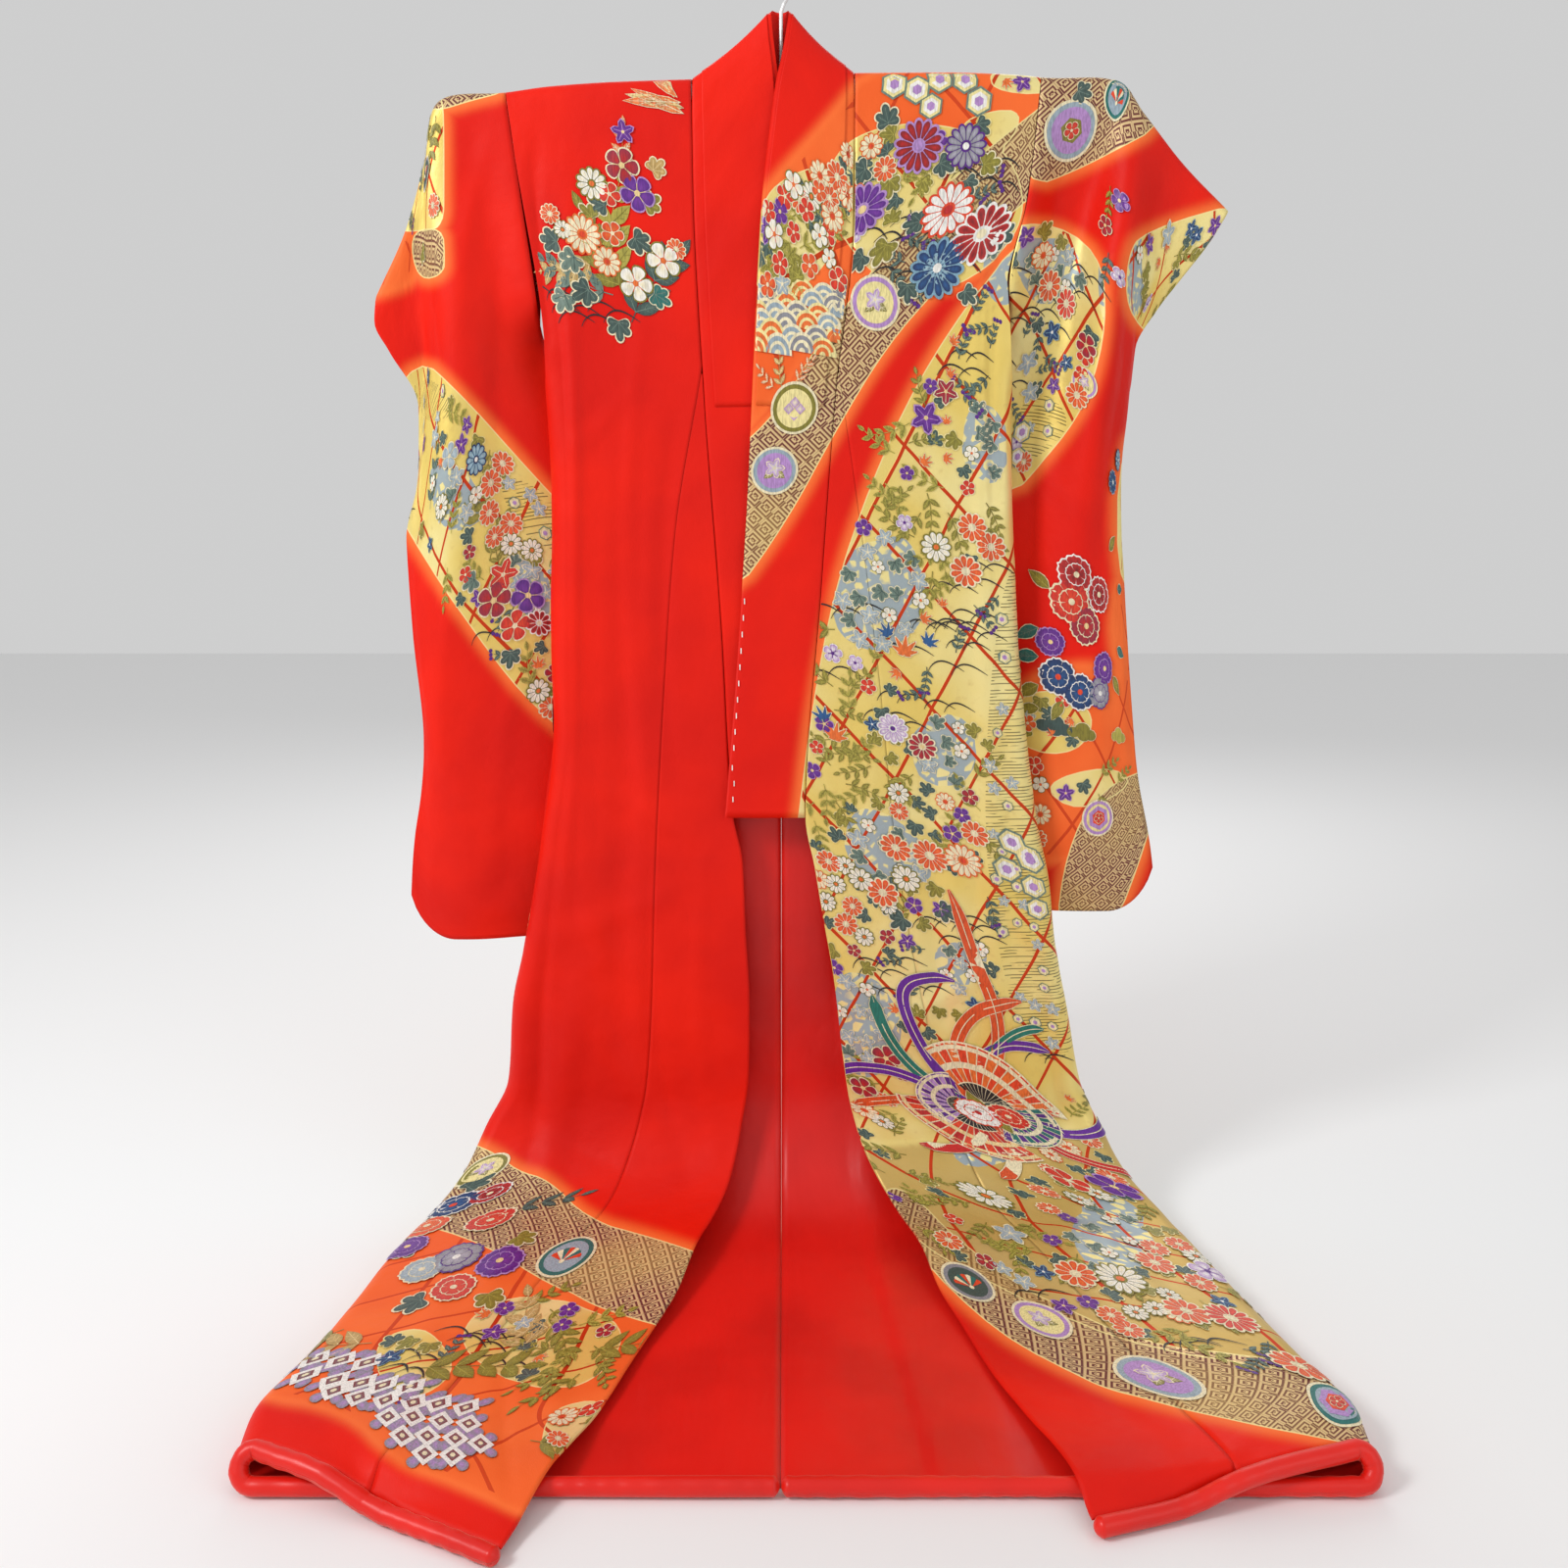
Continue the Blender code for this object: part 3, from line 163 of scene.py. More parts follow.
# collar, one row a station: v of its seam (negative on the back), x, y, z of its free edge
COLLAR = {
    LEFT: table_of("""
        -0.036 0.0035 0.0085 -0.055, -0.03 0.006 0.0075 -0.054, -0.0204 0.008 0.005 -0.0535,
        -0.007 0.0092 0.002 -0.0545, 0.01 0.009 -0.003 -0.058, 0.03 0.006 -0.0095 -0.078,
        0.055 0.001 -0.0195 -0.106, 0.09 -0.006 -0.024 -0.137, 0.13 -0.013 -0.0255 -0.185,
        0.19 -0.0215 -0.0262 -0.255, 0.26 -0.0285 -0.0265 -0.356, 0.345 -0.035 -0.0265 -0.484,
        0.46 -0.041 -0.0265 -0.605, 0.583 -0.049 -0.0265 -0.728, 0.73 -0.06 -0.0265 -0.875,
        0.8765 -0.0724 -0.0265 -1.0215"""),
    RIGHT: table_of("""
        -0.036 0.0035 0.0085 -0.055, -0.03 0.007 0.0075 -0.054, -0.0204 0.0095 0.005 -0.0535,
        -0.007 0.011 0.002 -0.0545, 0.01 0.0115 -0.002 -0.058, 0.03 0.01 -0.008 -0.078,
        0.055 0.0065 -0.0134 -0.106, 0.09 0.003 -0.0146 -0.137, 0.13 0.001 -0.015 -0.185,
        0.19 -0.001 -0.0158 -0.255, 0.26 -0.0035 -0.016 -0.356, 0.345 -0.008 -0.016 -0.484,
        0.46 -0.016 -0.016 -0.605, 0.583 -0.024 -0.016 -0.728, 0.73 -0.032 -0.016 -0.875,
        0.8765 -0.038 -0.016 -1.0215"""),
}
COLLAR_SAG = table_of("-0.032 0.003, -0.016 0.0045, 0.01 0.0045, 0.032 0, 0.88 0")
COVER_END = 0.363          # over-collar, v of its lower edge

# sleeves, one row a level (share of the drop): x, y of five threads across the sleeve
SLEEVE_THREADS = {LEFT: (0.0, 0.100, 0.150, 0.205, 0.340), RIGHT: (0.0, 0.085, 0.165, 0.250, 0.340)}
SLEEVE_TOP = {   # height of the folded top at the threads
    LEFT: (-0.1302, -0.1375, -0.1720, -0.2110, -0.2780), RIGHT: (-0.1457, -0.1560, -0.2200, -0.3000, -0.3750)}
SLEEVE_FLOOR = {LEFT: -1.160, RIGHT: -1.197}
SLEEVE_PLAN = {
    LEFT: table_of("""
        0 0.307 0 0.405 0 0.43 -0.01 0.466 -0.002 0.538 0.004,
        0.04 0.303 0 0.396 0 0.42 -0.018 0.456 -0.004 0.517 0.005,
        0.09 0.298 0 0.385 0.006 0.411 -0.026 0.442 -0.006 0.483 0.008,
        0.13 0.293 0.003 0.376 0.011 0.404 -0.03 0.432 -0.01 0.455 0.012,
        0.18 0.284 0.008 0.368 0.014 0.396 -0.028 0.418 -0.01 0.431 0.016,
        0.28 0.281 0.031 0.358 0.016 0.392 -0.024 0.413 -0.003 0.427 0.022,
        0.35 0.26 0.036 0.345 0.022 0.383 -0.016 0.406 0.001 0.424 0.022,
        0.5 0.238 0.04 0.322 0.03 0.368 0 0.402 0.006 0.4355 0.018,
        0.75 0.202 0.044 0.292 0.04 0.339 0.024 0.388 0.01 0.46 0.018,
        1 0.166 0.045 0.264 0.042 0.312 0.034 0.362 0.024 0.492 0.022"""),
    RIGHT: table_of("""
        0 0.326 0 0.406 0 0.424 -0.001 0.452 0.001 0.491 0.002,
        0.04 0.323 0 0.406 -0.003 0.428 -0.001 0.456 0.003 0.4955 0.001,
        0.08 0.319 0 0.404 -0.009 0.428 -0.001 0.452 0.008 0.481 0.004,
        0.16 0.308 0.002 0.396 -0.016 0.421 -0.003 0.436 0.011 0.448 0.014,
        0.22 0.302 0.008 0.388 -0.016 0.415 -0.005 0.434 0.01 0.45 0.014,
        0.28 0.294 0.031 0.376 -0.012 0.412 -0.008 0.438 0.008 0.456 0.012,
        0.36 0.266 0.036 0.353 0.006 0.406 -0.012 0.442 0.004 0.472 0.01,
        0.5 0.236 0.042 0.318 0.03 0.392 -0.004 0.438 0 0.4695 0.01,
        0.66 0.206 0.044 0.288 0.036 0.366 0.012 0.43 0.002 0.462 0.012,
        0.85 0.178 0.045 0.261 0.04 0.342 0.024 0.414 0.006 0.481 0.016,
        1 0.162 0.045 0.245 0.042 0.327 0.032 0.405 0.014 0.491 0.018"""),
}


# ------------------------------------------------------------------ helpers
def cubic(t, step, low, high):
    """Cubic from low to high, each a value and its slope, as t goes from 0 to 1 over a step."""
    return ((2 * t ** 3 - 3 * t ** 2 + 1) * low[0] + (t ** 3 - 2 * t ** 2 + t) * step * low[1]
            + (3 * t ** 2 - 2 * t ** 3) * high[0] + (t ** 3 - t ** 2) * step * high[1])


def curve(rows, x, column=1):
    """Smooth curve through table rows: cubic pieces whose slopes never overshoot the rows."""
    table = np.asarray(rows, float)
    xs, ys = table[:, 0], table[:, column]
    h, d = np.diff(xs), np.diff(ys) / np.diff(xs)
    slope = np.zeros_like(ys)
    slope[0], slope[-1] = d[0], d[-1]
    same = d[:-1] * d[1:] > 0
    w1, w2 = 2 * h[1:] + h[:-1], h[1:] + 2 * h[:-1]
    safe0, safe1 = np.where(same, d[:-1], 1.0), np.where(same, d[1:], 1.0)
    slope[1:-1] = np.where(same, (w1 + w2) / (w1 / safe0 + w2 / safe1), 0.0)
    x = np.clip(np.asarray(x, float), xs[0], xs[-1])
    i = np.clip(np.searchsorted(xs, x, side="right") - 1, 0, len(h) - 1)
    t = (x - xs[i]) / h[i]
    return cubic(t, h[i], (ys[i], slope[i]), (ys[i + 1], slope[i + 1]))


def ease(t):
    """0 below 0, 1 above 1, a smooth step between."""
    t = np.clip(t, 0.0, 1.0)
    return t * t * (3 - 2 * t)


def bump(t):
    """1 at 0, falling smoothly to 0 at +-1."""
    return np.where(np.abs(t) < 1, np.cos(0.5 * np.pi * np.clip(t, -1, 1)) ** 2, 0.0)


def mix(a, b, t):
    """A straight blend: a at t = 0, b at t = 1."""
    return a + (b - a) * t


# ------------------------------------------------------------------ the body's middle surface
def spine(v):
    """Point and front-facing normal (y, z) of the spine at v: down, round the bend, out on the floor."""
    a = np.clip((v - STRAIGHT) / BEND_RADIUS, 0.0, 0.5 * np.pi)
    over = np.maximum(v - STRAIGHT - BEND, 0.0)
    y = -BEND_RADIUS * (1 - np.cos(a)) - over
    z = SHOULDER_Z - np.minimum(v, STRAIGHT) - BEND_RADIUS * np.sin(a)
    return y, z, -np.cos(a), np.sin(a)


def cap(v, radius):
    """Sideways reach and rise (against a straight drop) of cloth laid over a bar of this radius."""
    a = np.minimum(v / radius, 0.5 * np.pi)
    return radius * np.sin(a), v - radius * (1 - np.cos(a)) - np.maximum(v - 0.5 * np.pi * radius, 0.0)


def smooth_back(v):
    """Depth of the back without folds: over the bar, then hung behind the spine, then low on the floor."""
    over = cap(v, CAP_RADIUS)[0] + (HALF_DEPTH - CAP_RADIUS) * ease(v / 0.13)
    return -mix(over, -FLOOR_LAYER, ease((v - 1.0) / 0.4))


def long_fold(fold, v, x):
    """Height of one long fold: a bump about a slanting centre line, from its first level to its last."""
    x0, x1, half, height, first, last = fold
    centre = x0 + (x1 - x0) * (v - FOLD_TOP) / FOLD_RUN
    live = ease((v - first) / 0.25) * (1 - ease((v - last + 0.3) / 0.3))
    return height * live * bump((x - centre) / half)


def back_depth(v, x):
    """Depth of the back: the smooth back with its long folds."""
    depth = smooth_back(v)
    for fold in BACK_FOLDS:
        depth = depth - long_fold(fold, v, x)
    return depth


def fold_radius(side, v):
    """Half the space between front and back at the side fold."""
    return 0.5 * (curve(FRONT_DEPTH[side], v, 1) - smooth_back(v))


def fold_ends(side, v):
    """Arc positions, from the centre back, where the round of the side fold starts and ends."""
    r = fold_radius(side, v)
    start = curve(OUTLINE[side], v) - r
    return start, start + np.pi * r, r


def front_hem(side, q):
    """Level of the front's hem at share q of its width, from the side seam to the corner."""
    return SIDE_HEM + (CORNER_HEM[side] - SIDE_HEM) * q


def front_depth(side, v, x, q):
    """Depth of the front layer: high at the side fold, its own level at the edge, down to the hem's roll."""
    side_depth, edge_depth = curve(FRONT_DEPTH[side], v, 1), curve(FRONT_DEPTH[side], v, 2)
    low = cap(v, CAP_RADIUS)[0]
    side_depth = mix(low, side_depth, ease(v / 0.03)) if np.ndim(v) else side_depth
    edge_depth = mix(low, edge_depth, ease(v / 0.03)) if np.ndim(v) else edge_depth
    depth = mix(side_depth, edge_depth, ease(q * 1.1))
    for fold in FRONT_FOLDS[side]:
        depth = depth + long_fold(fold, v, x) * ease(q * 12)
    hem = front_hem(side, q)
    begin = mix(hem - 0.05, np.maximum(BACK_HEM + ROLL_STEP + 0.001, 0 * hem), ease((q - 0.3) / 0.2))
    lift = curve(ROLL_LIFT[side], q) - 0.020
    return mix(depth, lift, ease((v - begin) / np.maximum(hem - begin, 0.004)))


def body_point(side, v, s, off=0.0):
    """Point of the middle surface at level v and arc s from the centre back, round the side, to the front.

    off moves it outwards (towards the outside of the garment) by that much."""
    v, s = np.broadcast_arrays(np.asarray(v, float), np.asarray(s, float))
    start, end, r = fold_ends(side, v)
    edge = curve(FRONT_EDGE[side], v)
    angle = np.clip((s - start) / r, 0.0, np.pi)
    x_back = np.minimum(s, start)
    x_front = start - np.maximum(s - end, 0.0)
    q = np.clip((s - end) / np.maximum(start - edge, 0.02), 0.0, 1.0)
    closed = ease((v - VENT_END + 0.05) / 0.10)
    back = back_depth(v, x_back)
    front = front_depth(side, v, x_front, q)
    half = 0.5 * (front - back)
    on_back = angle < 0.5 * np.pi
    round_x = mix(1 - np.abs(angle / (0.5 * np.pi) - 1), np.sin(angle), closed)
    depth = np.where(on_back, back + closed * half * (1 - np.cos(angle)),
                     front - closed * half * (1 + np.cos(angle)))
    depth = np.where(s <= start, back, np.where(s >= end, front, depth))
    x = np.where(s <= start, x_back, np.where(s >= end, x_front, start + r * round_x))
    nx = np.where((s > start) & (s < end), np.sin(angle), 0.0)
    nd = np.where(s <= start, -1.0, np.where(s >= end, 1.0, -np.cos(angle)))
    x, depth = x + off * nx, depth + off * nd
    y, z, ny, nz = spine(v)
    fade = 1 - ease(v / FADE)
    rise = cap(v, CAP_RADIUS)[1] + curve(SHOULDER, side * x) - WALL / 2 - SHOULDER_Z
    return np.stack([side * x, y + depth * ny, z + depth * nz + rise * fade], -1)


def seam_arc(side, v):
    """Arc position of the side seam: middle of the side fold, moving underneath on the floor."""
    start, _, r = fold_ends(side, v)
    return mix(start + 0.5 * np.pi * r, SIDE_SEAM_HEM, ease((v - 1.22) / 0.6))


def front_arc(side, v, x):
    """Arc position of the front-layer point at this x."""
    start, end, _ = fold_ends(side, v)
    return end + start - x


def hem_ramp(base):
    """How far a level has gone from the hung part to the hem: smooth, 0 to 1."""
    return ease((base - 1.25) / (BACK_HEM - 1.25))


def hem_level(side, s, v):
    """Level of the hem for arc s."""
    start, end, _ = fold_ends(side, v)
    edge = curve(FRONT_EDGE[side], v)
    round_part = ease((s - start) / (end - start))
    q = np.clip((s - end) / (start - edge), 0.0, 1.0)
    return mix(BACK_HEM, SIDE_HEM, round_part) + (CORNER_HEM[side] - SIDE_HEM) * q


def spread(side, v, first, last, u):
    """Arc position for the share u of a row, with the columns 3.6 times as close round the side fold."""
    start, end, _ = fold_ends(side, v)
    k1, k2 = np.clip(start, first, last), np.clip(end, first, last)
    flat1, wrap, flat2 = k1 - first, (k2 - k1) * WRAP_DENSITY, last - k2
    t = u * (flat1 + wrap + flat2)
    return (first + np.minimum(t, flat1) + np.clip(t - flat1, 0, wrap) / WRAP_DENSITY
            + np.maximum(t - flat1 - wrap, 0))


def panel(side, base, first, last, u):
    """Levels and arcs of a panel whose edges are the functions first(v) and last(v), u across."""
    def arc(v):
        """Columns between the panel's two edges at v."""
        return spread(side, v, first(v), last(v), u)
    hem = np.full(np.broadcast(base, u).shape, BACK_HEM)
    for _ in range(6):
        hem = hem_level(side, arc(hem), hem)
    v = base + (hem - BACK_HEM) * hem_ramp(base)
    return v, arc(v)


def neck_x(side, v):
    """Half width of the neck opening at v; below it, the gap of the centre seam."""
    return np.where(v < 0.040, NECK_HALF[side] * curve(NECKLINE, v), 0.0) + SEAM / 2


def front_inner(side, v):
    """x of the front panel's inner edge: collar seam above the overlap's tip, overlap seam below."""
    return np.where(v < OVERLAP_TOP, curve(FRONT_EDGE[side], v), curve(OVERLAP_SEAM[side], v)) + SEAM / 2


# ------------------------------------------------------------------ sleeves
def sleeve_mid(side, a, f):
    """Middle of a sleeve: threads placed by the plan at each level, heights from the top to the bottom."""
    rows = np.array(SLEEVE_PLAN[side])
    threads = SLEEVE_THREADS[side]
    xs = np.stack([curve(rows, f, 1 + 2 * k) for k in range(5)])
    ys = np.stack([curve(rows, f, 2 + 2 * k) for k in range(5)])
    x, y = across(threads, xs, a), across(threads, ys, a)
    top = across(threads, np.array(SLEEVE_TOP[side])[:, None] + 0 * xs.reshape(5, -1),
                 a.ravel()).reshape(a.shape)
    past = 0.95 * np.maximum(a / SLEEVE_CORNER - SLEEVE_WIDTH / SLEEVE_CORNER + 1, 0.0)
    corner = SLEEVE_CORNER * (1 - np.sqrt(1 - past ** 2)) / (1 - math.sqrt(1 - 0.95 ** 2))
    return np.stack([side * x, y, mix(top, SLEEVE_FLOOR[side], f) + corner * ease((f - 0.75) / 0.25)], -1)


def across(knots, values, a):
    """Smooth curve through five values (first axis) at the knots, evaluated at a."""
    knots = np.asarray(knots, float)
    h = np.diff(knots)
    extra = (1,) * (values.ndim - 1)
    d = np.diff(values, axis=0) / h.reshape((-1,) + extra)
    slope = np.empty_like(values)
    slope[0], slope[-1] = d[0], d[-1]
    share = (h[1:] / (h[1:] + h[:-1])).reshape((-1,) + extra)
    slope[1:-1] = share * d[:-1] + (1 - share) * d[1:]
    i = np.clip(np.searchsorted(knots, a, side="right") - 1, 0, len(h) - 1)
    t = (a - knots[i]) / h[i]
    pick = lambda m, k: np.take_along_axis(m, k[None], axis=0)[0]
    return cubic(t, h[i], (pick(values, i), pick(slope, i)), (pick(values, i + 1), pick(slope, i + 1)))


def sleeve_gap(side, a, d):
    """Half the space between the layers: round the bar at the top, closing at the sewn edges."""
    rod = SLEEVE_THREADS[side][1]
    top = mix(CAP_RADIUS, 0.0062, ease((a - rod) / 0.07))
    gap = mix(top, SLEEVE_GAP, ease((d - 0.02) / 0.12))
    sewn_side = ease((a - (SLEEVE_WIDTH - 0.035)) / 0.035) * ease((d - ARMHOLE) / 0.06)
    sewn_bottom = ease((d - SLEEVE_DROP + 0.05) / 0.05)
    return mix(gap, SEWN_GAP, np.maximum(sewn_side, sewn_bottom))


def sleeve_layer(side, a, w):
    """Point of the front (w above 0) or back layer, off the sleeve's middle by half the gap."""
    d = np.abs(w)
    gap = sleeve_gap(side, a, d)
    cosine = mix(1.0, FOLD_COS[side], ease((a - SLEEVE_THREADS[side][1] + 0.01) / 0.04))
    radius = sleeve_gap(side, a, 0 * d) / cosine
    reach, rise = cap(d, radius)
    f = np.clip((d - rise) / (SLEEVE_DROP - (0.5 * np.pi - 1) * radius), 0, 1)
    e = 1e-3
    mid = sleeve_mid(side, a, f)
    after, before = np.clip(a + e, 0, SLEEVE_WIDTH), np.clip(a - e, 0, SLEEVE_WIDTH)
    da = sleeve_mid(side, after, f) - sleeve_mid(side, before, f)
    n = np.stack([da[..., 1], -da[..., 0], 0 * d], -1) * side
    n /= np.linalg.norm(n, axis=-1, keepdims=True)
    out = np.minimum(reach * cosine, gap)
    return mid + n * (out * np.sign(w))[..., None]


def sleeve_point(side, a, w):
    """Point of the sleeve's cloth: a across from the armhole, w down the front (negative: the back).

    The armhole edge is drawn on to the body's edge."""
    a, w = np.broadcast_arrays(np.asarray(a, float), np.asarray(w, float))
    pull = (1 - ease(a / 0.045)) * (1 - ease((np.abs(w) - ARMHOLE) / 0.055))
    shift = armhole_edge(side, w) - sleeve_layer(side, 0 * w, w)
    return sleeve_layer(side, a, w) + shift * pull[..., None]


def armhole_edge(side, w):
    """The body's side edge at the armhole, moved out by the seam's gap."""
    v = np.minimum(np.abs(w), ARMHOLE + 0.06)
    arc = seam_arc(side, v)
    point = np.where((w >= 0)[..., None], body_point(side, v, arc + SEAM / 2),
                     body_point(side, v, arc - SEAM / 2))
    point[..., 0] += side * 0.0007
    return point


# ------------------------------------------------------------------ collar
def collar_ends(side, v):
    """Seam edge (on the body's edge) and free edge of the collar at the station whose seam is at v."""
    rows = COLLAR[side]
    back = v < 0
    w = np.abs(v)
    x_back = NECK_HALF[side] * curve(NECKLINE, w) if back else 0.0
    if back:
        seam = body_point(side, np.array([w]), np.array([x_back]))[0]
    else:
        x = curve(FRONT_EDGE[side], w)
        seam = body_point(side, np.array([w]), np.array([front_arc(side, w, x)]))[0]
    free = np.array([side * curve(rows, v, 1), curve(rows, v, 2), curve(rows, v, 3)])
    step = free - seam
    gap = 0.0016 * float(bump((v - 0.0) / 0.05)) + 0.0006
    return seam + step / np.linalg.norm(step) * gap, free


def collar_frame(side, v, width_steps):
    """Points across the band at one station and the outward normal at each."""
    a, b = collar_ends(side, v)
    e = 0.006
    lo, hi = max(v - e, -0.036), min(v + e, COLLAR_END)
    a0, b0 = collar_ends(side, lo)
    a1, b1 = collar_ends(side, hi)
    pts, normals = [], []
    for t in width_steps:
        along = mix(a1, b1, t) - mix(a0, b0, t)
        n = np.cross(along, b - a) * -side
        n /= np.linalg.norm(n)
        sag = float(curve(COLLAR_SAG, v)) * 4 * t * (1 - t)
        pts.append(mix(a, b, t) - n * sag)
        normals.append(n)
    return np.array(pts), np.array(normals)


def roll_path(side):
    """Centre of the padded roll: along the back hem, round the side fold, along the front hem."""
    start, _, r = (float(k) for k in fold_ends(side, np.array(BACK_HEM)))
    small = 0.5 * (ROLL_LIFT[side][0][1] - ROLL_RADIUS)
    pts = []
    for x in np.linspace(SEAM, start, 9)[:-1]:
        pts.append((x, BACK_HEM + ROLL_STEP, ROLL_RADIUS))
    for a in np.linspace(0, math.pi, 8):
        level = mix(BACK_HEM, SIDE_HEM, ease(a / math.pi)) + ROLL_STEP
        pts.append((start + (r - ROLL_RADIUS + 0.004) * math.sin(a),
                    level + 0.001 * a / math.pi, ROLL_RADIUS + small * (1 - math.cos(a))))
    for q in np.linspace(0, 1, 13)[1:]:
        hem = float(front_hem(side, q))
        edge = float(curve(FRONT_EDGE[side], hem))
        reach = float(fold_ends(side, np.array(hem))[0])
        x = reach + (edge - reach) * q
        slant = math.hypot(1.0, (CORNER_HEM[side] - SIDE_HEM) / (reach - edge))
        pts.append((x, hem + ROLL_STEP * slant + 0.001 * float(bump(q / 0.3)),
                    float(curve(ROLL_LIFT[side], q))))
    out = []
    for x, v, h in pts:
        out.append((side * x, -BEND_RADIUS - (v - STRAIGHT - BEND), FLOOR_Z + h))
    return out


# ------------------------------------------------------------------ drawing plane
CAMERA_AT = np.array([0.0035, -1.99, -0.560])
CAMERA_DOWN = math.radians(12.0)
LENS_UNITS = 1600.0        # focal length in drawing units; the plane is 1600 units square
UNIT = 0.00125             # cloth a unit covers on the hung front


def drawn(points):
    """Place of points in the drawing plane: perspective picture from CAMERA_AT, looking CAMERA_DOWN."""
    d = points - CAMERA_AT
    depth = d[..., 1] * math.cos(CAMERA_DOWN) - d[..., 2] * math.sin(CAMERA_DOWN)
    up = d[..., 1] * math.sin(CAMERA_DOWN) + d[..., 2] * math.cos(CAMERA_DOWN)
    return np.stack([800 + LENS_UNITS * d[..., 0] / depth, 800 - LENS_UNITS * up / depth], -1)


def body_drawn(side, v, s):
    """Drawing place of body cloth: its picture on the front, and x and v laid flat on the back."""
    v, s = np.broadcast_arrays(np.asarray(v, float), np.asarray(s, float))
    start, end, _ = fold_ends(side, v)
    point = body_point(side, v, s)
    back = np.stack([800 + point[..., 0] / UNIT, 90 + v / UNIT], -1)
    return np.where((s > 0.5 * (start + end))[..., None], drawn(point), back), s > 0.5 * (start + end)


# creases in the drawing plane, one row each: x, y of both ends, half width and height in mm
FRONT_CREASES = {
    LEFT: table_of("""
        1018 290 1030 560 9 -3, 1034 300 1046 640 8 3, 905 520 900 900 16 2.2, 960 480 985 1000 18 2.4,
        860 900 905 1140 14 2.4, 880 1060 1010 985 12 1.8, 870 1165 1080 1148 9 -2.6,
        905 1185 1120 1162 12 2.6, 1000 880 1075 980 13 2, 950 880 1000 1160 12 -2.2,
        1060 1180 1250 1390 16 2.4, 1000 1240 1190 1480 18 -2.4, 930 140 1010 300 14 1.6,
        1000 110 1040 330 10 -2, 820 640 830 830 8 1.4"""),
    RIGHT: table_of("""
        548 130 560 380 10 -3, 562 360 580 760 11 3.4, 600 330 612 980 16 2.4, 655 330 662 820 11 2.4,
        690 420 688 800 13 -2.2, 575 470 640 400 12 1.6, 570 770 700 850 11 2.2, 560 850 640 990 11 2,
        545 960 700 900 15 1.8, 590 1000 690 1170 14 2.4, 660 900 700 1200 12 -2.2,
        530 1120 640 1200 14 -2.2, 720 860 730 1180 10 1.6, 600 1250 560 1540 16 2.4,
        470 1290 400 1480 18 2.2, 520 1330 525 1560 10 -2, 640 140 600 330 14 1.6"""),
}
BACK_CREASES = {
    LEFT: table_of("""
        860 240 880 900 16 1.4, 950 160 990 700 18 -1.4, 900 800 960 1200 16 1.6, 1010 500 1030 1100 12 1.4,
        860 1180 990 1560 18 1.8, 1000 1200 1150 1560 18 -1.6"""),
    RIGHT: table_of("""
        740 260 725 860 16 1.4, 650 170 610 760 18 -1.4, 690 780 640 1180 16 1.6, 590 520 570 1060 12 1.4,
        740 1200 620 1560 18 1.8, 600 1180 450 1560 18 -1.6"""),
}
SLEEVE_CREASES = {
    LEFT: table_of("""
        1085 260 1078 640 12 1.6, 1060 640 1100 900 14 1.8, 1140 560 1150 860 10 -1.6,
        1168 120 1215 215 9 1.6, 1120 700 1060 800 12 1.4"""),
    RIGHT: table_of("""
        500 140 470 330 12 1.8, 520 200 525 620 13 -1.6, 470 560 450 860 14 1.8, 540 640 500 900 14 1.6,
        440 760 530 860 13 1.4"""),
}


CREASE_UNIT = 0.00125      # metres of height for one unit in the lists above


def relief(place, creases):
    """Height of the creases at a drawing place: each is a soft ridge or trough along its line."""
    flat = place.reshape(-1, 2)
    total = np.zeros(len(flat))
    for x0, y0, x1, y1, half, height in creases:
        a, b = np.array([x0, y0], float), np.array([x1, y1], float)
        soft = 0.001 * max(half, 12)
        margin = 2.6 * soft / UNIT + 20
        near = np.flatnonzero(((flat > np.minimum(a, b) - margin)
                               & (flat < np.maximum(a, b) + margin)).all(1))
        here, span = flat[near], b - a
        length = np.linalg.norm(span)
        along = np.clip(((here - a) @ span) / length ** 2, 0, 1)
        bow = 4 * along * (1 - along) * length * 0.035
        rest = here - a - along[:, None] * span
        away = rest @ np.array([-span[1], span[0]]) / length - bow
        reach = np.where((along <= 0) | (along >= 1), np.linalg.norm(rest, axis=-1), np.abs(away)) * UNIT
        live = 0.35 + 0.65 * np.sin(np.pi * np.clip(along, 0.02, 0.98))
        total[near] += CREASE_UNIT * height * live * np.exp(-(reach / soft) ** 2)
    return total.reshape(place.shape[:-1])


RIPPLE = 0.0005                  # faint unevenness of the cloth between its creases
FLOOR_BEND, FLOOR_FADE = 1.24, 0.16    # the back's creases fade over this length, where it comes to rest


def body_relief(side, v, s):
    """Height of the body's creases: a faint ripple and the listed ones, calm at edges and on the floor."""
    place, front = body_drawn(side, v, s)
    calm = np.minimum(ease((v - 0.03) / 0.06), ease((hem_level(side, s, v) - v) / 0.03))
    drift = 2 * np.sin(place[..., 1] / 61.0)
    ripple = RIPPLE * np.sin(place[..., 0] / 17.0 + drift) * np.sin(place[..., 1] / 23.0)
    standing = 1 - ease((v - FLOOR_BEND) / FLOOR_FADE)
    return calm * np.where(front, ripple + relief(place, FRONT_CREASES[side]),
                           standing * (ripple + relief(place, BACK_CREASES[side])))


def body_cloth(side, v, s, lift=0.0):
    """Body surface with its creases, lifted outwards."""
    v, s = np.broadcast_arrays(np.asarray(v, float), np.asarray(s, float))
    return body_point(side, v, s, lift + body_relief(side, v, s))


def sleeve_drawn(side, a, w):
    """Drawing place of sleeve cloth: the back layer carries the front's drawing."""
    return drawn(sleeve_point(side, a, np.abs(w)))


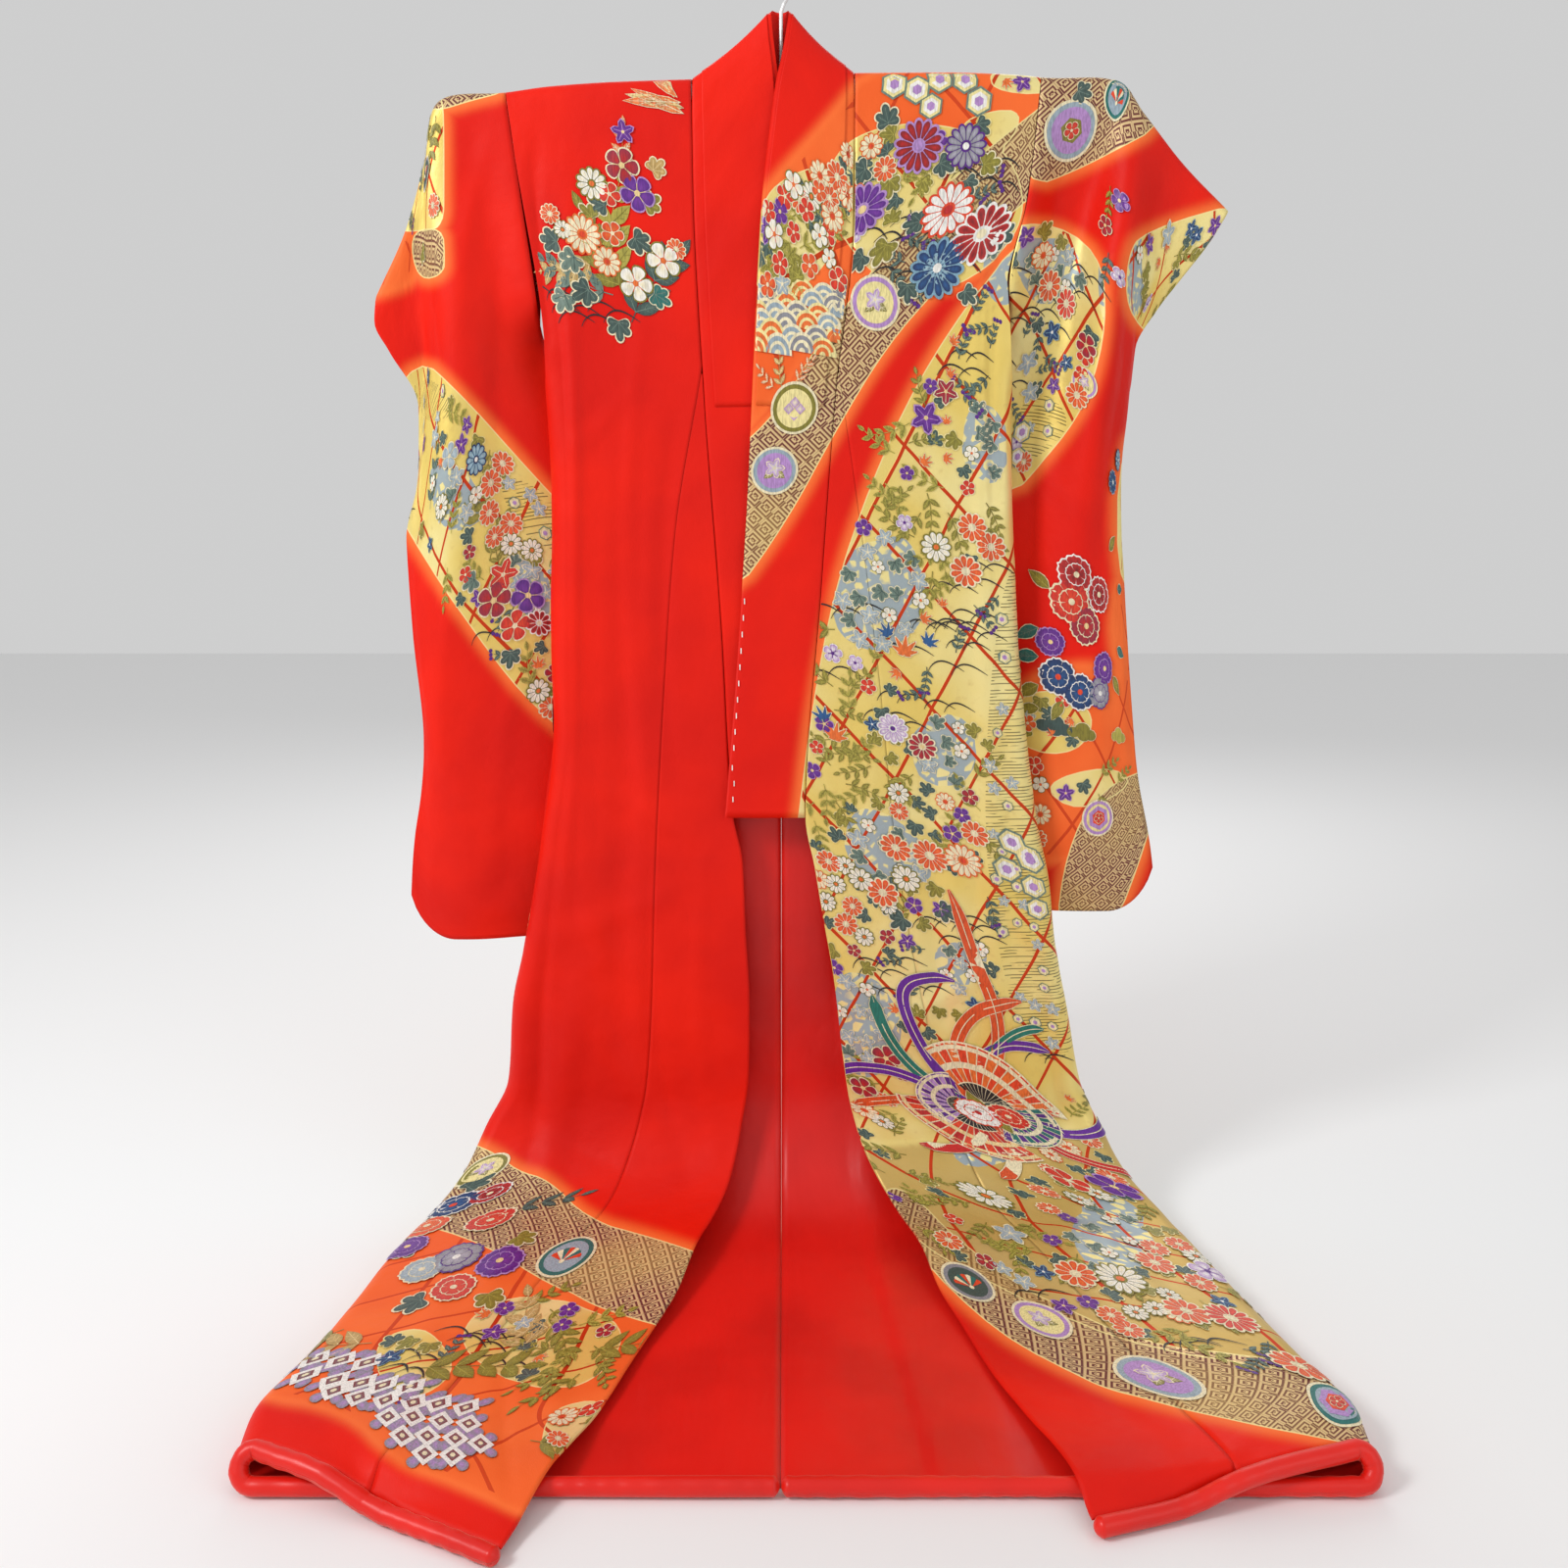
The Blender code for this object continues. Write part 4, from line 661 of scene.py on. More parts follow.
def sleeve_cloth(side, a, w, lift=0.0):
    """Sleeve surface with its creases, lifted along its own outward direction."""
    a, w = np.broadcast_arrays(np.asarray(a, float), np.asarray(w, float))
    e = 6e-4
    point = sleeve_point(side, a, w)
    lo, hi = np.clip(a - e, 0, SLEEVE_WIDTH), np.clip(a + e, 0, SLEEVE_WIDTH)
    across_it = (sleeve_point(side, hi, w) - sleeve_point(side, lo, w)) / (hi - lo)[..., None]
    lo, hi = np.clip(w - e, -SLEEVE_DROP, SLEEVE_DROP), np.clip(w + e, -SLEEVE_DROP, SLEEVE_DROP)
    down_it = (sleeve_point(side, a, hi) - sleeve_point(side, a, lo)) / (hi - lo)[..., None]
    normal = np.cross(down_it, across_it) * side
    normal /= np.maximum(np.linalg.norm(normal, axis=-1, keepdims=True), 1e-9)
    calm = ease((np.abs(w) - 0.03) / 0.05) * ease((SLEEVE_DROP - np.abs(w)) / 0.05) * ease(a / 0.03)
    sewn = ease((a - SLEEVE_WIDTH + 0.06) / 0.045)
    creased = relief(sleeve_drawn(side, a, w), SLEEVE_CREASES[side])
    fold = calm * creased * np.where(w > 0, 1.0, mix(0.5, -1.0, sewn))
    return point + normal * (lift + fold)[..., None]


# ------------------------------------------------------------------ zones of ground colour, and one of painted shade
def outlines(text):
    """Closed outlines of each zone from text: the zone and a colon, x and y of its points with commas, then a
    slash before the zone's next outline.  Their corners are rounded off later."""
    found = {}
    for part in text.split(";"):
        name, points = part.split(":")
        found[name.strip()] = [[[float(k) for k in point.split()] for point in loop.split(",")]
                               for loop in points.split("/")]
    return found


# The zone named last in ZONE_NAMES is no dye. It marks painted shade: gold darkened below the bend where the
# cloth turns onto the floor.
BODY_ZONES = {
    LEFT: outlines("""
        gold: 1078 212, 1005 285, 935 390, 888 495, 852 600, 829 720, 813 850, 800 950, 838 1130, 880 1192,
            930 1268, 1040 1324, 1170 1380, 1420 1412, 1600 1300, 1400 900, 1200 500, 1220 230 / 842 205,
            852 152, 900 128, 960 126, 1022 146, 1050 205, 1024 262, 962 300, 904 290, 868 256 / 775 205,
            808 176, 850 168, 862 206, 850 262, 812 300, 765 300 / 975 122, 1046 108, 1030 150, 985 168 /
            1012 70, 1090 70, 1070 98, 1010 92;
        fret: 1170 74, 1085 92, 1020 142, 935 215, 884 285, 835 350, 795 420, 740 470, 740 620, 804 530,
            852 440, 905 352, 960 290, 1040 207, 1110 165, 1180 150 / 895 1215, 950 1300, 1040 1378,
            1160 1428, 1280 1455, 1440 1486, 1440 1402, 1280 1386, 1170 1373, 1060 1324, 980 1270, 925 1212;
        orange: 893 60, 1120 60, 1060 118, 1000 160, 925 222, 878 290, 830 352, 790 412, 730 470, 735 255,
            790 182, 845 122;
        patch: 858 560, 925 540, 950 590, 934 655, 880 668, 846 622 / 1000 250, 1062 238, 1080 300,
            1010 322 / 926 736, 992 726, 998 800, 930 808 / 866 812, 938 842, 955 905, 862 892 / 985 400,
            1034 420, 1026 505, 978 478 / 845 985, 905 1000, 930 1080, 860 1110 / 1088 1232, 1150 1218,
            1190 1290, 1105 1306 / 960 1150, 1040 1120, 1060 1170, 985 1200 / 950 960, 1010 955, 1005 1000,
            955 1005;
        dash: 1030 560, 1066 590, 1084 900, 1110 1070, 1046 1090, 1004 900, 1008 700;
        dull: 780 1176, 900 1172, 1090 1152, 1700 1140, 1700 1700, 780 1700"""),
    RIGHT: outlines("""
        gold: 478 1345, 520 1322, 580 1330, 640 1352, 622 1400, 566 1424, 505 1402, 470 1376 / 380 1370,
            430 1352, 470 1395, 430 1430, 390 1418 / 560 1440, 620 1425, 600 1480, 550 1490;
        fret: 420 1150, 500 1172, 528 1196, 560 1204, 600 1246, 660 1262, 760 1296, 740 1370, 640 1346,
            560 1312, 500 1272, 400 1240;
        orange: 360 1230, 500 1262, 600 1318, 760 1360, 700 1440, 640 1560, 540 1550, 470 1516, 400 1492,
            352 1440, 250 1424, 200 1380;
        patch: 390 1300, 420 1255, 470 1262, 500 1290, 470 1344, 404 1342 / 330 1415, 380 1400, 400 1440,
            350 1452"""),
}
SLEEVE_ZONES = {
    LEFT: outlines("""
        gold: 1165 236, 1290 200, 1290 330, 1180 350, 1148 316, 1150 262 / 1000 246, 1060 222, 1124 256,
            1130 330, 1112 404, 1082 452, 1020 520, 990 400 / 1140 440, 1200 440, 1200 600, 1140 620 /
            1030 715, 1080 700, 1120 730, 1100 770, 1040 765 / 1060 800, 1130 780, 1160 800, 1100 830;
        fret: 1040 60, 1140 70, 1200 120, 1112 168, 1040 196 / 1190 776, 1120 806, 1088 868, 1076 960,
            1132 960, 1172 852;
        orange: 1020 690, 1150 672, 1200 740, 1180 850, 1088 880, 1030 880 / 1140 560, 1200 600, 1200 720,
            1130 690;
        patch: 1112 168, 1160 158, 1168 322, 1122 342 / 1030 246, 1100 240, 1108 300, 1050 320 / 1056 590,
            1110 560, 1140 640, 1080 690, 1054 650;
        dash: 1036 410, 1076 400, 1096 440, 1040 480"""),
    RIGHT: outlines("""
        gold: 425 360, 472 404, 568 512, 640 580, 640 800, 560 735, 508 680, 408 532, 380 450 / 452 96,
            453 140, 453 190, 453 228, 438 237, 330 234, 330 90, 430 70;
        fret: 440 60, 540 60, 520 94, 480 103, 452 112, 436 112 / 422 235, 452 233, 454 262, 453 280,
            430 286, 420 260;
        orange: 340 236, 424 234, 428 262, 426 288, 380 304, 340 300;
        patch: 430 470, 480 480, 500 530, 450 545 / 520 560, 560 575, 560 640, 528 620;
        dash: 500 480, 560 500, 600 560, 540 560 / 428 380, 460 400, 460 430, 428 430"""),
}
# Here too the last zone is painted shade: the gold darkened where the back lies low on the floor.
BACK_ZONES = outlines("""
    gold: 1240 40, 1075 200, 940 380, 820 560, 665 760, 520 1000, 400 1200, 250 1400, 250 1500, 500 1520,
        760 1450, 1000 1400, 1600 1330, 1600 600, 1400 100 / 560 170, 640 140, 700 190, 690 270, 620 320,
        560 270;
    fret: 1150 40, 1010 215, 870 400, 710 600, 570 800, 440 1000, 320 1170, 150 1300, 150 1420, 400 1205,
        520 1000, 665 762, 820 562, 940 380, 1075 200, 1240 40;
    orange: 150 1330, 420 1300, 800 1400, 1500 1340, 1500 1530, 800 1570, 100 1560;
    patch: 930 480, 1010 470, 1030 560, 940 580 / 760 800, 850 790, 870 880, 770 900 / 560 1080, 660 1070,
        680 1170, 570 1180 / 900 1080, 1010 1060, 1030 1170, 920 1190 / 740 1290, 850 1260, 880 1350,
        760 1370;
    dash: 1010 620, 1080 640, 1100 1000, 1030 1020;
    dull: 100 1250, 700 1300, 1600 1250, 1600 1700, 100 1700""")
ZONE_NAMES = ("gold", "fret", "orange", "patch", "dash", "dull")
OUTSIDE, REACH_UNITS = -0.5, 45.0    # field far outside, and how far out it is worked out


def rounded(loop, times=2):
    """Closed outline with its corners cut off twice at a quarter of each edge."""
    loop = np.asarray(loop, float)
    for _ in range(times):
        nxt = np.roll(loop, -1, axis=0)
        loop = np.stack([0.75 * loop + 0.25 * nxt, 0.25 * loop + 0.75 * nxt], 1).reshape(-1, 2)
    return loop


def inside(loop, place):
    """Signed distance in metres from an outline, above 0 inside: nearest edge, and crossings for the sign."""
    loop = rounded(loop)
    everywhere = place.reshape(-1, 2)
    close = np.flatnonzero(((everywhere > loop.min(0) - REACH_UNITS)
                            & (everywhere < loop.max(0) + REACH_UNITS)).all(1))
    flat = everywhere[close]
    near = np.full(len(flat), 1e9)
    odd = np.zeros(len(flat), bool)
    for a, b in zip(loop, np.roll(loop, -1, axis=0)):
        span = b - a
        t = np.clip((flat - a) @ span / max(span @ span, 1e-9), 0, 1)
        near = np.minimum(near, ((flat - a - t[:, None] * span) ** 2).sum(1))
        crosses = (a[1] > flat[:, 1]) != (b[1] > flat[:, 1])
        odd ^= crosses & (flat[:, 0] < a[0] + (flat[:, 1] - a[1]) * span[0] / (span[1] if span[1] else 1e-9))
    field = np.full(len(everywhere), OUTSIDE)
    field[close] = np.where(odd, 1, -1) * np.sqrt(near) * UNIT
    return field.reshape(place.shape[:-1])


def zone_fields(zones, place):
    """The distance of each zone: the greatest over its outlines."""
    fields = {}
    for name in ZONE_NAMES:
        field = np.full(place.shape[:-1], OUTSIDE)
        for loop in zones.get(name, ()):
            field = np.maximum(field, inside(loop, place))
        fields[name] = field
    return fields


def body_fields(side, v, s):
    """Zone distances of body cloth, from the front's outlines or the back's."""
    place, front = body_drawn(side, v, s)
    on_front, on_back = zone_fields(BODY_ZONES[side], place), zone_fields(BACK_ZONES, place)
    return {name: np.where(front, on_front[name], on_back[name]) for name in ZONE_NAMES}


# ------------------------------------------------------------------ shader arithmetic
class Field:
    """A shader value that takes part in Python arithmetic; every operation adds its Math node."""

    def __init__(self, paint, socket):
        self.paint, self.socket = paint, socket

    def _math(self, operation, *others):
        return self.paint.value("ShaderNodeMath", {"operation": operation}, [self, *others])

    def __add__(self, other):
        return self._math("ADD", other)

    def __mul__(self, other):
        return self._math("MULTIPLY", other)

    def __sub__(self, other):
        return self._math("SUBTRACT", other)

    def __rsub__(self, other):
        return self.paint.value("ShaderNodeMath", {"operation": "SUBTRACT"}, [other, self])

    def __truediv__(self, other):
        return self._math("DIVIDE", other)

    __radd__, __rmul__ = __add__, __mul__

    def above(self, edge):
        return self._math("GREATER_THAN", edge)

    def most(self, other):
        return self._math("MAXIMUM", other)

    def size(self):
        return self._math("ABSOLUTE")

    def fract(self):
        return self._math("FRACT")

    def rise(self, first, last):
        """Smooth step from 0 at first to 1 at last."""
        return self.paint.value("ShaderNodeMapRange", {"interpolation_type": "SMOOTHSTEP", "clamp": True},
                                {"Value": self, "From Min": first, "From Max": last})


class Paint:
    """Nodes of one material. value and colour wrap a node's first output; link sets a socket."""

    def __init__(self, name):
        self.material = bpy.data.materials.new(name)
        self.material.use_nodes = True
        self.nodes, self.links = self.material.node_tree.nodes, self.material.node_tree.links
        self.shader = self.nodes["Principled BSDF"]

    def link(self, target, source):
        """Joins a socket to a value: a link from a node, or a plain setting."""
        source = source.socket if isinstance(source, Field) else source
        if isinstance(source, bpy.types.NodeSocket):
            self.links.new(source, target)
        elif isinstance(source, tuple) and len(source) == 3 and target.type == "RGBA":
            target.default_value = (*source, 1.0)
        else:
            target.default_value = source

    def node(self, kind, settings=None, values=()):
        """New node of a kind; settings come first, then its sockets by name or by place."""
        node = self.nodes.new(kind)
        for key, setting in (settings or {}).items():
            setattr(node, key, setting)
        pairs = values.items() if isinstance(values, dict) else enumerate(values)
        for key, source in pairs:
            self.link(node.inputs[key], source)
        return node

    def value(self, kind, settings=None, values=()):
        return Field(self, self.node(kind, settings, values).outputs[0])

    def mix(self, share, first, second, blend="MIX"):
        """Colour that goes from first to second as share goes from 0 to 1."""
        node = self.node("ShaderNodeMix", {"data_type": "RGBA", "blend_type": blend})
        for index, source in ((0, share), (6, first), (7, second)):
            self.link(node.inputs[index], source)
        return node.outputs[2]

    def attribute(self, name, output="Fac"):
        return Field(self, self.node("ShaderNodeAttribute", {"attribute_name": name}).outputs[output])

    def noise(self, place, scale, detail=2.0, stretch=(1, 1, 1), rough=0.5):
        """Noise over place, stretched along each axis."""
        place = self.node("ShaderNodeVectorMath", {"operation": "MULTIPLY"}, [place, stretch]).outputs[0]
        return self.value("ShaderNodeTexNoise", None, {"Vector": place, "Scale": scale, "Detail": detail,
                                                       "Roughness": rough})

    def bump(self, height, depth, strength=1.0, under=None):
        """Normal raised by height, in metres, over another normal."""
        values = {"Height": height, "Distance": depth, "Strength": strength}
        if under is not None:
            values["Normal"] = under
        return self.node("ShaderNodeBump", None, values).outputs[0]

    def finish(self, **sockets):
        """Sets the shader's sockets by name, an underline for a space, and gives the material."""
        for name, source in sockets.items():
            self.link(self.shader.inputs[name.replace("_", " ")], source)
        return self.material


RED = (0.86, 0.013, 0.002)
DEEP_RED = (0.70, 0.008, 0.003)
LINING_RED = (0.80, 0.010, 0.005)
GLOW = (0.95, 0.17, 0.035)
ORANGE = (0.88, 0.125, 0.022)
GOLD = (0.82, 0.62, 0.16)
PALE_GOLD = (0.90, 0.78, 0.34)
OLD_GOLD = (0.52, 0.33, 0.10)
BROWN = (0.16, 0.045, 0.042)
FRET_GOLD = (0.70, 0.50, 0.25)
MIST = (0.33, 0.42, 0.48)
INK = (0.06, 0.055, 0.03)
LATTICE = (0.60, 0.050, 0.010)
THREAD_GOLD = (0.88, 0.66, 0.30)


GRAIN_SCALE, SLUB_SCALE, SLACK_SCALE = 900.0, 420.0, 14.0    # noise cells in a metre of cloth
GRAIN_DEPTH, SLACK_DEPTH, STITCH_DEPTH = 0.0004, 0.006, 0.0006    # metres of bump
DASH_GAP, DASH_HALF = 0.0042, 0.0005      # ruled dashes: from line to line, and half a line's width
FRET_CELL, FRET_TURNS = 0.0190, 4.6       # key fret: one cell, and rings in it
COBBLE_SCALE = 64.0                       # cells of the misted patches in a metre
RIM = (0.0005, 0.0011)                    # pale line round the gold and the fret: full to here, gone here


def weave(paint, uv, strength=0.35):
    """Crepe: fine irregular grain along and across the thread, and soft slack in the cloth."""
    grain = paint.noise(uv, GRAIN_SCALE, 1.0, (1.0, 0.35, 1.0))
    slub = paint.noise(uv, SLUB_SCALE, 2.0, (0.25, 1.0, 1.0))
    soft = paint.bump(paint.noise(uv, SLACK_SCALE, 3.0), SLACK_DEPTH, 0.5)
    return paint.bump(grain + slub * 0.6, GRAIN_DEPTH, strength, soft)


def figured_silk(name):
    """Dyed and woven ground: red with soft glows, gold with a red lattice, fret bands, misted patches, and
    painted shade on the gold below the bend to the floor.
    """
    paint = Paint(name)
    uv_node = paint.node("ShaderNodeUVMap", {"uv_map": "cut"})
    uv = uv_node.outputs[0]
    parts = paint.node("ShaderNodeSeparateXYZ", None, [uv])
    x, y = Field(paint, parts.outputs[0]), Field(paint, parts.outputs[1])
    zone = {key: paint.attribute(key) for key in ZONE_NAMES}
    wander = paint.noise(uv, 9.0, 2.0) - 0.5
    cloudy = paint.noise(uv, 5.0, 3.0)
    rubbed = paint.noise(uv, 60.0, 3.0)

    def lattice_line(slope, period, width, shift):
        """Hand-ruled lines: share of a period across, thin where it nears the middle."""
        across_lines = (x + y * slope + wander * 0.012 + shift) / period
        return 1 - ((across_lines.fract() - 0.5).size() * period).rise(width, width + 0.0005)

    red = paint.mix(cloudy.rise(0.30, 0.72), DEEP_RED, RED)
    edge = zone["gold"].most(zone["fret"]).most(zone["orange"] - 0.004)
    glow = edge.rise(-0.026, -0.0005)
    ground = paint.mix(glow * glow, red, GLOW)
    orange = paint.mix(cloudy.rise(0.35, 0.7), ORANGE, GLOW)
    ground = paint.mix(zone["orange"].rise(-0.004, 0.012), ground, orange)

    bright = paint.mix(cloudy.rise(0.38, 0.66), GOLD, PALE_GOLD)
    bright = paint.mix(rubbed.rise(0.58, 0.80) * 0.35, bright, OLD_GOLD)
    # Painted shade: below the bend to the floor the gold is mixed most of the way to old gold, as if it were
    # turned away from the light.
    bright = paint.mix(zone["dull"].rise(-0.006, 0.006) * 0.72, bright, OLD_GOLD)
    cobble = paint.value("ShaderNodeTexVoronoi", {"feature": "DISTANCE_TO_EDGE"},
                         {"Vector": uv, "Scale": COBBLE_SCALE, "Randomness": 0.75})
    misted = paint.mix(cobble.rise(0.12, 0.18) * paint.noise(uv, 32.0).rise(0.38, 0.46), MIST, PALE_GOLD)
    bright = paint.mix((zone["patch"] + wander * 0.03).above(0.0) * 0.92, bright, misted)
    dashes = 1 - (((y / DASH_GAP).fract() - 0.5).size() * DASH_GAP).rise(DASH_HALF, 0.0008)
    broken = paint.noise(uv, 70.0, 2.0, (0.35, 3.2, 1.0)).above(0.47)
    bright = paint.mix(zone["dash"].above(0.0) * dashes * broken * 0.8, bright, INK)
    ground = paint.mix(zone["gold"].above(0.0), ground, bright)
    lines = lattice_line(0.51, 0.103, 0.0022, 0.0).most(lattice_line(-0.93, 0.132, 0.0026, 0.03))
    figured = zone["gold"].above(0.0).most(zone["orange"].above(0.010) * 0.9)
    ground = paint.mix(lines * figured, ground, LATTICE)

    cx, cy = ((x + y) * 0.7 / FRET_CELL).fract() - 0.5, ((x - y) * 0.7 / FRET_CELL).fract() - 0.5
    ring = cx.size().most(cy.size()) * FRET_TURNS + cx.above(0.0) * 0.5
    key_fret = (ring.fract() - 0.5).size().above(0.24)
    band = paint.mix(key_fret, BROWN, FRET_GOLD)
    band = paint.mix(cloudy.rise(0.4, 0.7) * 0.25, band, GOLD)
    ground = paint.mix(zone["fret"].above(0.0), ground, band)
    rim = (1 - zone["gold"].size().rise(*RIM)).most(1 - zone["fret"].size().rise(*RIM))
    ground = paint.mix(rim * 0.85, ground, PALE_GOLD)

    metal = zone["gold"].above(0.0) * 0.30 + zone["fret"].above(0.0) * 0.15
    rough = 0.52 - metal * 0.35 + (rubbed - 0.5) * 0.15
    raised = (lines * figured).most(key_fret * zone["fret"].above(0.0))
    stitched = paint.bump(raised, STITCH_DEPTH, 0.5, weave(paint, uv))
    return paint.finish(Base_Color=ground, Roughness=rough, Metallic=metal, Normal=stitched,
                        Sheen_Weight=0.03, Sheen_Roughness=0.35, Sheen_Tint=(1.0, 0.30, 0.15),
                        Specular_IOR_Level=0.17)


def plain_silk(name, colour, deep, rough, sheen):
    """One dye with uneven depth, a fine crepe or satin grain and slack wrinkles."""
    paint = Paint(name)
    place = paint.node("ShaderNodeUVMap", {"uv_map": "cut"}).outputs[0]
    cloudy = paint.noise(place, 5.0, 3.0)
    colour = paint.mix(cloudy.rise(0.28, 0.68), deep, colour)
    streak = paint.noise(place, 120.0, 2.0, (1.0, 0.08, 1.0))
    wrinkle = paint.bump(paint.noise(place, 9.0, 4.0, (1.0, 0.5, 1.0)), 0.010, 0.55)
    normal = paint.bump(paint.noise(place, 800.0, 1.0), 0.0003, 0.3, wrinkle)
    return paint.finish(Base_Color=colour, Roughness=rough + (streak - 0.5) * 0.12, Normal=normal,
                        Sheen_Weight=sheen, Sheen_Roughness=0.35, Sheen_Tint=(1.0, 0.4, 0.3),
                        Specular_IOR_Level=0.40)


def thread_finish():
    """Embroidery and printed motifs: each shape's own tint, worked over with fine stitches."""
    paint = Paint("motif_thread")
    place = paint.node("ShaderNodeTexCoord").outputs["Object"]
    tint = paint.node("ShaderNodeAttribute", {"attribute_name": "tint"}).outputs["Color"]
    stitch = paint.noise(place, 520.0, 2.0, (1.0, 1.0, 0.22))
    shade = paint.mix(stitch.rise(0.35, 0.7) * 0.30, tint, (0.0, 0.0, 0.0))
    return paint.finish(Base_Color=shade, Roughness=0.42 + (stitch - 0.5) * 0.2,
                        Normal=paint.bump(stitch, STITCH_DEPTH, 0.5), Sheen_Weight=0.15, Sheen_Roughness=0.4)


def hard_finish(name, colour, rough, metal):
    """Moulded or enamelled surface with faint mottling and wear."""
    paint = Paint(name)
    place = paint.node("ShaderNodeTexCoord").outputs["Object"]
    mottle = paint.noise(place, 60.0, 3.0)
    dark = tuple(0.78 * k for k in colour)
    return paint.finish(Base_Color=paint.mix(mottle.rise(0.35, 0.65), dark, colour),
                        Roughness=rough + (mottle - 0.5) * 0.15, Metallic=metal,
                        Normal=paint.bump(paint.noise(place, 700.0, 2.0), 0.0002, 0.25))


# ------------------------------------------------------------------ walls
def make_mesh(name, verts, faces, looks, face_look=None, uv=None, fields=None, flat=None):
    """Mesh object of one piece at the origin, with its cut map, zone fields and materials."""
    mesh = bpy.data.meshes.new(name)
    mesh.from_pydata(np.asarray(verts, float).tolist(), [], [list(map(int, f)) for f in faces])
    for look in looks:
        mesh.materials.append(look)
    if face_look is not None:
        mesh.polygons.foreach_set("material_index", np.asarray(face_look, np.int32))
    smooth = np.ones(len(mesh.polygons), bool) if flat is None else ~np.asarray(flat, bool)
    mesh.polygons.foreach_set("use_smooth", smooth)
    if uv is not None:
        corner = np.empty(len(mesh.loops), np.int32)
        mesh.loops.foreach_get("vertex_index", corner)
        layer = mesh.uv_layers.new(name="cut")
        layer.data.foreach_set("uv", np.asarray(uv, np.float32)[corner].ravel())
    for key, field in (fields or {}).items():
        values = np.asarray(field, np.float32).ravel()
        mesh.attributes.new(key, "FLOAT", "POINT").data.foreach_set("value", values)
    mesh.update()
    obj = bpy.data.objects.new(name, mesh)
    bpy.context.scene.collection.objects.link(obj)
    return obj


def grid_faces(rows, cols, close_rows=False, close_cols=False):
    """Quads of a grid of rows by cols points, joined round where asked."""
    i, j = np.meshgrid(np.arange(rows - (not close_rows)), np.arange(cols - (not close_cols)), indexing="ij")
    i, j = i.ravel(), j.ravel()
    i1, j1 = (i + 1) % rows, (j + 1) % cols
    return np.stack([i * cols + j, i * cols + j1, i1 * cols + j1, i1 * cols + j], 1)


def wall(name, outer, inner, looks, uv=None, fields=None):
    """Closed thin wall: outer and inner grids joined by a rim; faces turned outwards."""
    rows, cols = outer.shape[:2]
    size = rows * cols
    quads = grid_faces(rows, cols)
    a, b, d = (outer.reshape(-1, 3)[quads[:, k]] for k in (0, 1, 3))
    out = (outer - inner).reshape(-1, 3)[quads[:, 0]]
    if (np.cross(b - a, d - a) * out).sum() < 0:
        quads = quads[:, ::-1]
    edge = np.concatenate([np.arange(cols), np.arange(2, rows) * cols - 1,
                           np.arange(size - 1, size - cols - 1, -1), np.arange(rows - 2, 0, -1) * cols])
    nxt = np.roll(edge, -1)
    rim = np.stack([nxt, edge, edge + size, nxt + size], 1)
    first = {(int(q[k]), int(q[(k + 1) % 4])) for q in quads[: cols] for k in range(4)}
    if (int(nxt[0]), int(edge[0])) in first:
        rim = rim[:, ::-1]
    faces = np.concatenate([quads, quads[:, ::-1] + size, rim])
    look = np.concatenate([np.zeros(len(quads)), np.ones(len(quads)), np.zeros(len(rim))])
    flat = np.concatenate([np.zeros(2 * len(quads)), np.ones(len(rim))]).astype(bool)
    twice = None if uv is None else np.concatenate([uv.reshape(-1, 2)] * 2)
    both = {key: np.concatenate([f.ravel()] * 2) for key, f in (fields or {}).items()}
    verts = np.concatenate([outer.reshape(-1, 3), inner.reshape(-1, 3)])
    return make_mesh(name, verts, faces, looks, look, twice, both, flat)


def cloth_area(grid):
    """Area of a grid surface: half the cross product of each quad's diagonals."""
    first = grid[1:, 1:] - grid[:-1, :-1]
    second = grid[1:, :-1] - grid[:-1, 1:]
    return float(np.linalg.norm(np.cross(first, second), axis=-1).sum() / 2)


def place_piece(obj, node):
    """A still piece of the part, fixed to the root empty, in place of a node of the solids if it has one,
    which it hides.
    """
    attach(obj, "root")
    if node:
        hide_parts(node)


def declare_cloth(grid):
    """Works out the area of a sheet's middle surface and does not keep it."""
    cloth_area(grid)


# ------------------------------------------------------------------ motifs
OLIVE, LIGHT_OLIVE = (0.24, 0.21, 0.022), (0.48, 0.42, 0.07)
SLATE, SAGE = (0.045, 0.085, 0.075), (0.17, 0.25, 0.20)
TEAL = (0.010, 0.16, 0.14)
WINE, CARMINE, SCARLET = (0.22, 0.006, 0.010), (0.55, 0.012, 0.010), (0.80, 0.060, 0.012)
TANGERINE = (0.85, 0.17, 0.025)
VIOLET, LILAC = (0.10, 0.012, 0.24), (0.48, 0.27, 0.60)
NAVY, BLUE, SKY = (0.010, 0.030, 0.12), (0.020, 0.10, 0.28), (0.22, 0.40, 0.52)
CREAM, WHITE = (0.90, 0.80, 0.52), (0.92, 0.90, 0.84)
GREY, BLACK = (0.27, 0.27, 0.30), (0.015, 0.013, 0.015)


def blend(first, second, t):
    """Colour at share t from first to second."""
    return tuple(a + (b - a) * t for a, b in zip(first, second))


FOLLOW_STEP = 0.011        # longest step of a flat shape that must follow the cloth


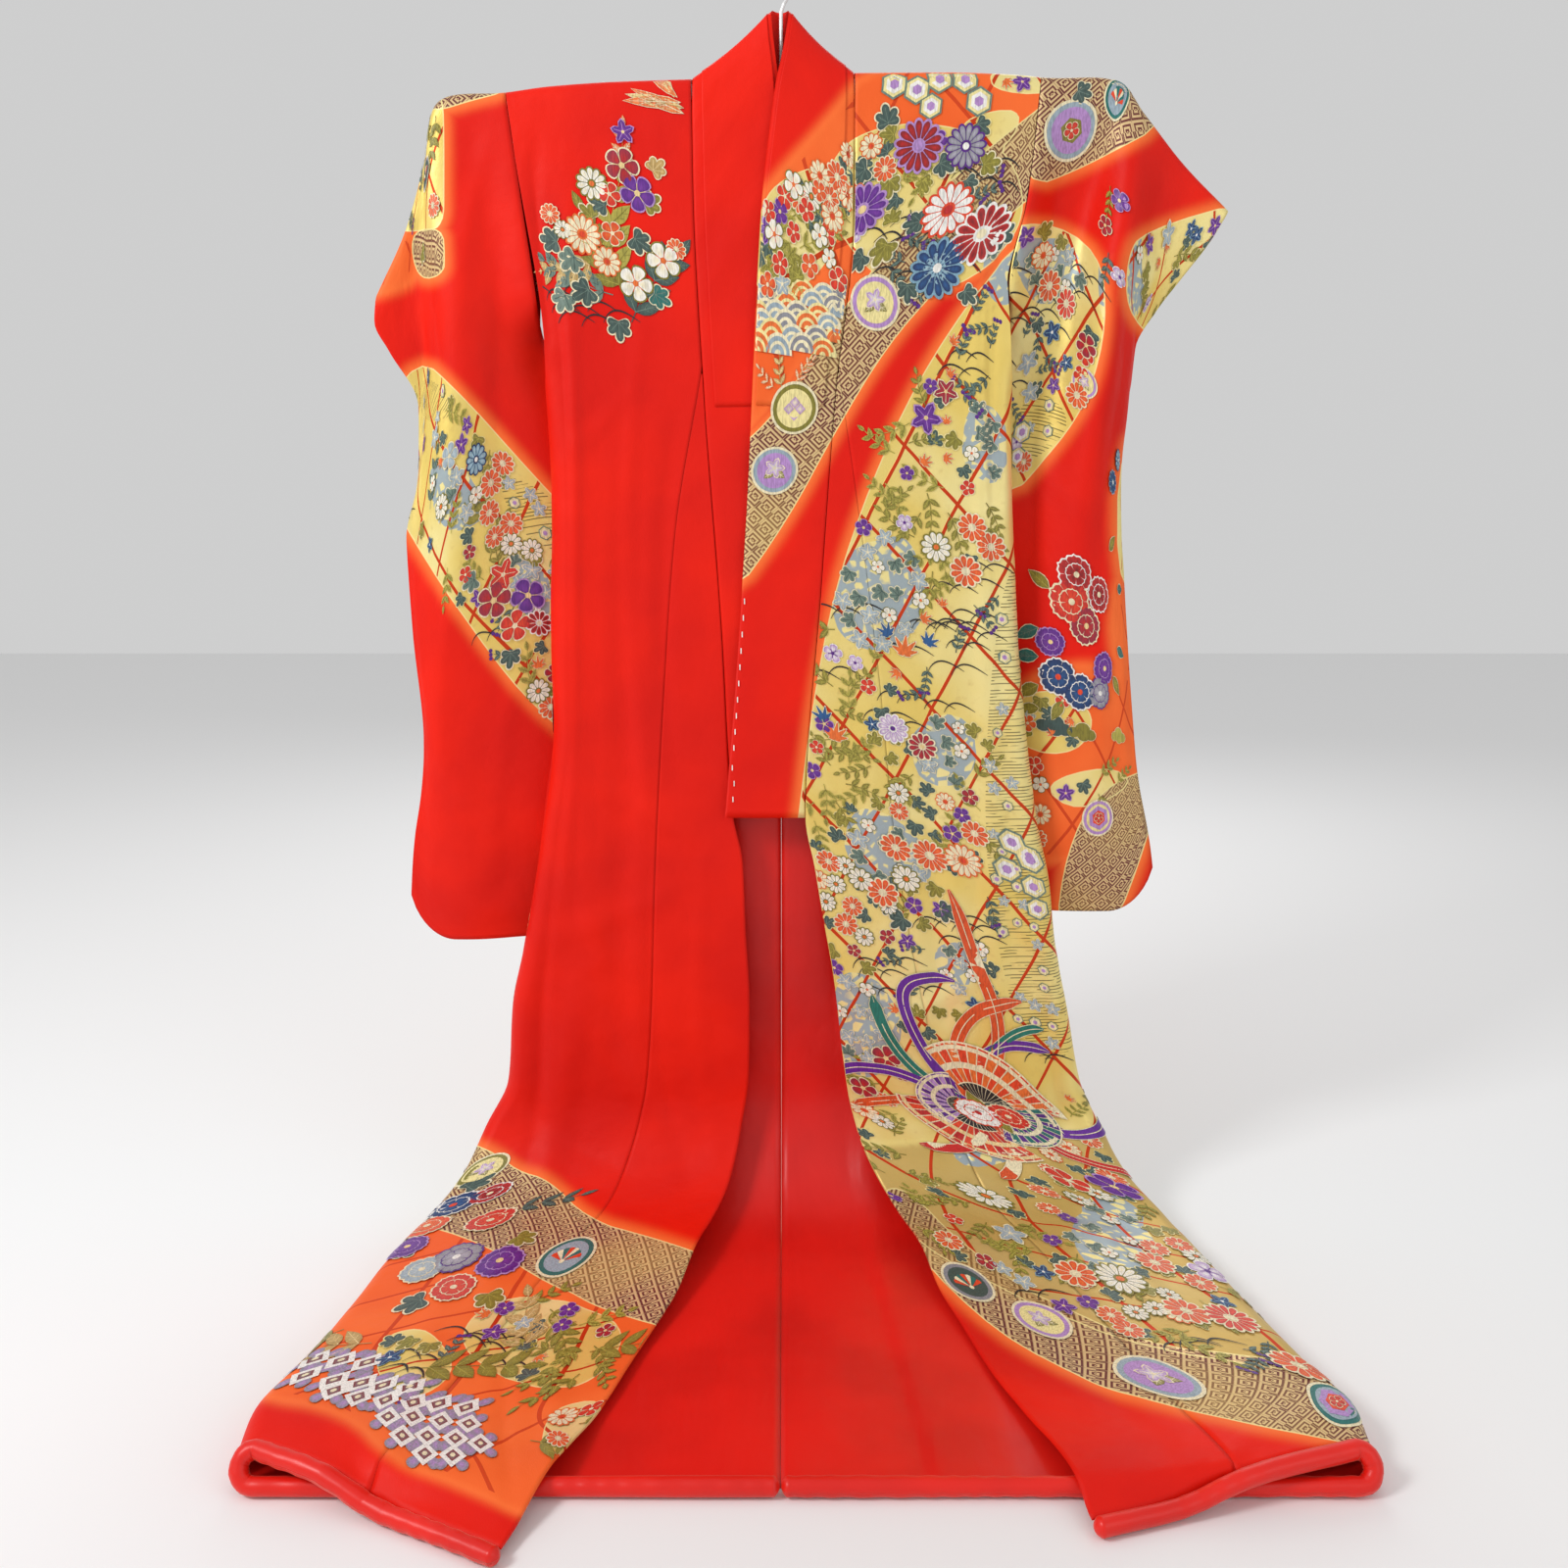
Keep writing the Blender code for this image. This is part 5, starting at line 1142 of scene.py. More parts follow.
class Ornament:
    """Flat shapes gathered in metres from an origin on the cloth, then laid on it together.

    Each shape is a fan of triangles round its middle, so its tint can run from middle to edge."""

    def __init__(self):
        self.spots, self.places, self.layers, self.tints, self.faces = [], [], [], [], []
        self.count = 0

    def add(self, spot, points, faces, tints, layer):
        """One shape: its points about a spot of the cloth, faces, tints and layer."""
        points = np.asarray(points, float)
        self.spots.append(np.repeat([spot], len(points), axis=0))
        self.places.append(points)
        self.layers.append(np.full(len(points), float(layer)))
        self.tints.append(np.broadcast_to(np.asarray(tints, float), (len(points), 3)))
        self.faces.append(np.asarray(faces) + self.count)
        self.count += len(points)

    def fan(self, spot, outline, edge_tint, layer, heart_tint=None, heart=None):
        """Filled outline: rings of it shrink towards the middle, close enough to follow the cloth."""
        outline = np.asarray(outline, float)
        middle = outline.mean(0) if heart is None else np.asarray(heart, float)
        reach = np.roll(outline, -1, axis=0) - outline
        if np.abs(reach).max() > FOLLOW_STEP:
            parts = np.maximum(1, np.ceil(np.linalg.norm(reach, axis=1) / FOLLOW_STEP)).astype(int)
            outline = np.concatenate([p + d * (np.arange(k) / k)[:, None]
                                      for p, d, k in zip(outline, reach, parts)])
        n = len(outline)
        rings = 1 + int(np.linalg.norm(outline - middle, axis=1).max() / FOLLOW_STEP)
        share = (np.arange(rings, 0, -1) / rings)[:, None, None]
        points = np.vstack([(middle + (outline - middle) * share).reshape(-1, 2), middle])
        i = np.arange(n)
        j = (i + 1) % n
        faces = [np.stack([(rings - 1) * n + i, (rings - 1) * n + j, np.full(n, rings * n)], 1)]
        for k in range(rings - 1):
            faces += [np.stack([k * n + i, k * n + j, (k + 1) * n + j], 1),
                      np.stack([k * n + i, (k + 1) * n + j, (k + 1) * n + i], 1)]
        edge, core = np.asarray(edge_tint, float), np.asarray(heart_tint or edge_tint, float)
        tints = np.vstack([np.repeat((core + (edge - core) * share)[:, 0], n, axis=0), core])
        self.add(spot, points, np.concatenate(faces), tints, layer)

    def strip(self, spot, line, half, tint, layer, end_tint=None):
        """Band of half width (a number or one a point) along a line."""
        line = np.asarray(line, float)
        step = np.gradient(line, axis=0)
        side_way = np.stack([-step[:, 1], step[:, 0]], 1)
        side_way /= np.maximum(np.linalg.norm(step, axis=1), 1e-9)[:, None]
        half = np.broadcast_to(np.asarray(half, float), len(line))[:, None]
        n = len(line)
        i = np.arange(n - 1)
        quads = np.stack([i, i + 1, n + i + 1, n + i], 1)
        faces = np.concatenate([quads[:, [0, 1, 2]], quads[:, [0, 2, 3]]])
        t = np.linspace(0, 1, n)[:, None]
        tints = np.asarray(tint) + (np.asarray(end_tint or tint) - np.asarray(tint)) * t
        self.add(spot, np.vstack([line + side_way * half, line - side_way * half]), faces,
                 np.vstack([tints, tints]), layer)

    def lay(self, name, surface, look):
        """The gathered shapes on surface(spot, place, lift), facing outwards."""
        spots, places = np.vstack(self.spots), np.vstack(self.places)
        lift = 0.0008 + 0.00016 * np.concatenate(self.layers)
        points, outward = surface(spots, places, lift)
        faces = np.concatenate(self.faces)
        a, b, c = (points[faces[:, k]] for k in range(3))
        turned = (np.cross(b - a, c - a) * outward[faces[:, 0]]).sum(1) < 0
        faces[turned] = faces[turned][:, ::-1]
        obj = make_mesh(name, points, faces, [look])
        layer = obj.data.color_attributes.new("tint", "FLOAT_COLOR", "POINT")
        rgba = np.hstack([np.vstack(self.tints), np.ones((len(points), 1))]).astype(np.float32)
        layer.data.foreach_set("color", rgba.ravel())
        return obj


def turned(points, angle, shift=(0.0, 0.0)):
    """Points of the plane turned by an angle, then moved."""
    c, s = math.cos(angle), math.sin(angle)
    points = np.asarray(points, float)
    return points @ np.array([[c, s], [-s, c]]) + np.asarray(shift)


def petal_outline(first, last, half, blunt=0.8, grow=0.0):
    """Petal along +x from first to last: round-tipped where blunt is above 0.7, pointed below it."""
    t = np.array([0.0, 0.25, 0.55, 0.78, 0.92, 0.99])
    if blunt > 0.7:
        tip = np.sqrt(1 - np.clip((t - 0.68) / 0.32, 0, 1) ** 2)
        width = half * (0.32 + 0.68 * np.minimum(t / 0.6, 1.0)) * tip
    else:
        width = half * np.sin(np.pi * np.clip(0.12 + 0.82 * t ** blunt, 0, 1))
    x = first - grow + (last - first + 2 * grow) * t
    side = width + grow
    return np.vstack([np.stack([x, side], 1), [[last + grow, 0.0]], np.stack([x, -side], 1)[::-1]])


def circle(radius, sides=14, squash=1.0):
    """Regular outline round the middle, squashed along y."""
    a = np.linspace(0, 2 * np.pi, sides, endpoint=False)
    return np.stack([radius * np.cos(a), squash * radius * np.sin(a)], 1)


def chrysanthemum(art, spot, r, tints, turn=0.0, petals=14, layer=2, shift=(0, 0)):
    """Round flower of many petals: light rims under, tinted petals over, a small heart."""
    rim, edge, inner, heart = tints
    art.fan(spot, turned(circle(r * 0.72), turn, shift), rim, layer)
    for k in range(petals):
        a = turn + 2 * math.pi * k / petals
        half = 0.92 * math.pi * r / petals * 0.92
        art.fan(spot, turned(petal_outline(0.20 * r, r, half, 0.75, 0.0), a, shift), rim, layer + 1)
        art.fan(spot, turned(petal_outline(0.26 * r, r * 0.90, half * 0.68, 0.75), a, shift), edge,
                layer + 2, inner)
    art.fan(spot, turned(circle(r * 0.16, 10), turn, shift), heart, layer + 3)


def blossom(art, spot, r, tints, turn=0.0, petals=5, layer=2, shift=(0, 0)):
    """Plum or cherry flower: broad round petals with a light rim and dotted stamens."""
    rim, edge, inner, heart = tints
    for k in range(petals):
        a = turn + 2 * math.pi * k / petals
        half = 0.42 * r
        art.fan(spot, turned(petal_outline(0.10 * r, r, half, 0.9, 0.0), a, shift), rim, layer)
        art.fan(spot, turned(petal_outline(0.16 * r, r * 0.91, half * 0.84, 0.9), a, shift), edge,
                layer + 1, inner, turned([[0.3 * r, 0]], a, shift)[0])
    art.fan(spot, turned(circle(r * 0.17, 8), turn, shift), heart, layer + 2)
    if r > 0.012:
        for k in range(petals):
            line = turned([[0.15 * r, 0], [0.5 * r, 0]], turn + 2 * math.pi * (k + 0.5) / petals, shift)
            art.strip(spot, line, 0.0004, heart, layer + 2)


def bellflower(art, spot, r, tints, turn=0.0, layer=2, shift=(0, 0)):
    """Five pointed petals joined to a star, with a pale vein on each."""
    rim, edge, inner, heart = tints
    for size, tint, middle, up in ((1.0, rim, rim, 0), (0.88, edge, inner, 1)):
        a = np.arange(20) * 2 * np.pi / 20
        radius = size * r * np.choose(np.arange(20) % 4, [1.0, 0.80, 0.50, 0.80])
        star = np.stack([radius * np.cos(a), radius * np.sin(a)], 1)
        art.fan(spot, turned(star, turn, shift), tint, layer + up, middle)
    for k in range(5):
        art.strip(spot, turned([[0.12 * r, 0], [0.72 * r, 0]], turn + 2 * math.pi * k / 5, shift), 0.00035,
                  rim, layer + 2)
    art.fan(spot, turned(circle(r * 0.13, 8), turn, shift), heart, layer + 2)


def peony(art, spot, r, tints, turn=0.0, layer=2, shift=(0, 0)):
    """Full flower: two rings of broad notched petals, each rimmed, the inner one smaller and deeper."""
    rim, edge, inner, heart = tints
    up = layer
    for ring, (reach, count) in enumerate(((1.0, 6), (0.58, 5))):
        for k in range(count):
            a = turn + 2 * math.pi * (k + 0.5 * (ring % 2)) / count
            half = reach * r * 2.5 / count
            t = np.linspace(-1, 1, 9)
            ruffle = reach * r * (0.95 - 0.17 * t ** 2 + 0.045 * np.cos(3 * np.pi * t))
            outer = np.stack([ruffle, half * t * 1.05], 1)
            base = np.array([[0.15 * r * reach, -0.35 * half], [0.15 * r * reach, 0.35 * half]])
            shape = np.vstack([outer, base[::-1]])
            small = shape * 0.86 + np.array([0.05 * reach * r, 0])
            art.fan(spot, turned(shape, a, shift), rim, up)
            art.fan(spot, turned(small, a, shift), blend(edge, inner, 0.25 * ring), up + 1, inner,
                    turned([[0.3 * r * reach, 0]], a, shift)[0])
        up += 2
    art.fan(spot, turned(circle(r * 0.15, 9), turn, shift), heart, up)


def leaf(art, spot, length, half, angle, tint, vein, layer=1, shift=(0, 0), rim=None):
    """Pointed leaf: two curved sides, a midrib and side veins."""
    t = np.linspace(0, 1, 6)
    side_curve = half * np.sin(np.pi * t ** 0.8)
    body = np.vstack([np.stack([t * length, side_curve], 1), np.stack([t * length, -side_curve], 1)[-2:0:-1]])
    if rim is not None:
        grown = np.stack([body[:, 0] * 1.04 - 0.02 * length, body[:, 1] * 1.14], 1)
        art.fan(spot, turned(grown, angle, shift), rim, layer)
    art.fan(spot, turned(body, angle, shift), tint, layer + 1, blend(tint, vein, 0.35))
    art.strip(spot, turned([[0, 0], [0.9 * length, 0]], angle, shift), [0.0005, 0.0002], vein, layer + 2)
    for t0 in (0.3, 0.55):
        for way in (-1, 1):
            vein_line = [[t0 * length, 0], [(t0 + 0.18) * length, way * 0.62 * half]]
            art.strip(spot, turned(vein_line, angle, shift), 0.00025, vein, layer + 2)


def lobed_leaf(art, spot, r, angle, tint, vein, rim, layer=1, shift=(0, 0)):
    """Chrysanthemum leaf: five round lobes on a stalk."""
    lobes = ((0.0, 1.0), (0.75, 0.82), (-0.75, 0.82), (1.55, 0.6), (-1.55, 0.6))
    for a, reach in lobes:
        grown = petal_outline(0.0, r * reach * 1.06, r * 0.27, 0.8, 0.0)
        art.fan(spot, turned(grown, angle + a, shift), rim, layer)
    for a, reach in lobes:
        lobe = petal_outline(0.0, r * reach * 0.97, r * 0.21, 0.8)
        art.fan(spot, turned(lobe, angle + a, shift), tint, layer + 1, blend(tint, vein, 0.3))
        art.strip(spot, turned([[0, 0], [0.8 * r * reach, 0]], angle + a, shift), 0.0003, vein, layer + 2)


def maple(art, spot, r, angle, tint, rim, layer=1, shift=(0, 0)):
    """Maple leaf: seven narrow points."""
    for k in range(-3, 4):
        reach = r * (1.0 - 0.07 * k * k)
        spike = petal_outline(0.0, reach, 0.14 * r, 0.55)
        art.fan(spot, turned(spike * [1.04, 1.35], angle + 0.62 * k, shift), rim, layer)
        art.fan(spot, turned(spike * [0.96, 1.0], angle + 0.62 * k, shift), tint, layer + 1)


def sprig(art, spot, length, angle, pairs, tint, vein, layer=1, shift=(0, 0), bend=0.25, berries=None):
    """Curved stalk with pairs of leaves, closing with one leaf or berries."""
    t = np.linspace(0, 1, 7)
    stalk = np.stack([t * length, bend * length * t ** 2], 1)
    art.strip(spot, turned(stalk, angle, shift), np.linspace(0.0006, 0.0003, 7), tint, layer)
    for k in range(pairs):
        t0 = (k + 0.6) / (pairs + 0.4)
        at = turned([[t0 * length, bend * length * t0 ** 2]], angle, shift)[0]
        for way in (-1, 1):
            leaf(art, spot, length * 0.34 * (1.15 - 0.4 * t0), length * 0.075,
                 angle + way * 0.75 + bend * t0, tint, vein, layer, at)
    tip = turned([[length, bend * length]], angle, shift)[0]
    if berries is None:
        leaf(art, spot, length * 0.26, length * 0.06, angle + bend, tint, vein, layer, tip)
    else:
        for way in (-1, 0, 1):
            art.fan(spot, circle(0.0026, 8) + turned([[0.004, way * 0.005]], angle, tip)[0], berries,
                    layer + 2)


def grass(art, spot, length, angle, tint, layer=1, shift=(0, 0), arcs=3):
    """Low bows of grass, each a shallow half wave that overlaps the last."""
    t = np.linspace(0, 1, 13)
    for k in range(arcs):
        line = np.stack([length * (t + 0.62 * k - 1.0),
                         length * (0.10 * (k % 2) - 0.30 * np.sin(np.pi * t ** 0.8))], 1)
        art.strip(spot, turned(line, angle, shift), 0.0003 + 0.0007 * np.sin(np.pi * t), tint, layer)


def folding_fan(art, spot, r, angle, tints, layer, shift=(0, 0)):
    """Open folding fan: a rimmed leaf of pleats in two tints with a band and an edge, on dark ribs."""
    first, second, band, ribs = tints
    count, spread_angle = 14, 2.3
    edges = np.linspace(-0.5, 0.5, count + 1) * spread_angle
    whole = np.vstack([[[0.0, 0.0]], np.stack([1.03 * r * np.cos(edges), 1.03 * r * np.sin(edges)], 1)])
    art.fan(spot, turned(whole, angle, shift), CREAM, layer)
    for k in range(count):
        a0, a1 = edges[k] + 0.012, edges[k + 1] - 0.012
        corner = lambda q, a: (q * r * math.cos(a), q * r * math.sin(a))
        for low, high, tint, up in ((0.05, 0.36, ribs, 1), (0.38, 1.0, first if k % 2 else second, 1),
                                    (0.60, 0.70, band, 2), (0.90, 0.97, band, 2)):
            shape = [corner(low, a0), corner(high, a0), corner(high, a1), corner(low, a1)]
            art.fan(spot, turned(shape, angle, shift), tint, layer + up)


def roundel(art, spot, r, tints, inner, layer=2, shift=(0, 0), turn=0.0):
    """Disc with a ring and a hexagon, flower, diamond or fan inside."""
    rim, ring, ground, figure = tints
    art.fan(spot, circle(r, 26) + shift, rim, layer)
    art.fan(spot, circle(r * 0.90, 26) + shift, ring, layer + 1)
    art.fan(spot, circle(r * 0.74, 24) + shift, ground, layer + 2)
    if inner == "hexagon":
        art.fan(spot, turned(circle(r * 0.66, 6), turn, shift), LILAC, layer + 3)
        art.fan(spot, turned(circle(r * 0.42, 6), turn, shift), figure, layer + 4)
        blossom(art, spot, r * 0.30, (CREAM, CARMINE, SCARLET, CREAM), turn, 5, layer + 5, shift)
    elif inner == "flower":
        leaf(art, spot, r * 0.55, r * 0.16, 2.5, OLIVE, CREAM, layer + 3, shift)
        leaf(art, spot, r * 0.55, r * 0.16, 0.6, OLIVE, CREAM, layer + 3, shift)
        bellflower(art, spot, r * 0.46, (CREAM, LILAC, WHITE, CREAM), turn, layer + 5,
                   (shift[0], shift[1] - 0.1 * r))
    elif inner == "diamond":
        for dx, dy in ((0, -0.24), (0, 0.24), (-0.24, 0), (0.24, 0)):
            spot_shift = (shift[0] + dx * r, shift[1] + dy * r)
            art.fan(spot, turned(circle(r * 0.22, 4), 0.0, spot_shift), figure, layer + 3, CREAM)
    else:
        for k in range(7):
            a = -2.6 + 0.35 * k
            wedge = np.array([[0.05, 0], [0.62, 0.105], [0.66, 0], [0.62, -0.105]]) * r
            tint = (SCARLET, CREAM, TEAL)[k % 3]
            art.fan(spot, turned(wedge, a, (shift[0], shift[1] + 0.25 * r)), tint, layer + 3)
        art.fan(spot, circle(0.10 * r, 8) + np.array([shift[0], shift[1] + 0.25 * r]), CREAM, layer + 4)


def honeycomb(art, spot, r, tints, layer=2, shift=(0, 0)):
    """One cell: nested hexagons."""
    for share, tint, up in ((1.0, tints[0], 0), (0.84, tints[1], 1), (0.62, tints[2], 2),
                            (0.34, tints[3], 3)):
        art.fan(spot, turned(circle(r * share, 6), math.pi / 6, shift), tint, layer + up)


def wave_scale(art, spot, r, tints, layer, shift=(0, 0)):
    """One scale of the wave pattern: nested half rounds, open below."""
    for share, tint, up in ((1.0, tints[0], 0.0), (0.84, tints[1], 0.2), (0.62, tints[0], 0.4),
                            (0.46, tints[1], 0.6), (0.22, tints[0], 0.8)):
        a = np.linspace(math.pi, 2 * math.pi, 11)
        half_round = np.stack([r * share * np.cos(a), r * share * np.sin(a)], 1)
        art.fan(spot, half_round + shift, tint, layer + up, None, np.asarray(shift, float))


def treasure_tile(art, spot, r, layer=2, shift=(0, 0)):
    """Tile of the linked-rings pattern: four bowed corners in greys with a light diamond and a dark eye."""
    for k in range(4):
        petal = petal_outline(0.18 * r, 1.22 * r, 0.36 * r, 0.8, 0.0)
        art.fan(spot, turned(petal, math.pi / 4 + k * math.pi / 2, shift), GREY, layer, LILAC)
    art.fan(spot, turned(circle(r * 0.80, 4), 0.0, shift), WHITE, layer + 1)
    art.fan(spot, turned(circle(r * 0.42, 4), 0.0, shift), WINE, layer + 2, GREY)
    art.fan(spot, turned(circle(r * 0.16, 6), 0.0, shift), CREAM, layer + 3)


def cloud(art, spot, r, tint, rim, layer=1, shift=(0, 0)):
    """Small scalloped cloud with a curled line."""
    puffs = ((-0.6, 0.12, 0.42), (0.0, -0.15, 0.55), (0.6, 0.10, 0.44), (0.1, 0.22, 0.45))
    for grown, shade, up in ((1.09, rim, 0), (1.0, tint, 1)):
        for dx, dy, size in puffs:
            place = np.array([dx * r, dy * r]) + shift
            art.fan(spot, circle(r * size * grown, 12, 0.8) + place, shade, layer + up)


def ribbon(art, spot, line, half, tint, rim, layer, stripe=None):
    """Long flowing band: light edges, a coloured middle and a thin stripe."""
    line = np.asarray(line, float)
    t = np.linspace(0, 1, len(line))
    taper = np.clip(np.minimum(t / 0.08 + 0.35, (1 - t) / 0.10 + 0.2), 0, 1)
    art.strip(spot, line, (half + 0.0009) * taper, rim, layer)
    art.strip(spot, line, half * taper, tint, layer + 1)
    if stripe is not None:
        art.strip(spot, line, 0.0006 * taper, stripe, layer + 2)


# tints of a flower, in order: rim, petal edge, petal middle, heart
TINTS = {
    "wine": (LILAC, WINE, CARMINE, LILAC), "violet": (LILAC, VIOLET, (0.20, 0.04, 0.36), THREAD_GOLD),
    "smoke": (VIOLET, GREY, (0.45, 0.42, 0.50), WHITE), "snow": (SCARLET, WHITE, WHITE, CARMINE),
    "scarlet": (WHITE, CARMINE, WINE, CREAM), "blue": (SKY, NAVY, BLUE, WHITE),
    "sky": (NAVY, SKY, (0.4, 0.55, 0.6), WHITE),
    "orange": (CREAM, SCARLET, TANGERINE, CREAM), "rust": (TANGERINE, CREAM, CREAM, SCARLET),
    "cream": (OLIVE, WHITE, CREAM, TANGERINE), "lilac": (WHITE, LILAC, WHITE, VIOLET),
    "mist": (CREAM, MIST, (0.5, 0.58, 0.6), CREAM), "plum": (CREAM, (0.30, 0.02, 0.05), CARMINE, THREAD_GOLD),
    "red": (CREAM, (0.66, 0.02, 0.012), SCARLET, CREAM), "indigo": (WHITE, NAVY, BLUE, SCARLET),
}
LEAF_TINTS = {"olive": (OLIVE, LIGHT_OLIVE), "light": (LIGHT_OLIVE, OLIVE), "slate": (SLATE, SAGE),
              "sage": (SAGE, SLATE), "teal": (TEAL, SAGE), "orange": (TANGERINE, CREAM),
              "ink": (BLACK, OLIVE),
              "blue": (BLUE, SKY), "gold": (THREAD_GOLD, OLD_GOLD), "straw": (OLD_GOLD, THREAD_GOLD)}
ROUND_TINTS = {"pearl": (CREAM, MIST, LILAC, OLIVE), "moss": (CREAM, OLIVE, PALE_GOLD, LILAC),
               "rose": (CREAM, LILAC, PALE_GOLD, SCARLET), "steel": (CREAM, GREY, SLATE, CREAM),
               "white": (CREAM, WHITE, LILAC, OLIVE), "teal": (CREAM, TEAL, MIST, SCARLET)}

def motif_rows(text, centre=0, side=1):
    """Placed motifs from text: a kind and a colon, then each one's x and y in the drawing plane, size in mm,
    turn in radians and tints, with commas.  x counts from the centre towards the side."""
    rows = []
    for part in text.split(";"):
        kind, motifs = part.split(":")
        for motif in motifs.split(","):
            x, y, size, turn, tints = motif.split()
            rows.append((kind.strip(), centre + side * float(x), float(y), float(size), float(turn), tints))
    return rows


BODY_MOTIFS = {
    LEFT: motif_rows("""
        lobed: 905 128 22 -1.9 slate, 882 172 22 2.6 slate, 960 168 20 0.4 slate, 908 182 20 1.4 olive,
            985 186 18 0.9 slate, 938 226 20 2.9 slate, 905 252 24 1.8 olive, 880 262 20 2.2 slate,
            1026 238 24 0.2 slate, 925 292 20 1.6 slate, 984 296 18 0.8 slate, 1004 166 20 -0.2 olive;
        mum: 938 150 30 0.1 wine, 986 152 25 0.3 smoke, 881 213 29 0.2 violet, 967 213 30 0 snow,
            1002 240 34 0.15 scarlet, 956 275 33 0.05 blue, 956 275 19 0.25 sky;
        honey: 912 84 17 0 -, 937 92 17 0 -, 960 82 17 0 -, 985 82 17 0 -, 1000 102 17 0 -, 950 106 15 0 -;
        roundel flower: 893 308 30 0 rose;
        maple: 922 664 24 -1.3 orange, 945 655 17 -0.9 blue, 905 648 17 -2 blue, 852 752 22 -1.2 orange,
            842 735 19 -1.9 blue;
        grass: 862 628 46 0 ink, 836 690 44 0 ink, 955 640 40 0 ink, 905 985 44 0 ink, 988 962 40 0 ink;
        mum: 912 742 20 0 lilac, 940 762 19 0.2 plum, 948 872 23 0 orange, 982 880 24 0.3 rust,
            914 862 20 0.2 orange, 900 908 21 0.1 orange, 926 898 19 0.1 cream, 878 895 17 0.1 cream,
            994 852 18 0.1 orange, 985 582 21 0.1 orange, 956 560 20 0 cream, 992 538 19 0 orange,
            1012 560 19 0 orange;
        bell: 945 428 21 0.2 violet, 966 398 17 0.4 plum;
        blossom: 905 1078 20 0.2 plum;
        bell: 1000 1090 18 0.2 violet;
        blossom: 882 1110 17 0.3 plum;
        lobed: 922 935 22 2.6 slate, 960 925 23 0.6 slate, 905 925 18 1.4 slate;
        honey: 1032 858 19 0 -, 1028 888 19 0 -, 1054 876 19 0 -, 1068 900 17 0 -, 1062 930 16 0 -,
            1076 866 15 0 -;
        roundel fan: 986 1311 27 0 steel;
        roundel flower: 1063 1345 28 0.3 rose, 1180 1408 33 0 pearl;
        roundel hexagon: 1366 1432 27 0.2 teal;
        mum: 1145 1308 26 0.1 cream, 1098 1302 22 0.1 orange;
        blossom: 1135 1212 22 0.1 violet;
        mum: 1255 1348 24 0.2 red, 1210 1340 22 0.1 orange;
        blossom: 1090 1205 20 0.4 red;
        bell: 1030 1260 20 0.2 mist;
        mum: 1005 1222 24 0.1 cream, 1180 1290 20 0 orange, 1325 1392 22 0 orange;
        blossom: 1230 1300 19 0 lilac"""),
    RIGHT: motif_rows("""
        blade: 698 116 62 3.62 orange, 696 110 66 3.4 gold, 694 104 66 3.2 orange, 690 100 56 3.95 orange,
            688 98 44 4.3 gold;
        sprig: 640 300 92 -2.1 olive, 628 292 110 -1.5 light, 645 330 100 -1 slate, 640 180 52 -1.7 orange,
            625 300 80 3.4 sage, 610 270 70 2.8 straw;
        lobed: 566 244 22 3.4 slate, 585 262 22 2.5 sage, 600 298 24 2.7 slate, 660 208 20 -0.4 olive,
            618 212 20 3.6 slate, 668 172 18 -0.6 straw, 648 246 22 0.7 slate, 604 220 18 -2.2 olive,
            668 300 20 0.6 teal, 578 300 22 2.2 sage, 630 330 22 1.7 slate;
        bell: 637 134 15 -1.57 violet;
        blossom: 636 172 21 0.2 plum, 651 198 21 0.5 violet;
        mum: 603 190 19 0.2 cream, 594 240 23 0.1 rust, 619 268 17 0.1 rust;
        blossom: 648 292 21 0.2 cream, 677 268 21 0.7 cream, 622 196 14 0.3 red, 626 240 14 0.3 orange;
        mum: 560 216 12 0 orange, 690 256 12 0 orange, 575 232 11 0 cream;
        grass: 566 300 40 0 ink, 608 332 44 0 ink, 592 316 36 0 ink;
        sprig: 430 1262 70 3.6 olive, 520 1240 60 -0.8 slate;
        lobed: 424 1276 24 3 slate, 528 1262 22 0.1 olive, 430 1330 26 2.4 slate, 498 1322 24 0.9 olive,
            478 1212 24 -1.2 slate;
        roundel fan: 578 1284 31 0 teal;
        roundel flower: 492 1196 26 0 moss;
        peony: 462 1232 26 0.3 indigo, 500 1248 27 0 red, 436 1250 24 0.2 orange, 508 1288 27 0.4 violet,
            466 1288 29 0.1 smoke, 464 1318 25 0.5 red, 430 1296 25 0.5 mist, 414 1272 22 0.9 violet,
            502 1220 20 0.9 scarlet;
        sprig: 420 1400 96 -0.5 olive, 380 1372 90 2.9 straw, 540 1380 84 -2.4 straw,
            600 1382 86 -0.4 olive, 560 1350 66 0.5 olive, 350 1360 70 2.6 olive, 540 1470 80 0.3 olive,
            590 1350 60 2.6 straw"""),
}
COLLAR_MOTIFS = motif_rows("""
    roundel diamond: 812 416 29 0 moss;
    roundel flower: 791 482 29 0 pearl;
    blossom: 808 188 14 0.1 cream, 824 214 12 0.4 red, 836 196 11 0.2 orange, 792 238 13 0.5 cream,
        838 240 12 0.3 cream, 812 236 10 0.3 red, 826 270 12 0 orange, 856 288 13 0.9 red,
        798 268 11 0.9 red, 784 288 11 0.9 orange, 784 214 10 0.2 red, 848 262 10 0.2 cream;
    sprig: 800 396 30 -2 straw, 812 394 30 -1.2 orange, 792 398 26 -2.7 orange""")
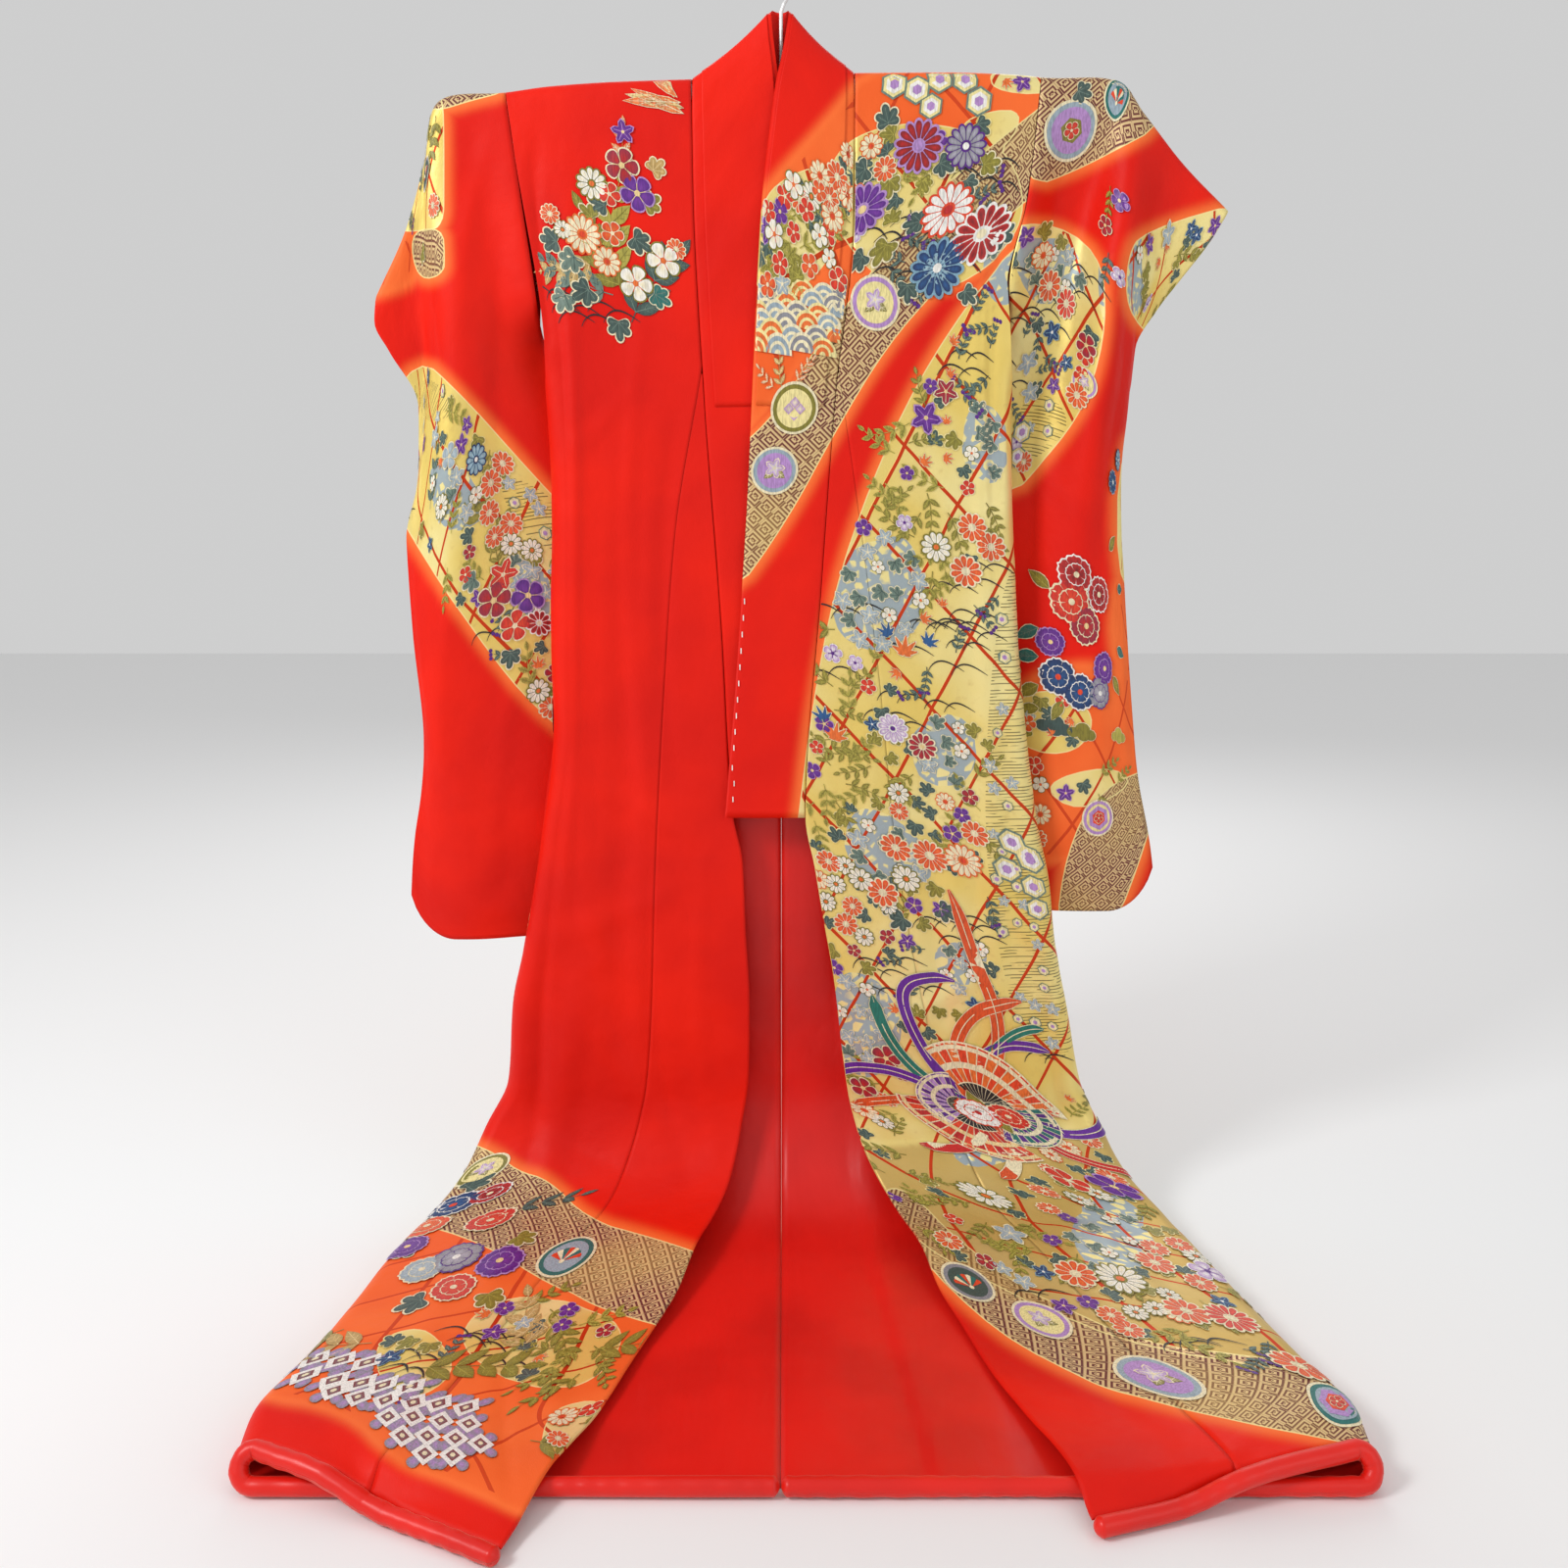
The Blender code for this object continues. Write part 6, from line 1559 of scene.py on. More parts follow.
SLEEVE_MOTIFS = {
    LEFT: motif_rows("""
        roundel hexagon: 1093 136 34 0.2 pearl;
        roundel fan: 1142 98 24 0.2 teal;
        lobed: 1100 92 18 0.3 slate;
        sprig: 1196 262 46 -0.7 olive, 1168 292 40 0.1 olive;
        bell: 1190 240 18 0.3 mist, 1222 240 13 0 blue, 1170 250 13 0 violet;
        sprig: 1134 190 30 1.2 olive;
        blossom: 1146 205 12 0.2 violet;
        sprig: 1132 260 34 1.4 slate;
        blossom: 1130 232 11 0.2 plum, 1140 285 11 0.2 lilac, 1108 352 15 0.2 plum;
        roundel flower: 1108 390 17 0.3 rose;
        mum: 1070 290 20 0.1 orange, 1088 308 19 0.4 red, 1062 262 16 0.4 rust, 1134 492 16 0.3 blue,
            1138 470 15 0.1 sky;
        bell: 1048 372 17 0.1 mist, 1074 340 16 0.5 blue;
        lobed: 1058 330 16 1 slate;
        bell: 1050 402 15 0.6 mist;
        honey: 1044 440 15 0 -, 1040 466 14 0 -;
        leaf: 1060 640 34 2.5 teal, 1062 668 34 2.9 teal, 1060 700 34 2.4 olive, 1070 600 32 3.6 olive,
            1132 560 32 -0.9 olive, 1140 600 30 -0.2 teal, 1140 660 32 0.2 teal, 1136 690 34 0.8 olive,
            1084 716 32 1.9 olive, 1060 720 30 2.8 olive;
        peony: 1100 586 26 0.2 scarlet, 1092 614 30 0.2 red, 1122 606 26 0.9 scarlet, 1108 640 28 0.6 plum,
            1078 690 27 0.1 indigo, 1104 704 27 0.5 indigo, 1126 680 25 0.5 violet, 1122 706 24 0.2 smoke,
            1072 656 20 0.7 violet;
        roundel hexagon: 1120 834 28 0.3 rose;
        cloud: 1078 738 24 0 slate, 1106 748 22 0 olive, 1140 752 20 0 light;
        blossom: 1056 780 13 0 red, 1062 800 12 0 cream;
        mum: 1062 830 16 0 rust, 1058 856 15 0 orange;
        blossom: 1050 738 12 0 orange"""),
    RIGHT: motif_rows("""
        bell: 512 584 21 0.3 red;
        blossom: 503 612 23 0.2 plum, 537 606 22 0.7 violet, 524 638 20 0.1 red;
        mum: 552 636 17 0.1 scarlet, 548 706 16 0.1 cream;
        lobed: 486 592 20 3 sage, 540 574 20 -0.7 olive, 520 664 20 1.9 slate;
        sprig: 470 540 70 -0.7 olive, 440 520 58 -1.2 sage;
        blossom: 460 466 16 0.2 mist;
        mum: 484 470 17 0.2 sky;
        bell: 446 446 15 0.5 mist;
        mum: 452 516 16 0.1 cream;
        sprig: 455 420 50 0.6 light;
        mum: 444 210 14 0 orange;
        lobed: 432 256 16 1.2 olive;
        roundel fan: 436 180 15 0.2 steel"""),
}
# flowing ribbons tied to a bundle of fans: start, bend and end in the drawing plane, half width in mm
RIBBONS = (
    ((1000, 1128), (1096, 1070), (1062, 885), 8.0, "tangerine"),
    ((1000, 1128), (930, 960), (1040, 985), 7.5, "violet"),
    ((1000, 1128), (1000, 1010), (1100, 1008), 8.0, "tangerine"),
    ((1000, 1128), (930, 1070), (946, 1000), 7.5, "teal"),
    ((1000, 1128), (1040, 1030), (1110, 1066), 7.0, "violet"),
    ((1000, 1128), (930, 1060), (868, 1088), 7.0, "violet"),
    ((1000, 1128), (930, 1110), (870, 1124), 6.5, "tangerine"),
    ((1000, 1128), (1060, 1030), (1112, 1040), 6.0, "teal"),
    ((1000, 1132), (950, 1200), (890, 1176), 7.0, "scarlet"),
    ((1000, 1132), (1060, 1190), (1122, 1146), 7.0, "violet"),
    ((1000, 1132), (985, 1205), (930, 1222), 6.5, "tangerine"),
    ((1000, 1132), (1030, 1210), (1086, 1212), 6.5, "scarlet"),
)
RIBBON_TINTS = {"violet": (0.13, 0.012, 0.32), "tangerine": (0.74, 0.085, 0.010),
                "teal": (0.008, 0.19, 0.14), "scarlet": (0.62, 0.016, 0.010)}
KNOT = (1000.0, 1128.0)


def draw_motif(art, spot, kind, size, turn, tints):
    """One placed motif, by its kind."""
    r = size / 1000.0
    if kind == "mum":
        chrysanthemum(art, spot, r, TINTS[tints], turn, 14 if size > 22 else 11, 6)
    elif kind == "blossom":
        blossom(art, spot, r, TINTS[tints], turn, 5, 7)
    elif kind == "bell":
        bellflower(art, spot, r, TINTS[tints], turn, 7)
    elif kind == "peony":
        peony(art, spot, r, TINTS[tints], turn, 7)
    elif kind == "leaf":
        leaf(art, spot, r, r * 0.24, turn, *LEAF_TINTS[tints], 3, (0, 0), CREAM)
    elif kind == "blade":
        leaf(art, spot, r, r * 0.10, turn, *LEAF_TINTS[tints], 3, (0, 0), CREAM)
    elif kind == "lobed":
        lobed_leaf(art, spot, r, turn, *LEAF_TINTS[tints], CREAM, 3)
    elif kind == "maple":
        maple(art, spot, r, turn, LEAF_TINTS[tints][0], CREAM, 3)
    elif kind == "sprig":
        sprig(art, spot, r, turn, 4 if size > 60 else 3, *LEAF_TINTS[tints], 1)
    elif kind == "grass":
        grass(art, spot, r, turn, LEAF_TINTS[tints][0], 1)
    elif kind == "cloud":
        cloud(art, spot, r, LEAF_TINTS[tints][0], CREAM, 2)
    elif kind == "honey":
        honeycomb(art, spot, r, (SAGE, PALE_GOLD, WHITE, LILAC), 3)
    else:
        roundel(art, spot, r, ROUND_TINTS[tints], kind.split()[1], 2, (0, 0), turn)


def draw_rows(art, rows, find):
    """Motifs of a table, each at the spot of the cloth nearest to its drawing place."""
    for kind, x, y, size, turn, tints in rows:
        draw_motif(art, find((x, y)), kind, size, turn, tints)


def draw_ribbons(art, find):
    """Ribbons on quadratic curves from the knot, then folding fans, leaves and two peonies over it."""
    knot = find(KNOT)
    for start, bend, end, half, tint in RIBBONS:
        a, b, c = (np.array(p, float) for p in (start, bend, end))
        t = np.linspace(0, 1, 44)[:, None]
        line = ((1 - t) ** 2 * a + 2 * t * (1 - t) * b + t ** 2 * c - KNOT) * UNIT
        ribbon(art, knot, line, half / 1000.0, RIBBON_TINTS[tint], CREAM, 9, CREAM)
    folding_fan(art, knot, 0.088, -0.85, (SCARLET, TANGERINE, CREAM, BLACK), 12, (0.010, -0.004))
    folding_fan(art, knot, 0.078, 2.45, (CARMINE, SCARLET, THREAD_GOLD, BLACK), 12, (-0.022, 0.012))
    folding_fan(art, knot, 0.060, 1.1, (VIOLET, TEAL, CREAM, BLACK), 15, (0.020, 0.006))
    folding_fan(art, knot, 0.052, -2.5, (VIOLET, LILAC, CREAM, BLACK), 15, (-0.020, 0.002))
    for k, angle in enumerate((0.5, 1.5, 2.6, 3.6, 4.8, 5.8)):
        leaf(art, knot, 0.036, 0.009, angle, *LEAF_TINTS[("teal", "olive", "slate")[k % 3]], 18,
             (0.0, 0.010), CREAM)
    peony(art, knot, 0.026, TINTS["snow"], 0.3, 21, (-0.012, 0.010))
    peony(art, knot, 0.023, TINTS["red"], 0.7, 21, (0.022, 0.016))


def taken(places):
    """Places that the bundle of fans and ribbons keeps for itself."""
    return (((places - KNOT) / (84.0, 96.0)) ** 2).sum(-1) < 1.0


def scatter(art, spots, places, fields, spacing, seed):
    """Small flowers, leaves and sprigs over the gold, in drifts of one kind; seeded, so always the same."""
    rng = np.random.default_rng(seed)
    kept = np.empty((0, 2))
    for i in rng.permutation(np.flatnonzero((fields["gold"] > 0.009) & ~taken(places))):
        here = places[i] * UNIT
        if len(kept) and ((kept - here) ** 2).sum(1).min() < spacing ** 2:
            continue
        kept = np.vstack([kept, here])
        x, y = places[i]
        drift = math.sin(x / 47.0 + 2.0) + math.sin(y / 61.0) + math.sin((x + y) / 39.0)
        turn, size, spot = rng.uniform(0, 6.28), rng.uniform(0.85, 1.15), spots[i]
        pick = rng.random()
        if fields["dash"][i] > 0:
            if pick < 0.45:
                honeycomb(art, spot, 0.008 * size, (SAGE, PALE_GOLD, CREAM, LILAC), 2)
            elif pick < 0.75:
                bellflower(art, spot, 0.010 * size, TINTS["mist"], turn, 2)
        elif fields["patch"][i] > 0:
            if pick < 0.4:
                lobed_leaf(art, spot, 0.015 * size, turn, SAGE, SLATE, CREAM, 1)
            elif pick < 0.7:
                bellflower(art, spot, 0.013 * size, TINTS["mist"], turn, 3)
            else:
                blossom(art, spot, 0.010 * size, TINTS["cream"], turn, 5, 3)
        elif drift > 1.0:
            if pick < 0.5:
                chrysanthemum(art, spot, 0.0145 * size, TINTS[("orange", "rust", "orange", "cream")[i % 4]],
                              turn, 11, 3)
            else:
                lobed_leaf(art, spot, 0.016 * size, turn,
                           *(SLATE, SAGE) if pick < 0.8 else (OLIVE, LIGHT_OLIVE), PALE_GOLD, 1)
        elif drift > 0.0:
            if pick < 0.72:
                sprig(art, spot, 0.042 * size, turn, 3, *LEAF_TINTS["olive" if pick < 0.4 else "light"], 1)
            else:
                blossom(art, spot, 0.011 * size, TINTS[("plum", "lilac", "red", "violet")[i % 4]], turn, 5, 3)
        elif drift > -0.9:
            if pick < 0.5:
                lobed_leaf(art, spot, 0.016 * size, turn, *LEAF_TINTS["olive" if pick < 0.25 else "slate"],
                           PALE_GOLD, 1)
            elif pick < 0.8:
                bellflower(art, spot, 0.012 * size, TINTS[("blue", "violet", "mist")[i % 3]], turn, 3)
            else:
                maple(art, spot, 0.012 * size, turn, TANGERINE, CREAM, 2)
        elif pick < 0.4:
            grass(art, spot, 0.040 * size, 0.0, BLACK, 1, (0, 0), 2)
        elif pick < 0.8:
            sprig(art, spot, 0.030 * size, turn, 3, *LEAF_TINTS["slate"], 1, (0, 0), 0.2, VIOLET)


# ------------------------------------------------------------------ where motifs lie
def nearest_spot(spots, places):
    """Function that gives the cloth position whose drawing place is nearest."""
    def find(place):
        """Spot of the cloth whose drawing place is nearest."""
        return spots[((places - np.asarray(place, float)) ** 2).sum(1).argmin()]
    return find


FLOOR_LEVEL = 1.40        # the side fold lies on the floor from here on


def body_surface(side):
    """Laying function of the body: a motif's x runs along the arc, its y down the level."""
    def lay(spots, places, lift):
        """Points and normals of the cloth at spots moved by places, in metres across and down."""
        start, end, _ = fold_ends(side, spots[:, 0])
        on_front = spots[:, 1] > 0.5 * (start + end)
        stretch = 1 + 0.35 * ease((spots[:, 0] - 1.30) / 0.25)
        v = np.clip(spots[:, 0] + places[:, 1] * stretch, 0.001, 2.2)
        s = spots[:, 1] + np.where(on_front, -side, side) * places[:, 0]
        over = on_front & (spots[:, 0] > FLOOR_LEVEL) & (s < 0.5 * (start + end))
        # Drawn in at the fold, so none is under the cloth.
        s = np.where(over, 0.5 * (start + end) * 0.9 + 0.1 * s, s)
        s = np.clip(s, 0.0008, front_arc(side, v, curve(FRONT_EDGE[side], v)) - 0.0010)
        v = np.minimum(v, hem_level(side, s, np.minimum(v, 2.05)) - 0.0015)
        return body_cloth(side, v, s, WALL / 2 + lift), body_point(side, v, s, 0.001) - body_point(side, v, s)
    return lay


def between(rows, cols, r, c, *values):
    """Bilinear lookup of grids over rows by cols at the places r, c."""
    i = np.clip(np.searchsorted(rows, r, side="right") - 1, 0, len(rows) - 2)
    j = np.clip(np.searchsorted(cols, c, side="right") - 1, 0, len(cols) - 2)
    p = ((r - rows[i]) / (rows[i + 1] - rows[i]))[:, None]
    q = ((c - cols[j]) / (cols[j + 1] - cols[j]))[:, None]
    return [mix(mix(k[i, j], k[i, j + 1], q), mix(k[i + 1, j], k[i + 1, j + 1], q), p) for k in values]


def sleeve_surface(side, w_axis, a_axis, grid, n):
    """Laying function of a sleeve: a motif's x runs across it, its y down the front or the back."""
    def lay(spots, places, lift):
        """Points and normals of the sleeve at spots moved by places; negative levels are its back."""
        sign = np.where(spots[:, 1] < 0, -1.0, 1.0)
        a = np.clip(spots[:, 0] + side * places[:, 0], 0.001, SLEEVE_WIDTH - 0.001)
        w = sign * np.clip(np.abs(spots[:, 1]) + places[:, 1], 0.001, SLEEVE_DROP - 0.001)
        point, normal = between(w_axis, a_axis, w, a, grid, n)
        return point + normal * (WALL / 2 + lift)[:, None], normal
    return lay


# ------------------------------------------------------------------ cloth grids
ROW_STEP = 0.0075
BODY_STEPS, OVERLAP_STEPS, SLEEVE_STEPS, LINING_STEPS = 70, 30, 60, 40


OVER_BAR = [0.0025, 0.006, 0.010, 0.0145, 0.0204, 0.027, 0.034]    # close levels over the bar


def even_levels(last):
    """Levels in even steps from under the bar to the last."""
    top = 0.040
    return np.linspace(top, last, int((last - top) / ROW_STEP) + 1)


def levels_from(first):
    """Close together over the shoulder, then even, ending on the hem."""
    levels = np.concatenate([OVER_BAR, even_levels(BACK_HEM)])
    return levels[levels > first][:, None]


def along_row(side, v, s, toward):
    """Direction along a row, measured on the side that lies away from the side seam."""
    return (body_cloth(side, v, s + toward * 4e-4) - body_cloth(side, v, s)) * toward


def cloth_normals(grid, row, outward):
    """Unit normals from the steps down the grid and the direction along its rows, turned outwards."""
    n = np.cross(np.gradient(grid, axis=0), row)
    n /= np.maximum(np.linalg.norm(n, axis=-1, keepdims=True), 1e-12)
    return n * (1.0 if (n * outward).sum() > 0 else -1.0)


def cut_map(side, v, s, sign):
    """Place on the cut cloth: distance from the centre seam, and length from the shoulder."""
    return np.stack([np.minimum(s, 2 * seam_arc(side, v) - s) + 0 * v, sign * v], -1)


def back_rows(side, first, u):
    """Levels, columns, points and normals of the back panel, from the spine to the side."""
    v, s = panel(side, levels_from(first), lambda w: neck_x(side, w),
                 lambda w: seam_arc(side, w) - SEAM / 2, u)
    return v, s, body_cloth(side, v, s), along_row(side, v, s, -1)


def build_body(side, tag, looks):
    """One width of cloth from the back hem over the shoulder to the front hem."""
    u = np.linspace(0, 1, BODY_STEPS + 1)[None, :]
    v1, s1, back, row1 = back_rows(side, 0.0, u)
    v2, s2 = panel(side, levels_from(0.0), lambda w: seam_arc(side, w) + SEAM / 2,
                   lambda w: front_arc(side, w, front_inner(side, w)), 1 - u)
    v0 = np.zeros_like(u)
    s0 = spread(side, v0, neck_x(side, v0), seam_arc(side, v0) - SEAM / 2, u)
    v, s = np.concatenate([v1[::-1], v0, v2]), np.concatenate([s1[::-1], s0, s2])
    grid = np.concatenate([back[::-1], body_cloth(side, v0, s0), body_cloth(side, v2, s2)])
    row = np.concatenate([row1[::-1], along_row(side, v0, s0, -1), -along_row(side, v2, s2, 1)])
    n = cloth_normals(grid, row, body_cloth(side, v, s, 0.001) - grid)
    sign = np.concatenate([-np.ones(len(v1)), np.ones(len(v2) + 1)])[:, None]
    obj = wall("silk_body_" + tag, grid + n * WALL / 2, grid - n * WALL / 2, looks,
               cut_map(side, v, s, sign), body_fields(side, v, s))
    place_piece(obj, "body_" + tag)
    declare_cloth(grid)
    return v2, s2, v1, s1


def build_overlap(side, tag, looks):
    """The narrow front panel between the body and the collar."""
    u = np.linspace(0, 1, OVERLAP_STEPS + 1)[None, :]
    v, s = panel(side, levels_from(OVERLAP_TOP),
                 lambda w: front_arc(side, w, curve(OVERLAP_SEAM[side], w) - SEAM / 2),
                 lambda w: front_arc(side, w, curve(FRONT_EDGE[side], w) + SEAM / 2), u)
    grid = body_cloth(side, v, s)
    n = cloth_normals(grid, along_row(side, v, s, -1), body_cloth(side, v, s, 0.001) - grid)
    obj = wall("silk_overlap_" + tag, grid + n * WALL / 2, grid - n * WALL / 2, looks,
               cut_map(side, v, s, 1.0), body_fields(side, v, s))
    place_piece(obj, "overlap_" + tag)
    declare_cloth(grid)
    return v, s


def build_lining(side, tag, looks):
    """Lining of the back's skirt, just inside the back, with a soft pleat on the wearer's left."""
    u = np.linspace(0, 9 / 11, LINING_STEPS + 1)[None, :]
    v, s, back, row = back_rows(side, LINING_TOP - 0.001, u)
    lift = WALL / 2 + SEAM + LINING_WALL / 2 + 0 * s
    if side == LEFT:
        past = s - curve(PLEAT, v)
        live = ease((v - 0.95) / 0.25)
        fading = 1 - ease((past - PLEAT_WIDTH + 0.04) / 0.04)
        lift = lift + PLEAT_RISE * live * ease(past / PLEAT_EDGE) * fading
    n = cloth_normals(back, row, body_cloth(side, v, s, -0.001) - back)
    slack = 0.0012 * bump((v - 1.15) / 0.42) * (1 + np.sin(s / 0.021 + 6 * v)) + 0.0004
    grid = back + n * (lift + slack * ease((v - LINING_TOP) / 0.1) * ease((BACK_HEM - v) / 0.15))[..., None]
    obj = wall("silk_lining_" + tag, grid + n * LINING_WALL / 2, grid - n * LINING_WALL / 2, looks,
               cut_map(side, v, s, 1.0))
    place_piece(obj, "lining_" + tag)
    declare_cloth(grid)


def sleeve_grid(side):
    """Levels, columns, points and normals of a sleeve, from the back edge over the fold to the front edge."""
    half = np.concatenate([OVER_BAR, even_levels(SLEEVE_DROP)])
    w_axis = np.concatenate([-half[::-1], [0.0], half])
    a_axis = np.linspace(0, SLEEVE_WIDTH, SLEEVE_STEPS + 1)
    w, a = np.meshgrid(w_axis, a_axis, indexing="ij")
    e = 5e-4
    lo, hi = np.maximum(a - e, 0.0), np.minimum(a + e, SLEEVE_WIDTH)
    grid = sleeve_cloth(side, a, w)
    row = sleeve_cloth(side, hi, w) - sleeve_cloth(side, lo, w)
    n = cloth_normals(grid, row, sleeve_cloth(side, a, w, 0.001) - grid)
    return w_axis, a_axis, grid, n


def build_sleeve(side, tag, looks):
    """The long sleeve with its motifs."""
    w_axis, a_axis, grid, n = sleeve_grid(side)
    w, a = np.meshgrid(w_axis, a_axis, indexing="ij")
    art = sleeve_art(side, tag, sleeve_surface(side, w_axis, a_axis, grid, n))
    fields = zone_fields(SLEEVE_ZONES[side], sleeve_drawn(side, a, w))
    obj = wall("silk_sleeve_" + tag, grid + n * WALL / 2, grid - n * WALL / 2, looks, np.stack([a, w], -1),
               fields)
    place_piece(obj, "sleeve_" + tag)
    declare_cloth(grid)


# ------------------------------------------------------------------ collar
COLLAR_SHARES = np.array([0.0, 0.03, 0.08, 0.15, 0.25, 0.36, 0.48, 0.60, 0.72, 0.83, 0.92, 0.97, 1.0])
COLLAR_HALF = np.array([0.4, 0.75, 0.93, 1.0, 1.0, 1.0, 1.0, 1.0, 1.0, 1.0, 0.9, 0.6, 0.0]) * COLLAR_WALL / 2
COVER_SHARES = np.array([0.12, 0.14, 0.20, 0.30, 0.42, 0.55, 0.68, 0.80, 0.90, 0.94, 0.95])


def collar_rows(side, end, shares):
    """Stations, points and normals of the band's middle, close together from the neck to the lower end."""
    stations = np.concatenate([[-0.032, -0.026, -0.0204, -0.014, -0.007],
                               np.arange(0.004, end - 0.004, 0.0075), [end]])
    rows = [collar_frame(side, float(v), shares) for v in stations]
    return stations, np.array([r[0] for r in rows]), np.array([r[1] for r in rows])


def neck_ring(shares):
    """Points and normals across the band at the centre back."""
    a = body_point(LEFT, np.array([0.040]), np.array([0.0]))[0] + np.array([0, 0, 0.0006])
    b = np.array([0.0, 0.0090, -0.0555])
    return mix(a, b, shares[:, None]), np.broadcast_to([0.0, 1.0, 0.0], (len(shares), 3))


def collar_wrinkle(side, v, t):
    """Slack across the band: shallow slanting waves, none at its edges or neck."""
    live = ease(v / 0.08) * 4 * t * (1 - t)
    return live * (0.0007 * np.sin(v / 0.013 + 5 * t + side) * np.sin(v / 0.071 + 1.3)
                   + 0.0004 * np.sin(v / 0.031 - 3 * t))


def collar_band(end, shares, low, high):
    """Closed band swept from one lower end round the neck to the other, low and high off the middle."""
    parts = []
    for side, order in ((LEFT, -1), (RIGHT, 1)):
        v, mid, n = collar_rows(side, end, shares)
        t = np.broadcast_to(shares, mid.shape[:2])
        v2 = np.broadcast_to(v[:, None], t.shape)
        thin = (1 - 0.35 * bump(v2 / 0.045))[..., None]
        ripple = collar_wrinkle(side, v2, t)[..., None]
        top, under = mid + n * (high[:, None] * thin + ripple), mid + n * (low[:, None] * thin + ripple)
        place = drawn(top)
        fields = zone_fields(BODY_ZONES[side], place)
        fields = {key: np.where(v2 < 0, OUTSIDE, f) for key, f in fields.items()}
        uv = np.stack([t * 0.09, side * (v2 + 0.06)], -1)
        parts.append([k[::order] for k in (top, under, uv)]
                     + [{key: f[::order] for key, f in fields.items()}])
    mid, n = neck_ring(shares)
    centre = [(mid + n * high[:, None])[None], (mid + n * low[:, None])[None],
              np.stack([shares * 0.09, 0 * shares], -1)[None],
              {key: np.full((1, len(shares)), OUTSIDE) for key in ZONE_NAMES}]
    rows = [parts[0], centre, parts[1]]
    top, under, uv = (np.concatenate([r[k] for r in rows]) for k in range(3))
    fields = {key: np.concatenate([r[3][key] for r in rows]) for key in ZONE_NAMES}
    return top, under, uv, fields


def collar_surface(side, grid_v, mid, normals):
    """Laying function of the collar: spots are (level, share across); bilinear between stations."""
    widths = np.linalg.norm(mid[:, -1] - mid[:, 0], axis=-1)

    def lay(spots, places, lift):
        """Points and normals of the collar at spots moved by places, above the over-collar."""
        v = np.clip(spots[:, 0] + places[:, 1], 0.0, COLLAR_END - 0.001)
        t = np.clip(spots[:, 1] - side * places[:, 0] / np.interp(v, grid_v, widths), 0.02, 0.985)
        point, n = between(grid_v, COLLAR_SHARES, v, t, mid, normals)
        over = np.where((v < COVER_END + 0.004) & (t > 0.08) & (t < 0.97), SEAM + COVER_WALL, 0.0)
        return point + n * (COLLAR_WALL / 2 + over + lift + collar_wrinkle(side, v, t))[:, None], n
    return lay


# ------------------------------------------------------------------ the garment
silk = figured_silk("figured_silk")
under_silk = plain_silk("lining_satin", LINING_RED, (0.62, 0.006, 0.003), 0.40, 0.35)
roll_silk = plain_silk("padded_hem_satin", (0.84, 0.014, 0.006), (0.66, 0.008, 0.004), 0.36, 0.4)
thread = thread_finish()
SIDES = (("left", LEFT, "gold_brocade"), ("right", RIGHT, "red_silk"))


def lay_art(art, name, surface):
    """Motifs gathered in art as one piece of thread on the surface."""
    obj = art.lay(name, surface, thread)
    place_piece(obj, None)
    return obj


FACE_DOWN = 1.42          # level from which the back lies face down on the floor and carries no motifs


def body_art(side, tag):
    """Motifs of the body's front and back, laid on the body and overlap together."""
    v, s = np.meshgrid(np.arange(0.01, BACK_HEM + 0.03, 0.006), np.linspace(0.003, 1.0, 160), indexing="ij")
    start, end, _ = fold_ends(side, v)
    last = front_arc(side, v, curve(FRONT_EDGE[side], v))
    s = 0.003 + (last - 0.006) * s
    place, front = body_drawn(side, v, s)
    spots = np.stack([v, s], -1)
    live = (v < hem_level(side, s, v) - 0.004) & (s > np.where(front, end, 0.0)) & (front | (s < start))
    found = {}
    for key, mask in (("front", live & front), ("back", live & ~front & (v < FACE_DOWN))):
        found[key] = (spots[mask], place[mask])
    fields = {key: body_fields(side, *found[key][0].T) for key in found}
    front_art, back_art = Ornament(), Ornament()
    find = nearest_spot(*found["front"])
    scatter(front_art, *found["front"], fields["front"], 0.0215, 11 + side)
    scatter(back_art, *found["back"], fields["back"], 0.0235, 23 + side)
    if side == RIGHT:
        for x0, y0, count in ((322, 1386, 3), (312, 1406, 5), (340, 1424, 6), (396, 1446, 4),
                              (410, 1466, 4), (436, 1486, 2)):
            for k in range(count):
                treasure_tile(front_art, find((x0 + 27 * k, y0 + 3 * k)), 0.0175, 3)
    draw_rows(front_art, BODY_MOTIFS[side], find)
    if side == LEFT:
        draw_ribbons(front_art, find)
    draw_rows(back_art, BACK_MOTIFS[side], nearest_spot(*found["back"]))
    surface = body_surface(side)
    return [lay_art(front_art, "motifs_front_" + tag, surface),
            lay_art(back_art, "motifs_back_" + tag, surface)]


